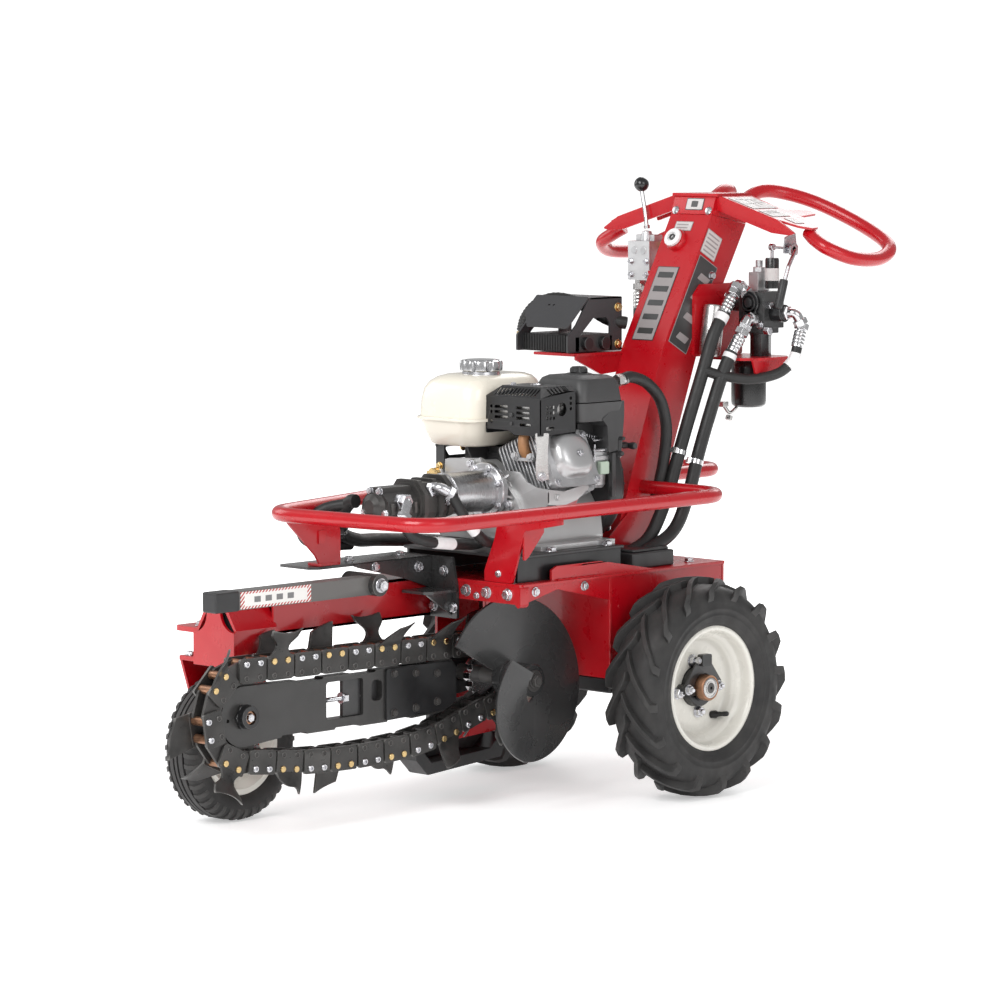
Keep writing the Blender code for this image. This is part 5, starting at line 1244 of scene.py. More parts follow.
def slots(columns, rows, width, height, steps=3):
    """Round-ended slots centred on every crossing of the columns and rows."""
    out = []
    for a in columns:
        for b in rows:
            outline = frame_of((a - width / 2, b - height / 2), (a + width / 2, b + height / 2))
            out.append(rounded(outline, min(width, height) * 0.35, steps))
    return out


def stacked(rows, steps=6):
    """A skin through rounded rectangles; each row is (z, x low, x high, y low, y high, corner radius)."""
    points, faces = [], []
    for z, x0, x1, y0, y1, r in rows:
        for cx, cy, start in ((x1 - r, y1 - r, 0), (x0 + r, y1 - r, 90), (x0 + r, y0 + r, 180),
                              (x1 - r, y0 + r, 270)):
            points += [Vector((a, b, z)) for a, b in arc((cx, cy), r, start, start + 90, steps)]
    n = 4 * (steps + 1)
    for i in range(len(rows) - 1):
        faces += [(i * n + k, i * n + (k + 1) % n, (i + 1) * n + (k + 1) % n, (i + 1) * n + k)
                  for k in range(n)]
    faces += [tuple(reversed(range(n))), tuple(range((len(rows) - 1) * n, len(rows) * n))]
    return points, faces


def lobed(rows, lobes, depth, sides=96):
    """A turned shape whose rim waves in and out; each row is (radius, height, share of the wave)."""
    points, faces = [], []
    for radius, z, share in rows:
        for k in range(sides):
            angle = 2 * math.pi * k / sides
            wave = max(0.0, -math.cos(angle * lobes)) ** 2.0
            r = radius * (1.0 - depth * share * wave)
            points.append(Vector((r * math.cos(angle), r * math.sin(angle), z)))
    for i in range(len(rows) - 1):
        faces += [(i * sides + k, i * sides + (k + 1) % sides, (i + 1) * sides + (k + 1) % sides,
                   (i + 1) * sides + k) for k in range(sides)]
    faces += [tuple(reversed(range(sides))), tuple(range((len(rows) - 1) * sides, len(rows) * sides))]
    return points, faces


CYLINDER_TILT = math.radians(25.0)   # how far the cylinder leans up from level


def along_cylinder(shape):
    """Turn a shape drawn with the cylinder along +Y about the crankshaft so that it leans up."""
    pivot = Vector((0.0, 0.0, CRANK_Z))
    turn = Matrix.Translation(pivot) @ Matrix.Rotation(CYLINDER_TILT, 4, "X") @ Matrix.Translation(-pivot)
    return moved(shape, turn)


def fuel_tank():
    """Moulded two-part tank with its seam, neck, lobed cap and struts."""
    rows = [(0.652, 0.152, 0.298, -0.15, -0.04, 0.026), (0.656, 0.142, 0.308, -0.158, -0.034, 0.03),
            (0.678, 0.128, 0.317, -0.166, -0.026, 0.032), (0.7, 0.119, 0.3235, -0.1725, -0.02, 0.032),
            (0.7005, 0.114, 0.329, -0.1775, -0.015, 0.036), (0.7055, 0.114, 0.329, -0.1775, -0.015, 0.036),
            (0.706, 0.119, 0.3235, -0.1725, -0.02, 0.032), (0.738, 0.117, 0.322, -0.171, -0.019, 0.034),
            (0.758, 0.118, 0.319, -0.168, -0.02, 0.036), (0.771, 0.121, 0.312, -0.162, -0.024, 0.038),
            (0.779, 0.127, 0.301, -0.153, -0.031, 0.038), (0.7835, 0.138, 0.286, -0.141, -0.042, 0.034),
            (0.785, 0.154, 0.27, -0.126, -0.056, 0.028)]
    piece("tank", stacked(rows, 8), TANK, "chassis", ["fuel_tank"], sharp=50)
    neck = (0.24, -0.076, 0.0)
    piece("tank_neck", lathe([(0, 0.78), (0.036, 0.78), (0.035, 0.7895), (0, 0.7895)], neck, sides=40),
          ZINC, "chassis", bevel=0.0008)
    rows = [(0.0385, 0.7905, 0.6), (0.0398, 0.792, 1.0), (0.0402, 0.805, 1.0), (0.0388, 0.8085, 0.9),
            (0.035, 0.8105, 0.4), (0.03, 0.8098, 0.0), (0.0285, 0.8115, 0.0), (0.014, 0.8125, 0.0)]
    piece("tank_cap", shift(lobed(rows, 8, 0.13), neck), CHROME, "tank_cap", ["fuel_cap"], sharp=28)
    strut = [(0.165, 0.623), (0.28, 0.623), (0.296, 0.65), (0.296, 0.653), (0.15, 0.653), (0.15, 0.648)]
    piece("tank_struts", [sheet(strut, "XZ", -0.142, -0.138,
                                [rounded([(0.185, 0.63), (0.262, 0.63), (0.274, 0.646), (0.18, 0.646)],
                                         0.004)]), sheet(strut, "XZ", -0.06, -0.056),
                          box((0.29, -0.142, 0.6), (0.294, -0.12, 0.652))], BLACK, "chassis", bevel=0.0008)
    piece("tank_strut_bolts", [bolt((0.294, -0.131, 0.612), (1, 0, 0), 0.007),
                               bolt((0.22, -0.142, 0.642), (0, -1, 0))], YELLOW_ZINC, "chassis", bevel=FINE)


GUARD_LOW = Vector((0.19, -0.02, 0.68))      # corners of the muffler's cover
GUARD_HIGH = Vector((0.285, 0.119, 0.768))
GUARD_SHEET = 0.0016


def muffler_guard():
    """Pressed cover with slots and a grille of holes."""
    low, high = GUARD_LOW, GUARD_HIGH
    width, depth = high.y - low.y, high.x - low.x
    brow = 0.069
    face = [(0, 0.008), (0.03, 0.008), (0.058, 0.007), (0.072, 0), (width, 0), (width, brow), (0, brow)]
    holes = slots((0.039, 0.094), (0.05, 0.0405, 0.031), 0.034, 0.0055) + slots((0.1,), (0.019,), 0.028,
            0.0055)
    holes += slots((0.014,), (0.05, 0.04, 0.022), 0.006, 0.006)
    parts = [panel(rounded(face, 0.003), (high.x, low.y, low.z), (0, 1, 0), (0, 0, 1), GUARD_SHEET, holes)]
    rise = 0.01
    side = [(0, 0), (depth, 0.004), (depth, brow + rise), (0, brow)]
    holes = slots((0.018, 0.027, 0.036), (0.052, 0.042, 0.032), 0.0048, 0.0058) + slots((0.026,), (0.013,),
            0.022, 0.006)
    holes += slots((0.081,), (0.0665, 0.057, 0.047), 0.0065,
                   0.0062) + [arc((0.0575, 0.047), 0.0125, 0, 345, 23)]
    parts.append(panel(rounded(side, 0.003), (high.x, high.y, low.z), (-1, 0, 0), (0, 0, 1), GUARD_SHEET,
                       holes))
    back = rounded([(0, 0), (depth, 0), (depth, brow), (0, brow + rise)], 0.003)
    parts.append(panel(back, (low.x, low.y, low.z), (1, 0, 0), (0, 0, 1), GUARD_SHEET))
    parts.append(panel(frame_of((0, 0), (width, brow + rise)), (low.x, high.y, low.z), (0, -1, 0),
                       (0, 0, 1), GUARD_SHEET))
    slope = Vector((-0.024, 0, high.z - low.z - brow))
    reach = slope.length
    chamfer = [(0, 0), (width, 0), (width - 0.02, reach), (0.02, reach)]
    holes = slots([0.021 + 0.0082 * k for k in range(13)], (reach * 0.48,), 0.0042, reach * 0.66)
    parts.append(panel(chamfer, (high.x, low.y, low.z + brow), (0, 1, 0), slope, GUARD_SHEET, holes))
    start = Vector((high.x, high.y, low.z + brow))
    along = Vector((-depth, 0, rise))
    slope = Vector((-0.024, -0.02, high.z - low.z - brow))
    up = (slope - along * slope.dot(along) / along.length_squared)
    reach = up.length
    chamfer = [(0, 0), (along.length, 0), (along.length, reach * 0.62), (0.024, reach)]
    holes = slots([0.034 + 0.0088 * k for k in range(6)], (reach * 0.46,), 0.0046, reach * 0.56)
    parts.append(panel(chamfer, start, along, up, GUARD_SHEET, holes))
    top = rounded([(low.x, low.y + 0.016), (high.x - 0.023, low.y + 0.018),
                   (high.x - 0.023, high.y - 0.019), (low.x, high.y - 0.012)], 0.003)
    parts.append(sheet(top, "XY", high.z - GUARD_SHEET, high.z,
                       [arc((low.x + 0.035, 0.05), 0.011, 0, 340, 17)]))
    piece("muffler_cover", parts, PLASTIC, "chassis", ["muffler_guard"], bevel=0.0005)


def silencer():
    """Silencer inside its cover, exhaust pipe, flange and strap."""
    low, high = GUARD_LOW, GUARD_HIGH
    can = [(low.z + 0.007, low.x + 0.012, high.x - 0.014, low.y + 0.012, high.y - 0.012, 0.018),
           (low.z + 0.012, low.x + 0.009, high.x - 0.01, low.y + 0.009, high.y - 0.009, 0.02),
           (low.z + 0.058, low.x + 0.009, high.x - 0.01, low.y + 0.009, high.y - 0.009, 0.02),
           (low.z + 0.07, low.x + 0.016, high.x - 0.022, low.y + 0.016, high.y - 0.018, 0.018)]
    piece("silencer_can", stacked(can), BARE_STEEL, "chassis", bevel=0.001)
    centre = (low.x + 0.035, 0.05, high.z)
    piece("muffler_cap", [lathe([(0, -0.004), (0.0105, -0.004), (0.0105, 0.002), (0.006, 0.0035),
                                 (0, 0.0035)], centre), bolt((high.x - 0.034, 0.018, high.z), (0, 0, 1),
                          0.006)], ZINC, "chassis", bevel=FINE)
    piece("muffler_rivets", [bolt((high.x, low.y + 0.066, low.z + 0.036), (1, 0, 0), 0.005, False),
                             bolt((high.x, low.y + 0.066, low.z + 0.02), (1, 0, 0), 0.004, False)], BLACK,
          "chassis")
    pipe_path = smooth([(0.266, 0.062, 0.684), (0.272, 0.064, 0.668), (0.272, 0.066, 0.652),
                        (0.262, 0.068, 0.636)], 6)
    piece("exhaust_pipe", tube(pipe_path, 0.0105, 20), RUST, "chassis")
    piece("exhaust_flange", [box((0.25, 0.044, 0.632), (0.278, 0.092, 0.638)),
                             bolt((0.279, 0.048, 0.64), (1, 0, 0.3), 0.007),
                             bolt((0.279, 0.088, 0.64), (1, 0, 0.3), 0.007)], CAST, "chassis", bevel=0.001)
    strap = [(0.0, 0.0), (0.026, 0.0), (0.024, -0.03), (0.025, -0.06), (0.027, -0.086), (0.004, -0.086),
             (0.002, -0.06), (0.004, -0.03)]
    piece("muffler_strap", panel(rounded(strap, 0.003), (0.288, 0.108, 0.686), (-0.72, 0.69, 0),
                                 (0, 0.02, 1), 0.0028), BARE_STEEL, "chassis", bevel=0.0005)
    piece("strap_bolt", bolt((0.2795, 0.1175, 0.606), (0.69, 0.72, 0), 0.0075), ZINC, "chassis", bevel=FINE)


def cylinder():
    """Cooling fins, head casting and the domed valve cover, all leaning up with the cylinder."""
    parts = []
    for k in range(11):
        reach = 0.026 + 0.0086 * k
        fin = rounded([(0.146, 0.52), (0.268, 0.52), (0.268, 0.648), (0.146, 0.648)], 0.01)
        parts.append(sheet(fin, "XZ", reach, reach + 0.003))
    parts.append(box((0.158, 0.02, 0.532), (0.256, 0.125, 0.634)))
    piece("cylinder_fins_cast", [along_cylinder(join(*parts))], CAST, "chassis", ["cylinder_fins"],
          bevel=0.0005)
    head = rounded([(0.15, 0.532), (0.264, 0.532), (0.264, 0.628), (0.15, 0.628)], 0.012)
    flange = rounded([(0.146, 0.538), (0.16, 0.526), (0.252, 0.526), (0.266, 0.538), (0.266, 0.622),
                      (0.252, 0.634), (0.16, 0.634), (0.146, 0.622)], 0.006)
    body = [sheet(head, "XZ", 0.112, 0.128), sheet(flange, "XZ", 0.128, 0.134)]
    for x, z in ((0.154, 0.536), (0.258, 0.536), (0.154, 0.624), (0.258, 0.624)):
        body.append(rod((x, 0.126, z), 0.0085, 0.018, "Y", 24))
    piece("cylinder_head", [along_cylinder(join(*body))], CAST, "chassis", bevel=0.0008)
    rows = [(0.134, 0.16, 0.252, 0.54, 0.626, 0.03), (0.146, 0.162, 0.25, 0.542, 0.624, 0.034),
            (0.153, 0.166, 0.246, 0.546, 0.62, 0.034), (0.158, 0.174, 0.238, 0.554, 0.612, 0.028),
            (0.16, 0.186, 0.226, 0.566, 0.6, 0.016)]
    dome, faces = stacked(rows, 8)
    dome = ([Vector((p.x, p.z, p.y)) for p in dome], faces)
    piece("valve_cover_dome", along_cylinder(dome), COVER_SILVER, "chassis", ["valve_cover"], sharp=55)
    bolts = [bolt((x, 0.134, z), (0, 1, 0), 0.006) for x, z in
             ((0.154, 0.536), (0.258, 0.536), (0.154, 0.624), (0.258, 0.624))]
    bolts.append(bolt((0.206, 0.162, 0.58), (0, 1, 0), 0.006))
    piece("head_bolts", [along_cylinder(join(*bolts))], ZINC, "chassis", bevel=FINE)


def crankcase():
    """Crankcase with its ribbed side cover and oil filler."""
    outline = rounded([(-0.14, 0.472), (-0.14, 0.585), (-0.112, 0.622), (-0.03, 0.628), (0.02, 0.6),
                       (0.058, 0.56), (0.084, 0.52), (0.09, 0.472)], 0.012)
    piece("crankcase_body", [sheet(outline, "YZ", 0.084, 0.282),
                             box((0.09, -0.14, 0.47), (0.29, 0.125, 0.479))], PAINTED_CAST, "chassis",
          ["engine_crankcase"], bevel=0.002)
    cover = rounded([(-0.138, 0.482), (-0.143, 0.59), (-0.116, 0.6275), (-0.03, 0.6325), (0.024, 0.604),
                     (0.064, 0.562), (0.088, 0.52), (0.09, 0.482)], 0.014)
    inner = rounded([(-0.116, 0.498), (-0.118, 0.584), (-0.1, 0.606), (-0.036, 0.61), (0.012, 0.586),
                     (0.046, 0.55), (0.064, 0.516), (0.064, 0.498)], 0.016)
    parts = [sheet(cover, "YZ", 0.282, 0.2925), sheet(inner, "YZ", 0.2925, 0.298)]
    bosses = ((-0.13, 0.6), (-0.045, 0.622), (0.014, 0.592), (0.052, 0.552), (0.078, 0.5), (-0.132, 0.5))
    parts += [rod((0.29, y, z), 0.0088, 0.02, "X", 24) for y, z in bosses]
    for angle in range(20, 340, 40):
        rib = box((0.2975, -0.0018, 0.046), (0.301, 0.0018, 0.062))
        turn = Matrix.Translation((0, 0, CRANK_Z)) @ Matrix.Rotation(math.radians(angle), 4, "X")
        parts.append(moved(rib, turn))
    piece("crankcase_cover", parts, PAINTED_CAST, "chassis", bevel=0.0014)
    piece("crankcase_bolts", [bolt((0.3, y, z), (1, 0, 0), 0.0075) for y, z in bosses[1:]], ZINC, "chassis",
          bevel=FINE)
    piece("oil_filler", [rod((0.306, -0.134, 0.6), 0.0095, 0.014, "X", 20),
                         box((0.303, -0.148, 0.597), (0.3125, -0.12, 0.603))], YELLOW_ZINC, "chassis",
          bevel=0.001)


def engine_shrouds():
    """Cylinder shroud, flywheel screen and governor plate."""
    shroud = rounded([(0.016, 0.54), (0.014, 0.612), (0.066, 0.612), (0.084, 0.594), (0.108, 0.586),
                      (0.136, 0.584), (0.136, 0.556), (0.11, 0.54)], 0.006)
    wrap = rounded([(0.284, 0.556), (0.284, 0.584), (0.24, 0.578), (0.176, 0.588), (0.172, 0.58),
                    (0.205, 0.56), (0.24, 0.552)], 0.005)
    piece("cylinder_shroud", [sheet(shroud, "YZ", 0.28, 0.2835), sheet(wrap, "XZ", 0.133, 0.136)],
          PAINTED_CAST, "chassis", bevel=0.0012)
    piece("shroud_bolt", [facing(join(lathe([(0, 0), (0.009, 0), (0.008, 0.002), (0, 0.002)]),
                                      hex_prism(0.0055, 0.002, 0.005)), (0.2835, 0.036, 0.584), (1, 0, 0)),
                          bolt((0.258, 0.136, 0.568), (0, 1, 0), 0.006)], PAINTED_CAST, "chassis",
          bevel=FINE)
    fins = [box((0.238 - 0.0085 * k, -0.118, 0.618), (0.241 - 0.0085 * k, 0.012, 0.65)) for k in range(9)]
    piece("flywheel_fins", [*fins, box((0.165, -0.105, 0.612), (0.245, 0.004, 0.64))], BLACK, "chassis",
          bevel=0.0006)
    kidney = rounded([(0.235, 0.535), (0.205, 0.568), (0.172, 0.578), (0.16, 0.56), (0.176, 0.536),
                      (0.205, 0.528)], 0.01)
    piece("governor_plate", sheet(kidney, "XZ", 0.096, 0.099), KIDNEY_RED, "chassis", bevel=0.0008)


def fan_and_starter():
    """Fan cowl on the engine's rear with the pull starter's grip."""
    centre = (0.0, -0.01, CRANK_Z)
    profile = [(0, 0.0225), (0.052, 0.0225), (0.062, 0.026), (0.078, 0.03), (0.104, 0.034), (0.114, 0.042),
               (0.117, 0.052), (0.117, 0.078), (0.112, 0.0814), (0, 0.0814)]
    piece("fan_cowl", lathe(profile, centre, "X", 72), PLASTIC, "chassis", ["fan_housing"])
    ribs = []
    for k in range(24):
        turn = Matrix.Translation(centre) @ Matrix.Rotation(2 * math.pi * k / 24, 4, "X")
        ribs.append(moved(box((0.0245, -0.0022, 0.06), (0.036, 0.0022, 0.1)), turn))
    piece("fan_cowl_ribs", ribs, BLACK, "chassis", bevel=0.0008)
    piece("fan_cowl_bolts", [bolt((0.04, centre[1] + 0.11 * math.cos(a), CRANK_Z + 0.11 * math.sin(a)),
                                  (-1, 0, 0)) for a in (0.5, 1.9, 3.6, 5.4)], ZINC, "chassis", bevel=FINE)
    grip = [(0, -0.017), (0.0055, -0.017), (0.007, -0.012), (0.0052, 0.0), (0.007, 0.012), (0.0055, 0.017),
            (0, 0.017)]
    piece("recoil_grip", [lathe(grip, (0.02, 0.095, 0.647), "Y", 24),
                          rod((0.03, 0.095, 0.647), 0.0035, 0.02, "X", 16)], PLASTIC, "starter",
          ["starter_grip"])


def air_cleaner():
    """Box-shaped cleaner with its knob."""
    low, high = (0.062, -0.006), (0.182, 0.126)
    lid = [(0.736, low[0] + 0.002, high[0] - 0.002, low[1] + 0.002, high[1] - 0.001, 0.016),
           (0.768, low[0] + 0.005, high[0] - 0.006, low[1] + 0.005, high[1] - 0.005, 0.018),
           (0.778, low[0] + 0.009, high[0] - 0.012, low[1] + 0.009, high[1] - 0.01, 0.018),
           (0.783, low[0] + 0.018, high[0] - 0.022, low[1] + 0.018, high[1] - 0.02, 0.016),
           (0.7845, low[0] + 0.034, high[0] - 0.038, low[1] + 0.034, high[1] - 0.036, 0.012)]
    base = [(0.7, low[0] + 0.004, high[0] - 0.003, low[1] + 0.004, high[1] - 0.004, 0.014),
            (0.7345, low[0], high[0], low[1], high[1], 0.016)]
    skirt = rounded([(0.064, 0.738), (0.064, 0.706), (0.07, 0.646), (0.106, 0.64), (0.11, 0.69),
                     (0.124, 0.704)], 0.004)
    piece("air_cleaner_lid", stacked(lid, 7), GREY_PLASTIC, "chassis", ["air_cleaner"], bevel=0.001,
          sharp=50)
    piece("air_cleaner_base", [stacked(base, 7), sheet(skirt, "XZ", 0.05, 0.124),
                               box((0.066, 0.02, 0.64), (0.074, 0.118, 0.7))], GREY_PLASTIC, "chassis",
          bevel=0.001)
    knob = (0.122, 0.062, 0.0)
    piece("cleaner_knob_seat", lathe([(0, 0.78), (0.028, 0.78), (0.025, 0.7855), (0.02, 0.787), (0, 0.787)],
                                     knob), GREY_PLASTIC, "chassis", bevel=0.001)
    rows = [(0.017, 0.7875, 0.4), (0.018, 0.789, 1.0), (0.0175, 0.795, 1.0), (0.013, 0.7985, 0.5),
            (0.003, 0.7995, 0)]
    piece("cleaner_knob", shift(lobed(rows, 4, 0.22, 64), knob), PLASTIC, "cleaner_knob",
          ["air_cleaner_knob"], sharp=30)


def carburettor():
    """Carburettor, throttle arm, springs and linkage plates."""
    piece("carburettor_body", [box((0.092, 0.07, 0.6), (0.126, 0.108, 0.642)),
                               box((0.088, 0.064, 0.626), (0.14, 0.112, 0.634)),
                               lathe([(0, 0.574), (0.015, 0.574), (0.019, 0.58), (0.02, 0.6), (0, 0.6)],
                                     (0.108, 0.09, 0)), rod((0.118, 0.09, 0.62), 0.012, 0.07, "X", 28)],
          CAST, "chassis", ["carburettor"], bevel=0.0012)
    piece("fuel_bulb", [box((0.098, 0.1085, 0.6), (0.122, 0.119, 0.624))], PALE_GREEN, "chassis",
          bevel=0.0025)
    piece("choke_links", [rod((0.112, 0.116, 0.646), 0.0028, 0.056, "X", 16),
                          rod((0.09, 0.114, 0.66), 0.0022, 0.04, "Z", 12),
                          rod((0.132, 0.112, 0.64), 0.0022, 0.034, "Z", 12),
                          rod((0.104, 0.11, 0.664), 0.0022, 0.06, "X", 12)], ZINC, "chassis")
    lever = rounded([(0.0955, 0.634), (0.1045, 0.634), (0.1035, 0.668), (0.0965, 0.668)], 0.002)
    piece("throttle_arm", [sheet(lever, "XZ", 0.144, 0.1465),
                           rod((0.1, 0.1485, 0.64), 0.0045, 0.01, "Y", 20),
                           rod((0.1, 0.151, 0.668), 0.0038, 0.012, "Y", 20)], BLACK, "throttle",
          ["throttle_lever"], bevel=0.0005)
    springs = []
    for start, stop in (((0.12, 0.104, 0.668), (0.165, 0.086, 0.682)),
                        ((0.098, 0.096, 0.655), (0.15, 0.07, 0.69))):
        a, b = Vector(start), Vector(stop)
        path = []
        side = (b - a).orthogonal().normalized()
        up = (b - a).normalized().cross(side)
        for i in range(90):
            t = i / 89
            path.append(a.lerp(b, t) + (side * math.cos(t * 60) + up * math.sin(t * 60)) * 0.0032)
        springs.append(tube(path, 0.0007, 6))
    piece("governor_springs", springs, ZINC, "chassis")
    plates = [box((0.1, 0.06, 0.59), (0.15, 0.086, 0.696)), box((0.112, 0.02, 0.56), (0.146, 0.07, 0.7)),
              box((0.084, 0.11, 0.556), (0.094, 0.122, 0.64))]
    piece("linkage_plates", plates, BLACK, "chassis", bevel=0.002)
    piece("linkage_screws", [bolt((0.15, 0.0715, z), (1, 0, 0), 0.005) for z in (0.6, 0.632, 0.664)]
          + [bolt((0.126, 0.086, 0.65), (0, 1, 0), 0.006), bolt((0.14, 0.086, 0.612), (0, 1, 0), 0.006)],
          ZINC, "chassis", bevel=FINE)


def turned_adapter():
    """Turned adapter between the crankcase and the pump."""
    axis = (0.0, 0.0, CRANK_Z)
    profile = [(0, 0.2985), (0.05, 0.2985), (0.052, 0.301), (0.052, 0.311), (0.05, 0.313), (0.04, 0.314),
               (0.0385, 0.325), (0.038, 0.34), (0.038, 0.412), (0.0392, 0.4135), (0.0392, 0.418),
               (0.037, 0.4185), (0.037, 0.4325), (0, 0.4325)]
    piece("adapter_turned", lathe(profile, axis, "X", 96), MACHINED, "chassis", ["pump_adapter"],
          bevel=0.0006)
    bolts = [bolt((0.3125, 0.0455 * math.cos(a), CRANK_Z + 0.0455 * math.sin(a)), (1, 0, 0), 0.007)
             for a in (math.radians(v) for v in (20, 70, 120, 165, 215, 270, 325))]
    piece("adapter_bolts", bolts, ZINC, "chassis", bevel=FINE)


def gear_pump():
    """Gear pump with its ribs, bolts and elbows."""
    flange = rounded([(-0.04, 0.543), (-0.014, 0.534), (0.014, 0.534), (0.04, 0.543), (0.046, 0.562),
                      (0.044, 0.592), (0.022, 0.614), (-0.022, 0.614), (-0.044, 0.592), (-0.046, 0.562)],
                     0.006)
    middle = [(-0.034, 0.54), (0.034, 0.54), (0.04, 0.552), (0.04, 0.58), (0.022, 0.604), (-0.022, 0.604),
              (-0.04, 0.58), (-0.04, 0.552)]
    parts = [sheet(flange, "YZ", 0.433, 0.445), sheet(rounded(middle, 0.004), "YZ", 0.445, 0.515)]
    ribs = rounded([(-0.043, 0.537), (0.043, 0.537), (0.046, 0.55), (0.046, 0.584), (0.026, 0.609),
                    (-0.026, 0.609), (-0.046, 0.584), (-0.046, 0.55)], 0.004)
    parts += [sheet(ribs, "YZ", x, x + 0.01) for x in (0.462, 0.5)]
    cap = rounded([(-0.03, 0.544), (0.03, 0.544), (0.036, 0.556), (0.032, 0.576), (0.018, 0.59),
                   (0.014, 0.6), (-0.014, 0.6), (-0.018, 0.59), (-0.032, 0.576), (-0.036, 0.556)], 0.003)
    parts += [sheet(cap, "YZ", 0.515, 0.59), lathe([(0, 0.59), (0.026, 0.59), (0.022, 0.6), (0.012, 0.606),
                                                    (0, 0.606)], (0, 0, 0.566), "X", 40)]
    parts += [box((0.522 + 0.014 * k, -0.0385, 0.552), (0.527 + 0.014 * k, 0.0385, 0.572))
              for k in range(5)]
    piece("pump_casting", parts, STEEL_DARK, "chassis", ["hydraulic_pump"], bevel=0.0016)
    ends = [bolt((0.445, y, z), (1, 0, 0), 0.01) for y, z in ((0.036, 0.57), (-0.036, 0.57))]
    ends += [bolt((0.59, y, z), (1, 0, 0), 0.007) for y, z in ((0.026, 0.554), (-0.026, 0.554),
             (0.012, 0.593), (-0.012, 0.593))]
    piece("pump_bolts", ends, ZINC, "chassis", bevel=0.0004)
    elbow = bent([(0.56, 0.02, 0.575), (0.56, 0.052, 0.575), (0.585, 0.066, 0.545)], 0.014)
    upper = bent([(0.48, 0.03, 0.59), (0.48, 0.054, 0.596), (0.462, 0.066, 0.584)], 0.012)
    parts = [tube(elbow, 0.0098, 20), tube(upper, 0.0098, 20)]
    for place, direction in (((0.56, 0.036, 0.575), (0, 1, 0)), ((0.56, 0.048, 0.575), (0, 1, 0)),
                             ((0.582, 0.0645, 0.549), (0.6, 0.3, -0.75)),
                             ((0.48, 0.036, 0.591), (0, 1, 0.1)),
                             ((0.463, 0.065, 0.585), (-0.7, 0.5, -0.5))):
        parts.append(facing(hex_prism(0.0145, -0.005, 0.006), place, direction))
    piece("pump_elbows", parts, ZINC, "chassis", bevel=0.0005)


COOLER_SHELF = 0.8125      # top of the mast's shelf


def ribbed(t):
    """Radius of a corrugated hose along its length."""
    return 0.0115 + 0.0012 * abs(math.sin(t * 95))


def oil_cooler():
    """Finned oil cooler on the mast's shelf, with its fittings and hose."""
    shelf = COOLER_SHELF
    body = [box((-0.104, -0.206, shelf + 0.002), (-0.002, -0.062, shelf + 0.03))]
    for k in range(34):
        y = -0.206 + 0.0043 * k
        body.append(box((-0.11, y, shelf + 0.001), (0.004, y + 0.0016, shelf + 0.0335)))
    piece("cooler_fins", body, BLACK, "chassis", ["oil_cooler"], bevel=0.0002, segments=1)
    ends = [rod((x, y, shelf + 0.017), 0.0125, 0.012, "Y", 28) for x in (-0.03, -0.078)
            for y in (-0.21, -0.058)]
    piece("cooler_headers", ends, BLACK, "chassis", bevel=0.001)
    piece("cooler_fitting", [facing(hex_prism(0.0125, -0.006, 0.01), (-0.03, -0.221, shelf + 0.016),
                                    (0, -1, 0)), facing(hex_prism(0.011, -0.004, 0.014),
                                                        (-0.03, -0.228, shelf + 0.022), (0, -0.2, 1))],
          YELLOW_ZINC, "chassis", bevel=0.0006)
    run = smooth([(-0.03, -0.228, shelf + 0.034), (-0.034, -0.222, shelf + 0.06),
                  (-0.046, -0.205, shelf + 0.085), (-0.062, -0.17, shelf + 0.098),
                  (-0.082, -0.12, shelf + 0.088), (-0.112, -0.08, shelf + 0.06),
                  (-0.14, -0.058, shelf + 0.052)], 10)
    piece("cooler_hose", [tube(run, ribbed, 20)], HOSE, "chassis")


def cooler_guard():
    """Folded guard over the cooler, with its opening and sloped lid."""
    wall = 0.004
    rise = COOLER_SHELF + 0.001
    top = 0.916
    low_y, high_y = -0.198, -0.062
    outline = [(-0.132, rise), (-0.098, rise), (-0.098, rise + 0.052), (-0.088, rise + 0.064),
               (-0.052, rise + 0.064), (-0.012, rise + 0.03), (-0.012, rise), (0.02, rise),
               (0.02, rise + 0.03), (-0.004, rise + 0.052), (-0.04, top), (-0.132, top)]
    near = sheet(rounded(outline, 0.003), "XZ", high_y - wall, high_y)
    far = sheet(rounded(outline, 0.003), "XZ", low_y, low_y + wall)
    slope = Vector((0.02, 0, rise + 0.046)) - Vector((-0.04, 0, top))
    reach = slope.length
    lid = rounded([(0, 0), (high_y - low_y, 0), (high_y - low_y, reach), (0.03, reach), (0, reach * 0.55)],
                  0.003)
    holes = slots((0.05, 0.062), (reach * 0.3,), 0.006, 0.004)
    sloped = panel(lid, (-0.04, low_y, top), (0, 1, 0), slope, 0.003, holes)
    roof = sheet(rounded(frame_of((-0.132, low_y), (-0.04, high_y)), 0.003), "XY", top - 0.003, top)
    piece("rear_guard_panels", [near, far, sloped, roof], GUARD_BLACK, "chassis", ["engine_rear_guard"],
          bevel=0.0008)
    piece("rear_guard_bolts", [bolt((-0.12, high_y, top - 0.02), (0, 1, 0), 0.008),
                               bolt((-0.12, high_y, rise + 0.012), (0, 1, 0), 0.008)], YELLOW_ZINC,
          "chassis", bevel=FINE)


# ---------------------------------------------------------------- mast, handlebar, valves and hoses
MAST_HALF = 0.052         # half the mast's width
MAST_BEND, MAST_TOP = Vector((-0.122, 0.0, 0.82)), Vector((-0.262, 0.0, 1.072))
MAST_UP = (MAST_TOP - MAST_BEND).normalized()
MAST_OUT = Vector((MAST_UP.z, 0.0, -MAST_UP.x))


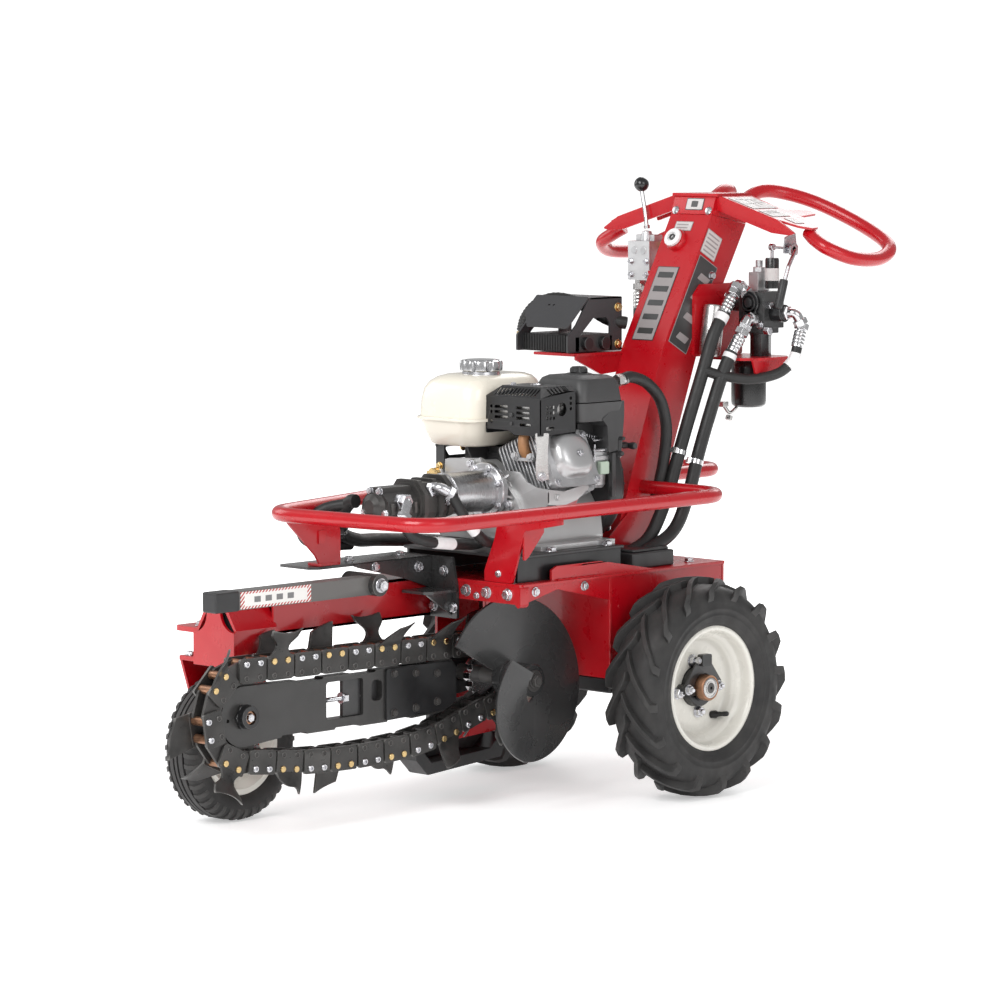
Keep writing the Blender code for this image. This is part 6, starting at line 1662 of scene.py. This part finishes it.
def framed_panel(name, corner, across, up, width, height, bars=(), body="chassis", ground=None, ink=None,
                 skew=0.0):
    """A printed panel without lettering: a border, a ground and a few plain bars."""
    across, up = Vector(across).normalized(), Vector(up).normalized()
    normal = across.cross(up)
    corner = Vector(corner)

    def layer(low, high, lift, slant=0.0):
        outline = [(low[0], low[1]), (high[0], low[1]), (high[0] + slant, high[1]),
                   (low[0] + slant, high[1])]
        return panel(rounded(outline, 0.0015, 2), corner + normal * lift, across, up, 0.0003)

    edge = 0.0016
    piece(name + "_border", layer((0, 0), (width, height), 0.0006, skew),
          WHITE_BAND if ink is None else ink, body)
    grow = skew * (height - 2 * edge) / height
    piece(name + "_ground", layer((edge, edge), (width - edge, height - edge), 0.001, grow),
          BLACK if ground is None else ground, body)
    marks = [layer(low, high, 0.0014, slant) for low, high, slant in bars]
    if marks:
        piece(name + "_bars", marks, WHITE_BAND if ink is None else ink, body)


def mast():
    """Bent box mast with its shelf, arm and cradle."""
    (fx, fz), (bx, bz), (tx, tz) = (0.026, 0.4203), (MAST_BEND.x, MAST_BEND.z), (MAST_TOP.x, MAST_TOP.z)
    column = [(fx, fz), (bx, bz), (tx, tz), (tx - 0.1, tz - 0.02), (bx - 0.1, bz - 0.01), (fx - 0.1, fz)]
    lip = rounded([(-0.148, 0.812), (-0.148, 0.776), (-0.06, 0.77), (0.01, 0.8), (0.01, 0.812)], 0.003)
    arm = rounded([(-0.345, 0.802), (-0.205, 0.802), (-0.205, 0.92), (-0.225, 0.94), (-0.325, 0.94),
                   (-0.345, 0.92)], 0.006)
    cradle = rounded([(-0.36, 0.05), (-0.235, 0.05), (-0.235, 0.15), (-0.262, 0.18), (-0.34, 0.18),
                      (-0.36, 0.16)], 0.006)
    flap = rounded([(-0.345, 0.8), (-0.24, 0.8), (-0.25, 0.772), (-0.33, 0.772)], 0.004)
    shelf = rounded([(-0.15, -0.1625), (0.01, -0.1625), (0.01, -0.0475), (-0.15, -0.0475)], 0.004)
    tab = rounded([(-0.292, -0.09), (-0.235, -0.09), (-0.235, -0.05), (-0.292, -0.05)], 0.004)
    parts = [sheet(rounded(column, [0, 0.03, 0.002, 0.002, 0.03, 0], 5), "XZ", -MAST_HALF, MAST_HALF),
             sheet(lip, "XZ", -0.054, -0.049), sheet(shelf, "XY", 0.8065, 0.8118),
             sheet(tab, "XY", 0.9555, 0.9615), sheet(arm, "XZ", 0.05, 0.0597),
             sheet(cradle, "XY", 0.7965, 0.8018), sheet(flap, "XZ", 0.172, 0.176)]
    piece("mast_column", parts, RED, "chassis", ["mast"], bevel=0.0022, segments=3)


def mast_panels():
    """Printed panels on the mast's front and left side."""
    base = MAST_BEND + MAST_UP * 0.016 + MAST_OUT * 0.0003
    bars = [((0.008, 0.014 + 0.03 * k), (0.046, 0.026 + 0.03 * k), 0.0) for k in range(5)]
    framed_panel("mast_front_panel", base + Vector((0, -0.034, 0)), (0, 1, 0), MAST_UP, 0.054, 0.158, bars,
                 ground=PANEL_GREY, ink=BLACK)
    side = MAST_BEND + MAST_UP * 0.012 + Vector((-0.01, MAST_HALF + 0.0003, 0.004))
    bars = [((0.014, 0.016 + 0.042 * k), (0.044, 0.03 + 0.042 * k), 0.006) for k in range(4)]
    framed_panel("mast_side_panel", side, -MAST_OUT, MAST_UP, 0.058, 0.186, bars, ground=BLACK,
                 ink=PANEL_GREY)
    place = MAST_BEND + MAST_UP * 0.206 + Vector((-0.006, MAST_HALF + 0.0003, 0.003))
    bars = [((0.005, 0.006 + 0.0085 * k), (0.04, 0.009 + 0.0085 * k), 0.0) for k in range(5)]
    framed_panel("mast_side_notice", place, -MAST_OUT, MAST_UP, 0.046, 0.05, bars, ground=PANEL_PALE,
                 ink=PANEL_GREY)
    place = MAST_BEND + MAST_UP * 0.252 + MAST_OUT * 0.0003
    bars = [((0.005, 0.005), (0.034, 0.0075), 0.0), ((0.005, 0.0115), (0.034, 0.014), 0.0)]
    framed_panel("mast_front_notice", place + Vector((0, -0.03, 0)), (0, 1, 0), MAST_UP, 0.044, 0.02, bars,
                 ground=PANEL_PALE, ink=PANEL_GREY)


def mast_fittings():
    """Oil filler plug, foot gussets and side bolts."""
    plug = Vector((-0.234, -0.012, 1.0216))
    piece("filler_boss", facing(lathe([(0, -0.002), (0.0225, -0.002), (0.0225, 0.004), (0.02, 0.009),
                                       (0.015, 0.01), (0, 0.01)], sides=48), plug, MAST_OUT), RED,
          "chassis")
    cap = [(0, 0.01), (0.0175, 0.01), (0.0185, 0.0112), (0.0185, 0.0165), (0.017, 0.018), (0.01, 0.0185),
           (0.0095, 0.015), (0, 0.015)]
    piece("filler_plug_cap", facing(lathe(cap, sides=48), plug, MAST_OUT), WHITE_BAND, "filler_plug",
          ["fill_plug"])
    piece("filler_plug_socket", facing(hex_prism(0.0072, 0.0148, 0.0182, 0.0038), plug, MAST_OUT),
          GREY_PLASTIC, "filler_plug")
    gussets = []
    for side_y in (-0.056, 0.053):
        gussets.append(sheet(rounded([(0.086, 0.4205), (0.072, 0.436), (-0.022, 0.515), (-0.066, 0.515),
                                      (-0.024, 0.4205)], 0.004), "XZ", side_y, side_y + 0.003))
    piece("mast_foot_gussets", gussets, RED, "chassis", bevel=0.0008)
    piece("mast_side_bolts", [bolt((-0.262, MAST_HALF, 0.955), (0, 1, 0), 0.008),
                              bolt((-0.3, 0.0597, 0.915), (0, 1, 0), 0.008),
                              bolt((-0.262, 0.0597, 0.88), (0, 1, 0), 0.008)], ZINC, "chassis", bevel=FINE)


WING_SLOPE = math.radians(16.45)     # how far the gull wings droop
WING_PLACE = Matrix.Translation((0.0, 0.0535, 1.1095)) @ Matrix.Rotation(-WING_SLOPE, 4, "X")


def handlebar():
    """Cap on the mast, gull wings and the two hand loops."""
    cap = rounded([(-0.2615, 1.0724), (-0.274, 1.1075), (-0.366, 1.1075), (-0.362, 1.0526)],
                  [0.001, 0.006, 0.003, 0.001])
    parts = [sheet(cap, "XZ", -0.052, 0.052), box((-0.372, -0.058, 1.1065), (-0.272, 0.058, 1.1122))]
    piece("handlebar_cap", parts, RED, "chassis", ["handlebar"], bevel=0.0016)
    top = [(-0.366, 0.0), (-0.279, 0.0), (-0.279, 0.15), (-0.296, 0.196), (-0.318, 0.212), (-0.34, 0.208),
           (-0.352, 0.176), (-0.366, 0.15)]
    lip = rounded([(0.0, 0.0), (0.16, 0.0), (0.206, -0.012), (0.19, -0.02), (0.15, -0.028), (0.0, -0.028)],
                  0.003)
    plate = join(sheet(rounded(top, 0.004), "XY", -0.0045, 0.0),
                 panel(lip, (-0.2775, 0.0, -0.0005), (0, 1, 0), (0, 0, 1), 0.0045),
                 panel(rounded([(0.0, 0.0), (0.135, 0.0), (0.135, -0.018), (0.0, -0.018)], 0.003),
                       (-0.3615, 0.0, -0.0005), (0, 1, 0), (0, 0, 1), 0.004),
                 sheet(rounded([(-0.366, 0.096), (-0.366, 0.14), (-0.426, 0.128), (-0.426, 0.108)], 0.006),
                       "XY", -0.004, 0.0))
    wing = moved(plate, WING_PLACE)
    knots = [(-0.33, 0.238, 1.04), (-0.322, 0.262, 1.026), (-0.326, 0.292, 1.01), (-0.372, 0.315, 0.992),
             (-0.45, 0.313, 0.99), (-0.505, 0.292, 1.011), (-0.52, 0.22, 1.046), (-0.497, 0.13, 1.088),
             (-0.458, 0.072, 1.11), (-0.412, 0.048, 1.114), (-0.362, 0.04, 1.094)]
    loop = tube(smooth(knots, 9), FRAME_TUBE, 28)
    piece("handlebar_wings", [wing, mirrored(wing)], RED, "chassis", bevel=0.0009)
    piece("handlebar_loops", [loop, mirrored(loop)], RED, "chassis", sharp=60)


def wing_panels():
    """Printed panels on the left wing and the cap, and the cap's bolts."""
    across, up = Vector((0.0, math.cos(WING_SLOPE), -math.sin(WING_SLOPE))), Vector((-1.0, 0.0, 0.0))
    place = WING_PLACE @ Vector((-0.284, 0.02, 0.0))
    bars = [((0.012, 0.01), (0.0135, 0.064), 0.006), ((0.04, 0.01), (0.0415, 0.064), -0.006),
            ((0.008, 0.03), (0.06, 0.0313), 0.0), ((0.02, 0.046), (0.05, 0.0472), 0.0)]
    framed_panel("wing_panel", place, across, up, 0.07, 0.072, bars, ground=PANEL_PALE, ink=PANEL_GREY)
    place = WING_PLACE @ Vector((-0.284, 0.1, 0.0))
    bars = [((0.006, 0.006), (0.01, 0.046), 0.0), ((0.016, 0.006), (0.018, 0.046), 0.0)]
    framed_panel("wing_notice", place, across, up, 0.04, 0.052, bars, ground=PANEL_PALE, ink=PANEL_GREY)
    place = WING_PLACE @ Vector((-0.302, 0.15, 0.0))
    framed_panel("wing_strip", place, across, up, 0.034, 0.026, (), ground=PANEL_PALE, ink=PANEL_GREY)
    slope = Vector((-0.274, 0, 1.1075)) - Vector((-0.2615, 0, 1.0724))
    place = Vector((-0.264, -0.018, 1.08))
    framed_panel("cap_panel", place, (0, 1, 0), slope, 0.044, 0.024, [((0.014, 0.006), (0.03, 0.018), 0.0)],
                 ground=PANEL_PALE, ink=GREY_PLASTIC)
    out = Vector((slope.z, 0, -slope.x)).normalized()
    bolts = [facing(lathe([(0, 0), (0.0082, 0), (0.0082, 0.002), (0.0055, 0.0048), (0, 0.0058)], sides=28),
                    (-0.265, y, 1.079), out) for y in (-0.042, 0.042)]
    piece("cap_bolts", bolts, ZINC, "chassis")


def ferrule(place, direction, radius=0.0125, length=0.042):
    """Crimped hose end: a nut, a collar and a ridged sleeve."""
    profile = [(0, 0), (radius * 0.7, 0), (radius * 0.7, length * 0.25), (radius, length * 0.28)]
    for k in range(4):
        start = length * (0.32 + 0.16 * k)
        profile += [(radius, start), (radius * 1.06, start + length * 0.04),
                    (radius, start + length * 0.09)]
    profile += [(radius, length), (0, length)]
    return join(facing(lathe(profile, sides=28), place, direction),
                facing(hex_prism(radius * 1.18, -0.004, 0.009), place, direction))


def hose(name, knots, radius, tags=(), steps=9, stands_for=()):
    """A rubber hose through the knots, with blank tags at the given shares of its length."""
    path = smooth(knots, steps)
    piece(name, tube(path, radius, 24), HOSE, "chassis", list(stands_for), sharp=60)
    bands = []
    for start, stop in tags:
        first, last = int(start * (len(path) - 1)), max(int(stop * (len(path) - 1)),
                                                        int(start * (len(path) - 1)) + 2)
        bands.append(tube(path[first:last], radius + 0.0009, 24))
    if bands:
        piece(name + "_tags", bands, WHITE_BAND, "chassis", sharp=50)


def drive_valve():
    """Black valve block with its foot on the mast's left side."""
    body = [box((-0.35, 0.096, 0.856), (-0.292, 0.16, 0.926)),
            rod((-0.322, 0.172, 0.885), 0.017, 0.03, "Y", 36),
            rod((-0.322, 0.078, 0.9), 0.015, 0.036, "Y", 32),
            rod((-0.316, 0.128, 0.905), 0.022, 0.062, "X", 40),
            rod((-0.3, 0.13, 0.88), 0.0165, 0.03, "X", 32)]
    piece("valve_block", body, GLOSS_BLACK, "chassis", ["drive_valve"], bevel=0.004, segments=3)
    ring = [lathe([(0.0135, 0), (0.017, 0), (0.0165, 0.003), (0.014, 0.003)], (-0.2845, 0.128, 0.905), "X",
                  36, True), lathe([(0, 0), (0.01, 0), (0.009, 0.004), (0, 0.005)], (-0.2845, 0.128, 0.905),
                                   "X", 28)]
    piece("valve_port_ring", ring, BLACK, "chassis", bevel=0.0005)
    foot = [lathe([(0, 0.79), (0.014, 0.79), (0.019, 0.795), (0.0205, 0.8), (0.0205, 0.84), (0.023, 0.846),
                   (0.023, 0.858), (0, 0.858)], (-0.315, 0.132, 0), sides=8),
            box((-0.338, 0.106, 0.846), (-0.292, 0.158, 0.858))]
    piece("valve_foot", foot, GLOSS_BLACK, "chassis", bevel=0.0014)


def valve_spool():
    """Spool canister with its pale band, and the relief block beside it."""
    spool = (-0.338, 0.14, 0)
    piece("spool_canister", lathe([(0, 0.931), (0.0132, 0.931), (0.0134, 0.934), (0.0134, 0.986),
                                   (0.012, 0.9895), (0, 0.99)], spool, sides=40), GLOSS_BLACK,
          "valve_spool", ["drive_valve_spool"])
    piece("spool_band", lathe([(0.0134, 0.946), (0.0139, 0.946), (0.0139, 0.97), (0.0134, 0.97)], spool,
                              "Z", 40, True), PANEL_PALE, "valve_spool")
    piece("spool_rod", [rod((-0.338, 0.14, 1.0), 0.0032, 0.022, "Z", 16),
                        rod((-0.338, 0.14, 1.01), 0.0072, 0.009, "Y", 20)], ZINC, "valve_spool",
          bevel=0.0005)
    parts = [box((-0.352, 0.098, 0.926), (-0.318, 0.122, 0.962)),
             facing(hex_prism(0.0125, 0, 0.01), (-0.335, 0.11, 0.962), (0, 0, 1)),
             rod((-0.335, 0.11, 0.978), 0.007, 0.014, "Z", 24)]
    piece("relief_block", parts, CAST, "chassis", bevel=0.0015)


def valve_elbows():
    """Elbows, crimped hose ends, plugs and the return canister."""
    upper = bent([(-0.296, 0.112, 0.918), (-0.28, 0.108, 0.945), (-0.262, 0.11, 0.925)], 0.012)
    lower = bent([(-0.292, 0.14, 0.872), (-0.268, 0.14, 0.876), (-0.252, 0.14, 0.852)], 0.01)
    right = bent([(-0.322, 0.184, 0.885), (-0.33, 0.206, 0.887), (-0.342, 0.212, 0.862)], 0.012)
    parts = [tube(path, 0.0098, 20) for path in (upper, lower, right)]
    for place, direction in (((-0.292, 0.111, 0.926), (0.5, 0, 0.86)),
                             ((-0.268, 0.109, 0.934), (0.6, 0, -0.8)), ((-0.28, 0.14, 0.874), (1, 0, 0)),
                             ((-0.256, 0.14, 0.858), (0.5, 0, -0.85)), ((-0.324, 0.19, 0.886), (0, 1, 0)),
                             ((-0.339, 0.211, 0.868), (-0.4, 0.2, -0.9))):
        parts.append(facing(hex_prism(0.014, -0.006, 0.006), place, direction))
    piece("valve_elbows", parts, CHROME, "chassis", bevel=0.0006)
    ends = [ferrule((-0.262, 0.11, 0.925), (0.62, 0, -0.78), 0.012, 0.05),
            ferrule((-0.252, 0.14, 0.852), (0.52, -0.1, -0.85), 0.012, 0.046),
            ferrule((-0.342, 0.212, 0.862), (0.35, 0.02, -0.93), 0.0115, 0.044)]
    piece("hose_ferrules", ends, CHROME, "chassis", bevel=0.0004)
    small = [bolt((-0.292, 0.15, 0.862), (1, 0, 0), 0.007), bolt((-0.292, 0.106, 0.864), (1, 0, 0), 0.006),
             facing(hex_prism(0.008, 0, 0.012), (-0.296, 0.16, 0.852), (0, 1, 0)),
             facing(hex_prism(0.007, 0, 0.008), (-0.305, 0.16, 0.9), (0, 1, 0))]
    piece("valve_plugs", small, ZINC, "chassis", bevel=FINE)
    cylinder_path = [(-0.238, 0.082, 0.9), (-0.222, 0.082, 0.8)]
    piece("return_canister", [facing(lathe([(0, 0), (0.019, 0), (0.021, 0.004), (0.021, 0.092),
                                            (0.018, 0.098), (0, 0.098)], sides=40), cylinder_path[0],
                                     Vector(cylinder_path[1]) - Vector(cylinder_path[0]))], BARE_STEEL,
          "chassis")


def left_lever():
    """Travel lever beside the drive valve, its bracket and its link to the spool."""
    arm = rounded([(-0.35, 0.996), (-0.33, 0.996), (-0.33, 1.014), (-0.346, 1.02), (-0.352, 1.012)], 0.004)
    shank = bent([(-0.341, 0.196, 1.006), (-0.318, 0.198, 0.975), (-0.297, 0.2, 0.93)], 0.01, 6)
    piece("travel_lever", [sheet(arm, "XZ", 0.1885, 0.1935), tube(shank, 0.004, 14)], ZINC, "travel_lever",
          ["drive_lever"], bevel=0.0006)
    grip = facing(lathe([(0, 0), (0.0078, 0), (0.0085, 0.004), (0.008, 0.05), (0.0065, 0.056), (0, 0.057)],
                        sides=28), (-0.3035, 0.1995, 0.95), (0.3, 0.0, -0.95))
    piece("travel_lever_grip", grip, PLASTIC, "travel_lever")
    bracket = rounded([(-0.362, 0.999), (-0.322, 0.999), (-0.326, 1.03), (-0.356, 1.04)], 0.004)
    piece("lever_bracket", [sheet(bracket, "XZ", 0.18, 0.183),
                            rod((-0.34, 0.1855, 1.008), 0.006, 0.016, "Y", 24)], ZINC, "chassis",
          bevel=0.0006)
    link = [(-0.338, 0.148, 1.01), (-0.34, 0.17, 1.009), (-0.341, 0.187, 1.008)]
    piece("spool_link", tube(link, 0.0026, 12), ZINC, "valve_spool")


def right_valve():
    """Lift valve with its ball-knob lever on the mast's right side."""
    body = [box((-0.291, -0.148, 0.942), (-0.243, -0.092, 1.018)),
            box((-0.286, -0.144, 1.018), (-0.262, -0.096, 1.03)),
            rod((-0.252, -0.132, 1.0), 0.008, 0.02, "X", 24),
            rod((-0.252, -0.108, 1.0), 0.008, 0.02, "X", 24),
            lathe([(0, 1.018), (0.013, 1.018), (0.012, 1.028), (0.0085, 1.037), (0, 1.038)],
                  (-0.266, -0.119, 0), sides=32)]
    piece("lift_valve_block", body, CAST, "chassis", ["control_valve"], bevel=0.0022, segments=3)
    fittings = [facing(hex_prism(0.013, 0, 0.014), (-0.262, -0.13, 0.942), (0, 0, -1)),
                facing(hex_prism(0.013, 0, 0.014), (-0.27, -0.104, 0.942), (0, 0, -1)),
                ferrule((-0.258, -0.131, 0.93), (0.05, 0, -1), 0.011, 0.044)]
    piece("lift_valve_fittings", fittings, BARE_STEEL, "chassis", bevel=0.0005)
    piece("lift_valve_relief", [facing(hex_prism(0.009, 0, 0.01), (-0.286, -0.092, 1.008), (0, 1, 0)),
                                rod((-0.286, -0.078, 1.008), 0.0052, 0.012, "Y", 20)], YELLOW_ZINC,
          "chassis", bevel=0.0004)
    piece("lift_valve_bolts", [bolt((-0.243, y, z), (1, 0, 0), 0.006) for y in (-0.14, -0.1)
                               for z in (0.952, 0.978)], ZINC, "chassis", bevel=FINE)
    stem = tube([(-0.266, -0.119, 1.0415), (-0.268, -0.125, 1.072), (-0.271, -0.1375, 1.116)], 0.004, 16)
    piece("lift_lever_stem", [stem, facing(hex_prism(0.0062, 0, 0.007), (-0.266, -0.119, 1.0415),
                                           (-0.03, -0.12, 1))], CHROME, "lift_lever", ["ball_lever"],
          bevel=FINE)
    ball = [(0.0145 * math.sin(math.radians(a)), -0.0145 * math.cos(math.radians(a)))
            for a in range(0, 181, 12)]
    piece("lift_lever_knob", lathe(ball, (-0.271, -0.138, 1.1275), "Z", 40), GLOSS_BLACK, "lift_lever")


def filter_and_hoses():
    """Filter can under the valve and the hoses down the mast."""
    filt = [(0, 0.7035), (0.02, 0.7035), (0.028, 0.705), (0.0325, 0.709), (0.0335, 0.716), (0.0335, 0.78),
            (0.032, 0.786), (0.028, 0.7935), (0, 0.7935)]
    piece("filter_can", lathe(filt, (-0.3, 0.115, 0.0), "Z", 56), GLOSS_BLACK, "chassis", ["oil_filter"])
    piece("drain_stem", [tube(bent([(-0.278, 0.105, 0.704), (-0.262, 0.1, 0.69), (-0.246, 0.096, 0.712)],
                                   0.01, 6), 0.0035, 12), facing(hex_prism(0.007, 0, 0.009),
                         (-0.262, 0.1, 0.688), (0.4, 0, -1)),
                         box((-0.252, 0.088, 0.706), (-0.236, 0.106, 0.716))], BARE_STEEL, "chassis",
          bevel=0.0005)
    hose("left_hose_upper", [(-0.234, 0.11, 0.888), (-0.205, 0.108, 0.845), (-0.176, 0.106, 0.775),
                             (-0.14, 0.104, 0.69), (-0.11, 0.1, 0.61), (-0.085, 0.098, 0.545),
                             (-0.04, 0.094, 0.47), (0.025, 0.09, 0.44)], 0.0125, ((0.02, 0.08),),
         stands_for=["front_drive_hose"])
    hose("left_hose_lower", [(-0.228, 0.134, 0.814), (-0.205, 0.13, 0.77), (-0.176, 0.126, 0.7),
                             (-0.148, 0.122, 0.625), (-0.122, 0.12, 0.55), (-0.08, 0.118, 0.48),
                             (0.01, 0.114, 0.44)], 0.0125, ((0.02, 0.09),), stands_for=["rear_drive_hose"])
    hose("valve_return_hose", [(-0.328, 0.213, 0.822), (-0.318, 0.21, 0.796), (-0.29, 0.196, 0.772),
                               (-0.245, 0.165, 0.762), (-0.2, 0.13, 0.77), (-0.176, 0.108, 0.78)], 0.01,
         ((0.1, 0.32),))
    hose("right_hose", [(-0.256, -0.131, 0.89), (-0.25, -0.126, 0.85), (-0.232, -0.108, 0.8),
                        (-0.205, -0.084, 0.74), (-0.15, -0.075, 0.64), (-0.1, -0.074, 0.54),
                        (-0.04, -0.074, 0.462), (0.01, -0.074, 0.436)], 0.0105)
    hose("mast_arch_hose", [(0.034, 0.092, 0.772), (0.01, 0.092, 0.775), (-0.03, 0.092, 0.763),
                            (-0.068, 0.09, 0.735), (-0.088, 0.088, 0.7), (-0.096, 0.086, 0.66),
                            (-0.088, 0.084, 0.6), (-0.072, 0.08, 0.54)], 0.011)
    piece("arch_hose_end", [ferrule((0.048, 0.092, 0.77), (-1, 0, 0.1), 0.0105, 0.022)], BARE_STEEL,
          "chassis")
    hose("suction_line", [(0.592, -0.048, 0.572), (0.592, -0.062, 0.57), (0.59, -0.084, 0.548),
                          (0.575, -0.106, 0.512), (0.51, -0.132, 0.49), (0.43, -0.158, 0.482),
                          (0.3, -0.172, 0.47), (0.12, -0.178, 0.45), (0.028, -0.152, 0.436)], 0.0125,
         stands_for=["suction_hose"])
    clamps = [clamp((-0.1165, 0.101, 0.626), (0.35, 0, -0.93), 0.0125),
              clamp((-0.142, 0.1215, 0.607), (0.35, 0, -0.93), 0.0125),
              clamp((0.578, -0.102, 0.517), (-0.4, -0.5, -0.7), 0.0125)]
    piece("hose_clamps", clamps, CHROME, "chassis", bevel=0.0002)


def carry_over_the_rest():
    """Every CAD node that is still shown gets the finish of its material slot."""
    slots = {entry["node"]: entry["material_slot"] for entry in frame["record"]["subparts"]}
    for name, obj in frame["nodes"].items():
        if not obj.hide_render and not obj.modifiers:
            keep_cad(name, SLOT_FINISH.get(slots.get(name), RED))


# ---------------------------------------------------------------- everything, in order
drive_wheel("left", 1)
drive_wheel("right", -1)
front_tyre()
front_rim()
fork()
digging_chain()
boom_bar()
boom_nose()
chain_tension()
headshaft()
auger()
restraint_bar()
chassis()
rail_and_nose()
boom_bracket()
shoe()
fuel_tank()
muffler_guard()
silencer()
cylinder()
crankcase()
engine_shrouds()
fan_and_starter()
air_cleaner()
carburettor()
turned_adapter()
gear_pump()
oil_cooler()
cooler_guard()
mast()
mast_panels()
mast_fittings()
handlebar()
wing_panels()
drive_valve()
valve_spool()
valve_elbows()
left_lever()
right_valve()
filter_and_hoses()
guard_ring()
ring_posts()
pump_hoses()
carry_over_the_rest()


# ---------------------------------------------------------------- floor, light and camera
CAMERA_PLACE = Vector((5.821, 5.381, 1.2996))     # from the drive axle
CAMERA_AZIMUTH, CAMERA_ELEVATION = 134.1, 5.5
CAMERA_LENS = 151.2
SOFTBOXES = (                                     # name, place, size in metres, power in watts
    ("key", (3.6, 0.6, 3.2), 2.4, 125),
    ("fill", (0.8, 4.4, 2.6), 2.6, 54),
    ("rear", (-3.5, -1.5, 3.0), 2.5, 60),
    ("side", (1.5, -4.0, 2.5), 2.5, 45),
)


def studio():
    """Pale floor that turns white with distance, white surroundings and four soft lights."""
    bpy.ops.mesh.primitive_plane_add(size=14.0, location=(0, 0, 0))
    floor = bpy.context.object
    floor.name = "studio_floor"
    finish = Finish("studio_floor_paint", (0.93, 0.93, 0.93), 0.55).mottle((0.91, 0.91, 0.91), 1.5, 0.4)
    finish.shader.inputs["Emission Color"].default_value = (1.0, 1.0, 1.0, 1.0)
    distance = finish.nodes.new("ShaderNodeVectorMath")
    distance.operation = "LENGTH"
    finish.links.new(finish.coords, distance.inputs[0])
    glow = finish.spread(distance.outputs["Value"], 0.9, 2.4, 0.42, 1.0)
    finish.links.new(glow, finish.shader.inputs["Emission Strength"])
    floor.data.materials.append(finish.patchy(6, 0.06).done())
    world = bpy.data.worlds.new("studio")
    bpy.context.scene.world = world
    world.use_nodes = True
    nodes, links = world.node_tree.nodes, world.node_tree.links
    back = nodes["Background"]
    back.inputs["Color"].default_value = (1.0, 1.0, 1.0, 1.0)
    rays = nodes.new("ShaderNodeLightPath")
    strength = nodes.new("ShaderNodeMapRange")
    strength.inputs["To Min"].default_value = 0.42
    strength.inputs["To Max"].default_value = 1.15
    links.new(rays.outputs["Is Camera Ray"], strength.inputs["Value"])
    links.new(strength.outputs["Result"], back.inputs["Strength"])
    for name, place, size, power in SOFTBOXES:
        light = bpy.data.lights.new(name, "AREA")
        light.shape = "SQUARE"
        light.size = size
        light.energy = power
        lamp = bpy.data.objects.new(name + "_softbox", light)
        bpy.context.scene.collection.objects.link(lamp)
        lamp.location = place
        lamp.rotation_euler = (Vector((0.0, 0.0, 0.5)) - Vector(place)).to_track_quat("-Z", "Y").to_euler()


def camera():
    """Low three-quarter view from the front left."""
    azimuth, elevation = math.radians(CAMERA_AZIMUTH), math.radians(CAMERA_ELEVATION)
    back = Vector((math.sin(azimuth) * math.cos(elevation), -math.cos(azimuth) * math.cos(elevation),
                   math.sin(elevation)))
    data = bpy.data.cameras.new("camera")
    data.sensor_width = 36.0
    data.lens = CAMERA_LENS
    data.clip_end = 60.0
    cam = bpy.data.objects.new("camera", data)
    bpy.context.scene.collection.objects.link(cam)
    cam.location = ORIGIN + CAMERA_PLACE
    cam.rotation_euler = (-back).to_track_quat("-Z", "Y").to_euler()
    bpy.context.scene.camera = cam


studio()
camera()
bpy.context.scene.view_settings.view_transform = "Standard"
bpy.context.view_layer.update()
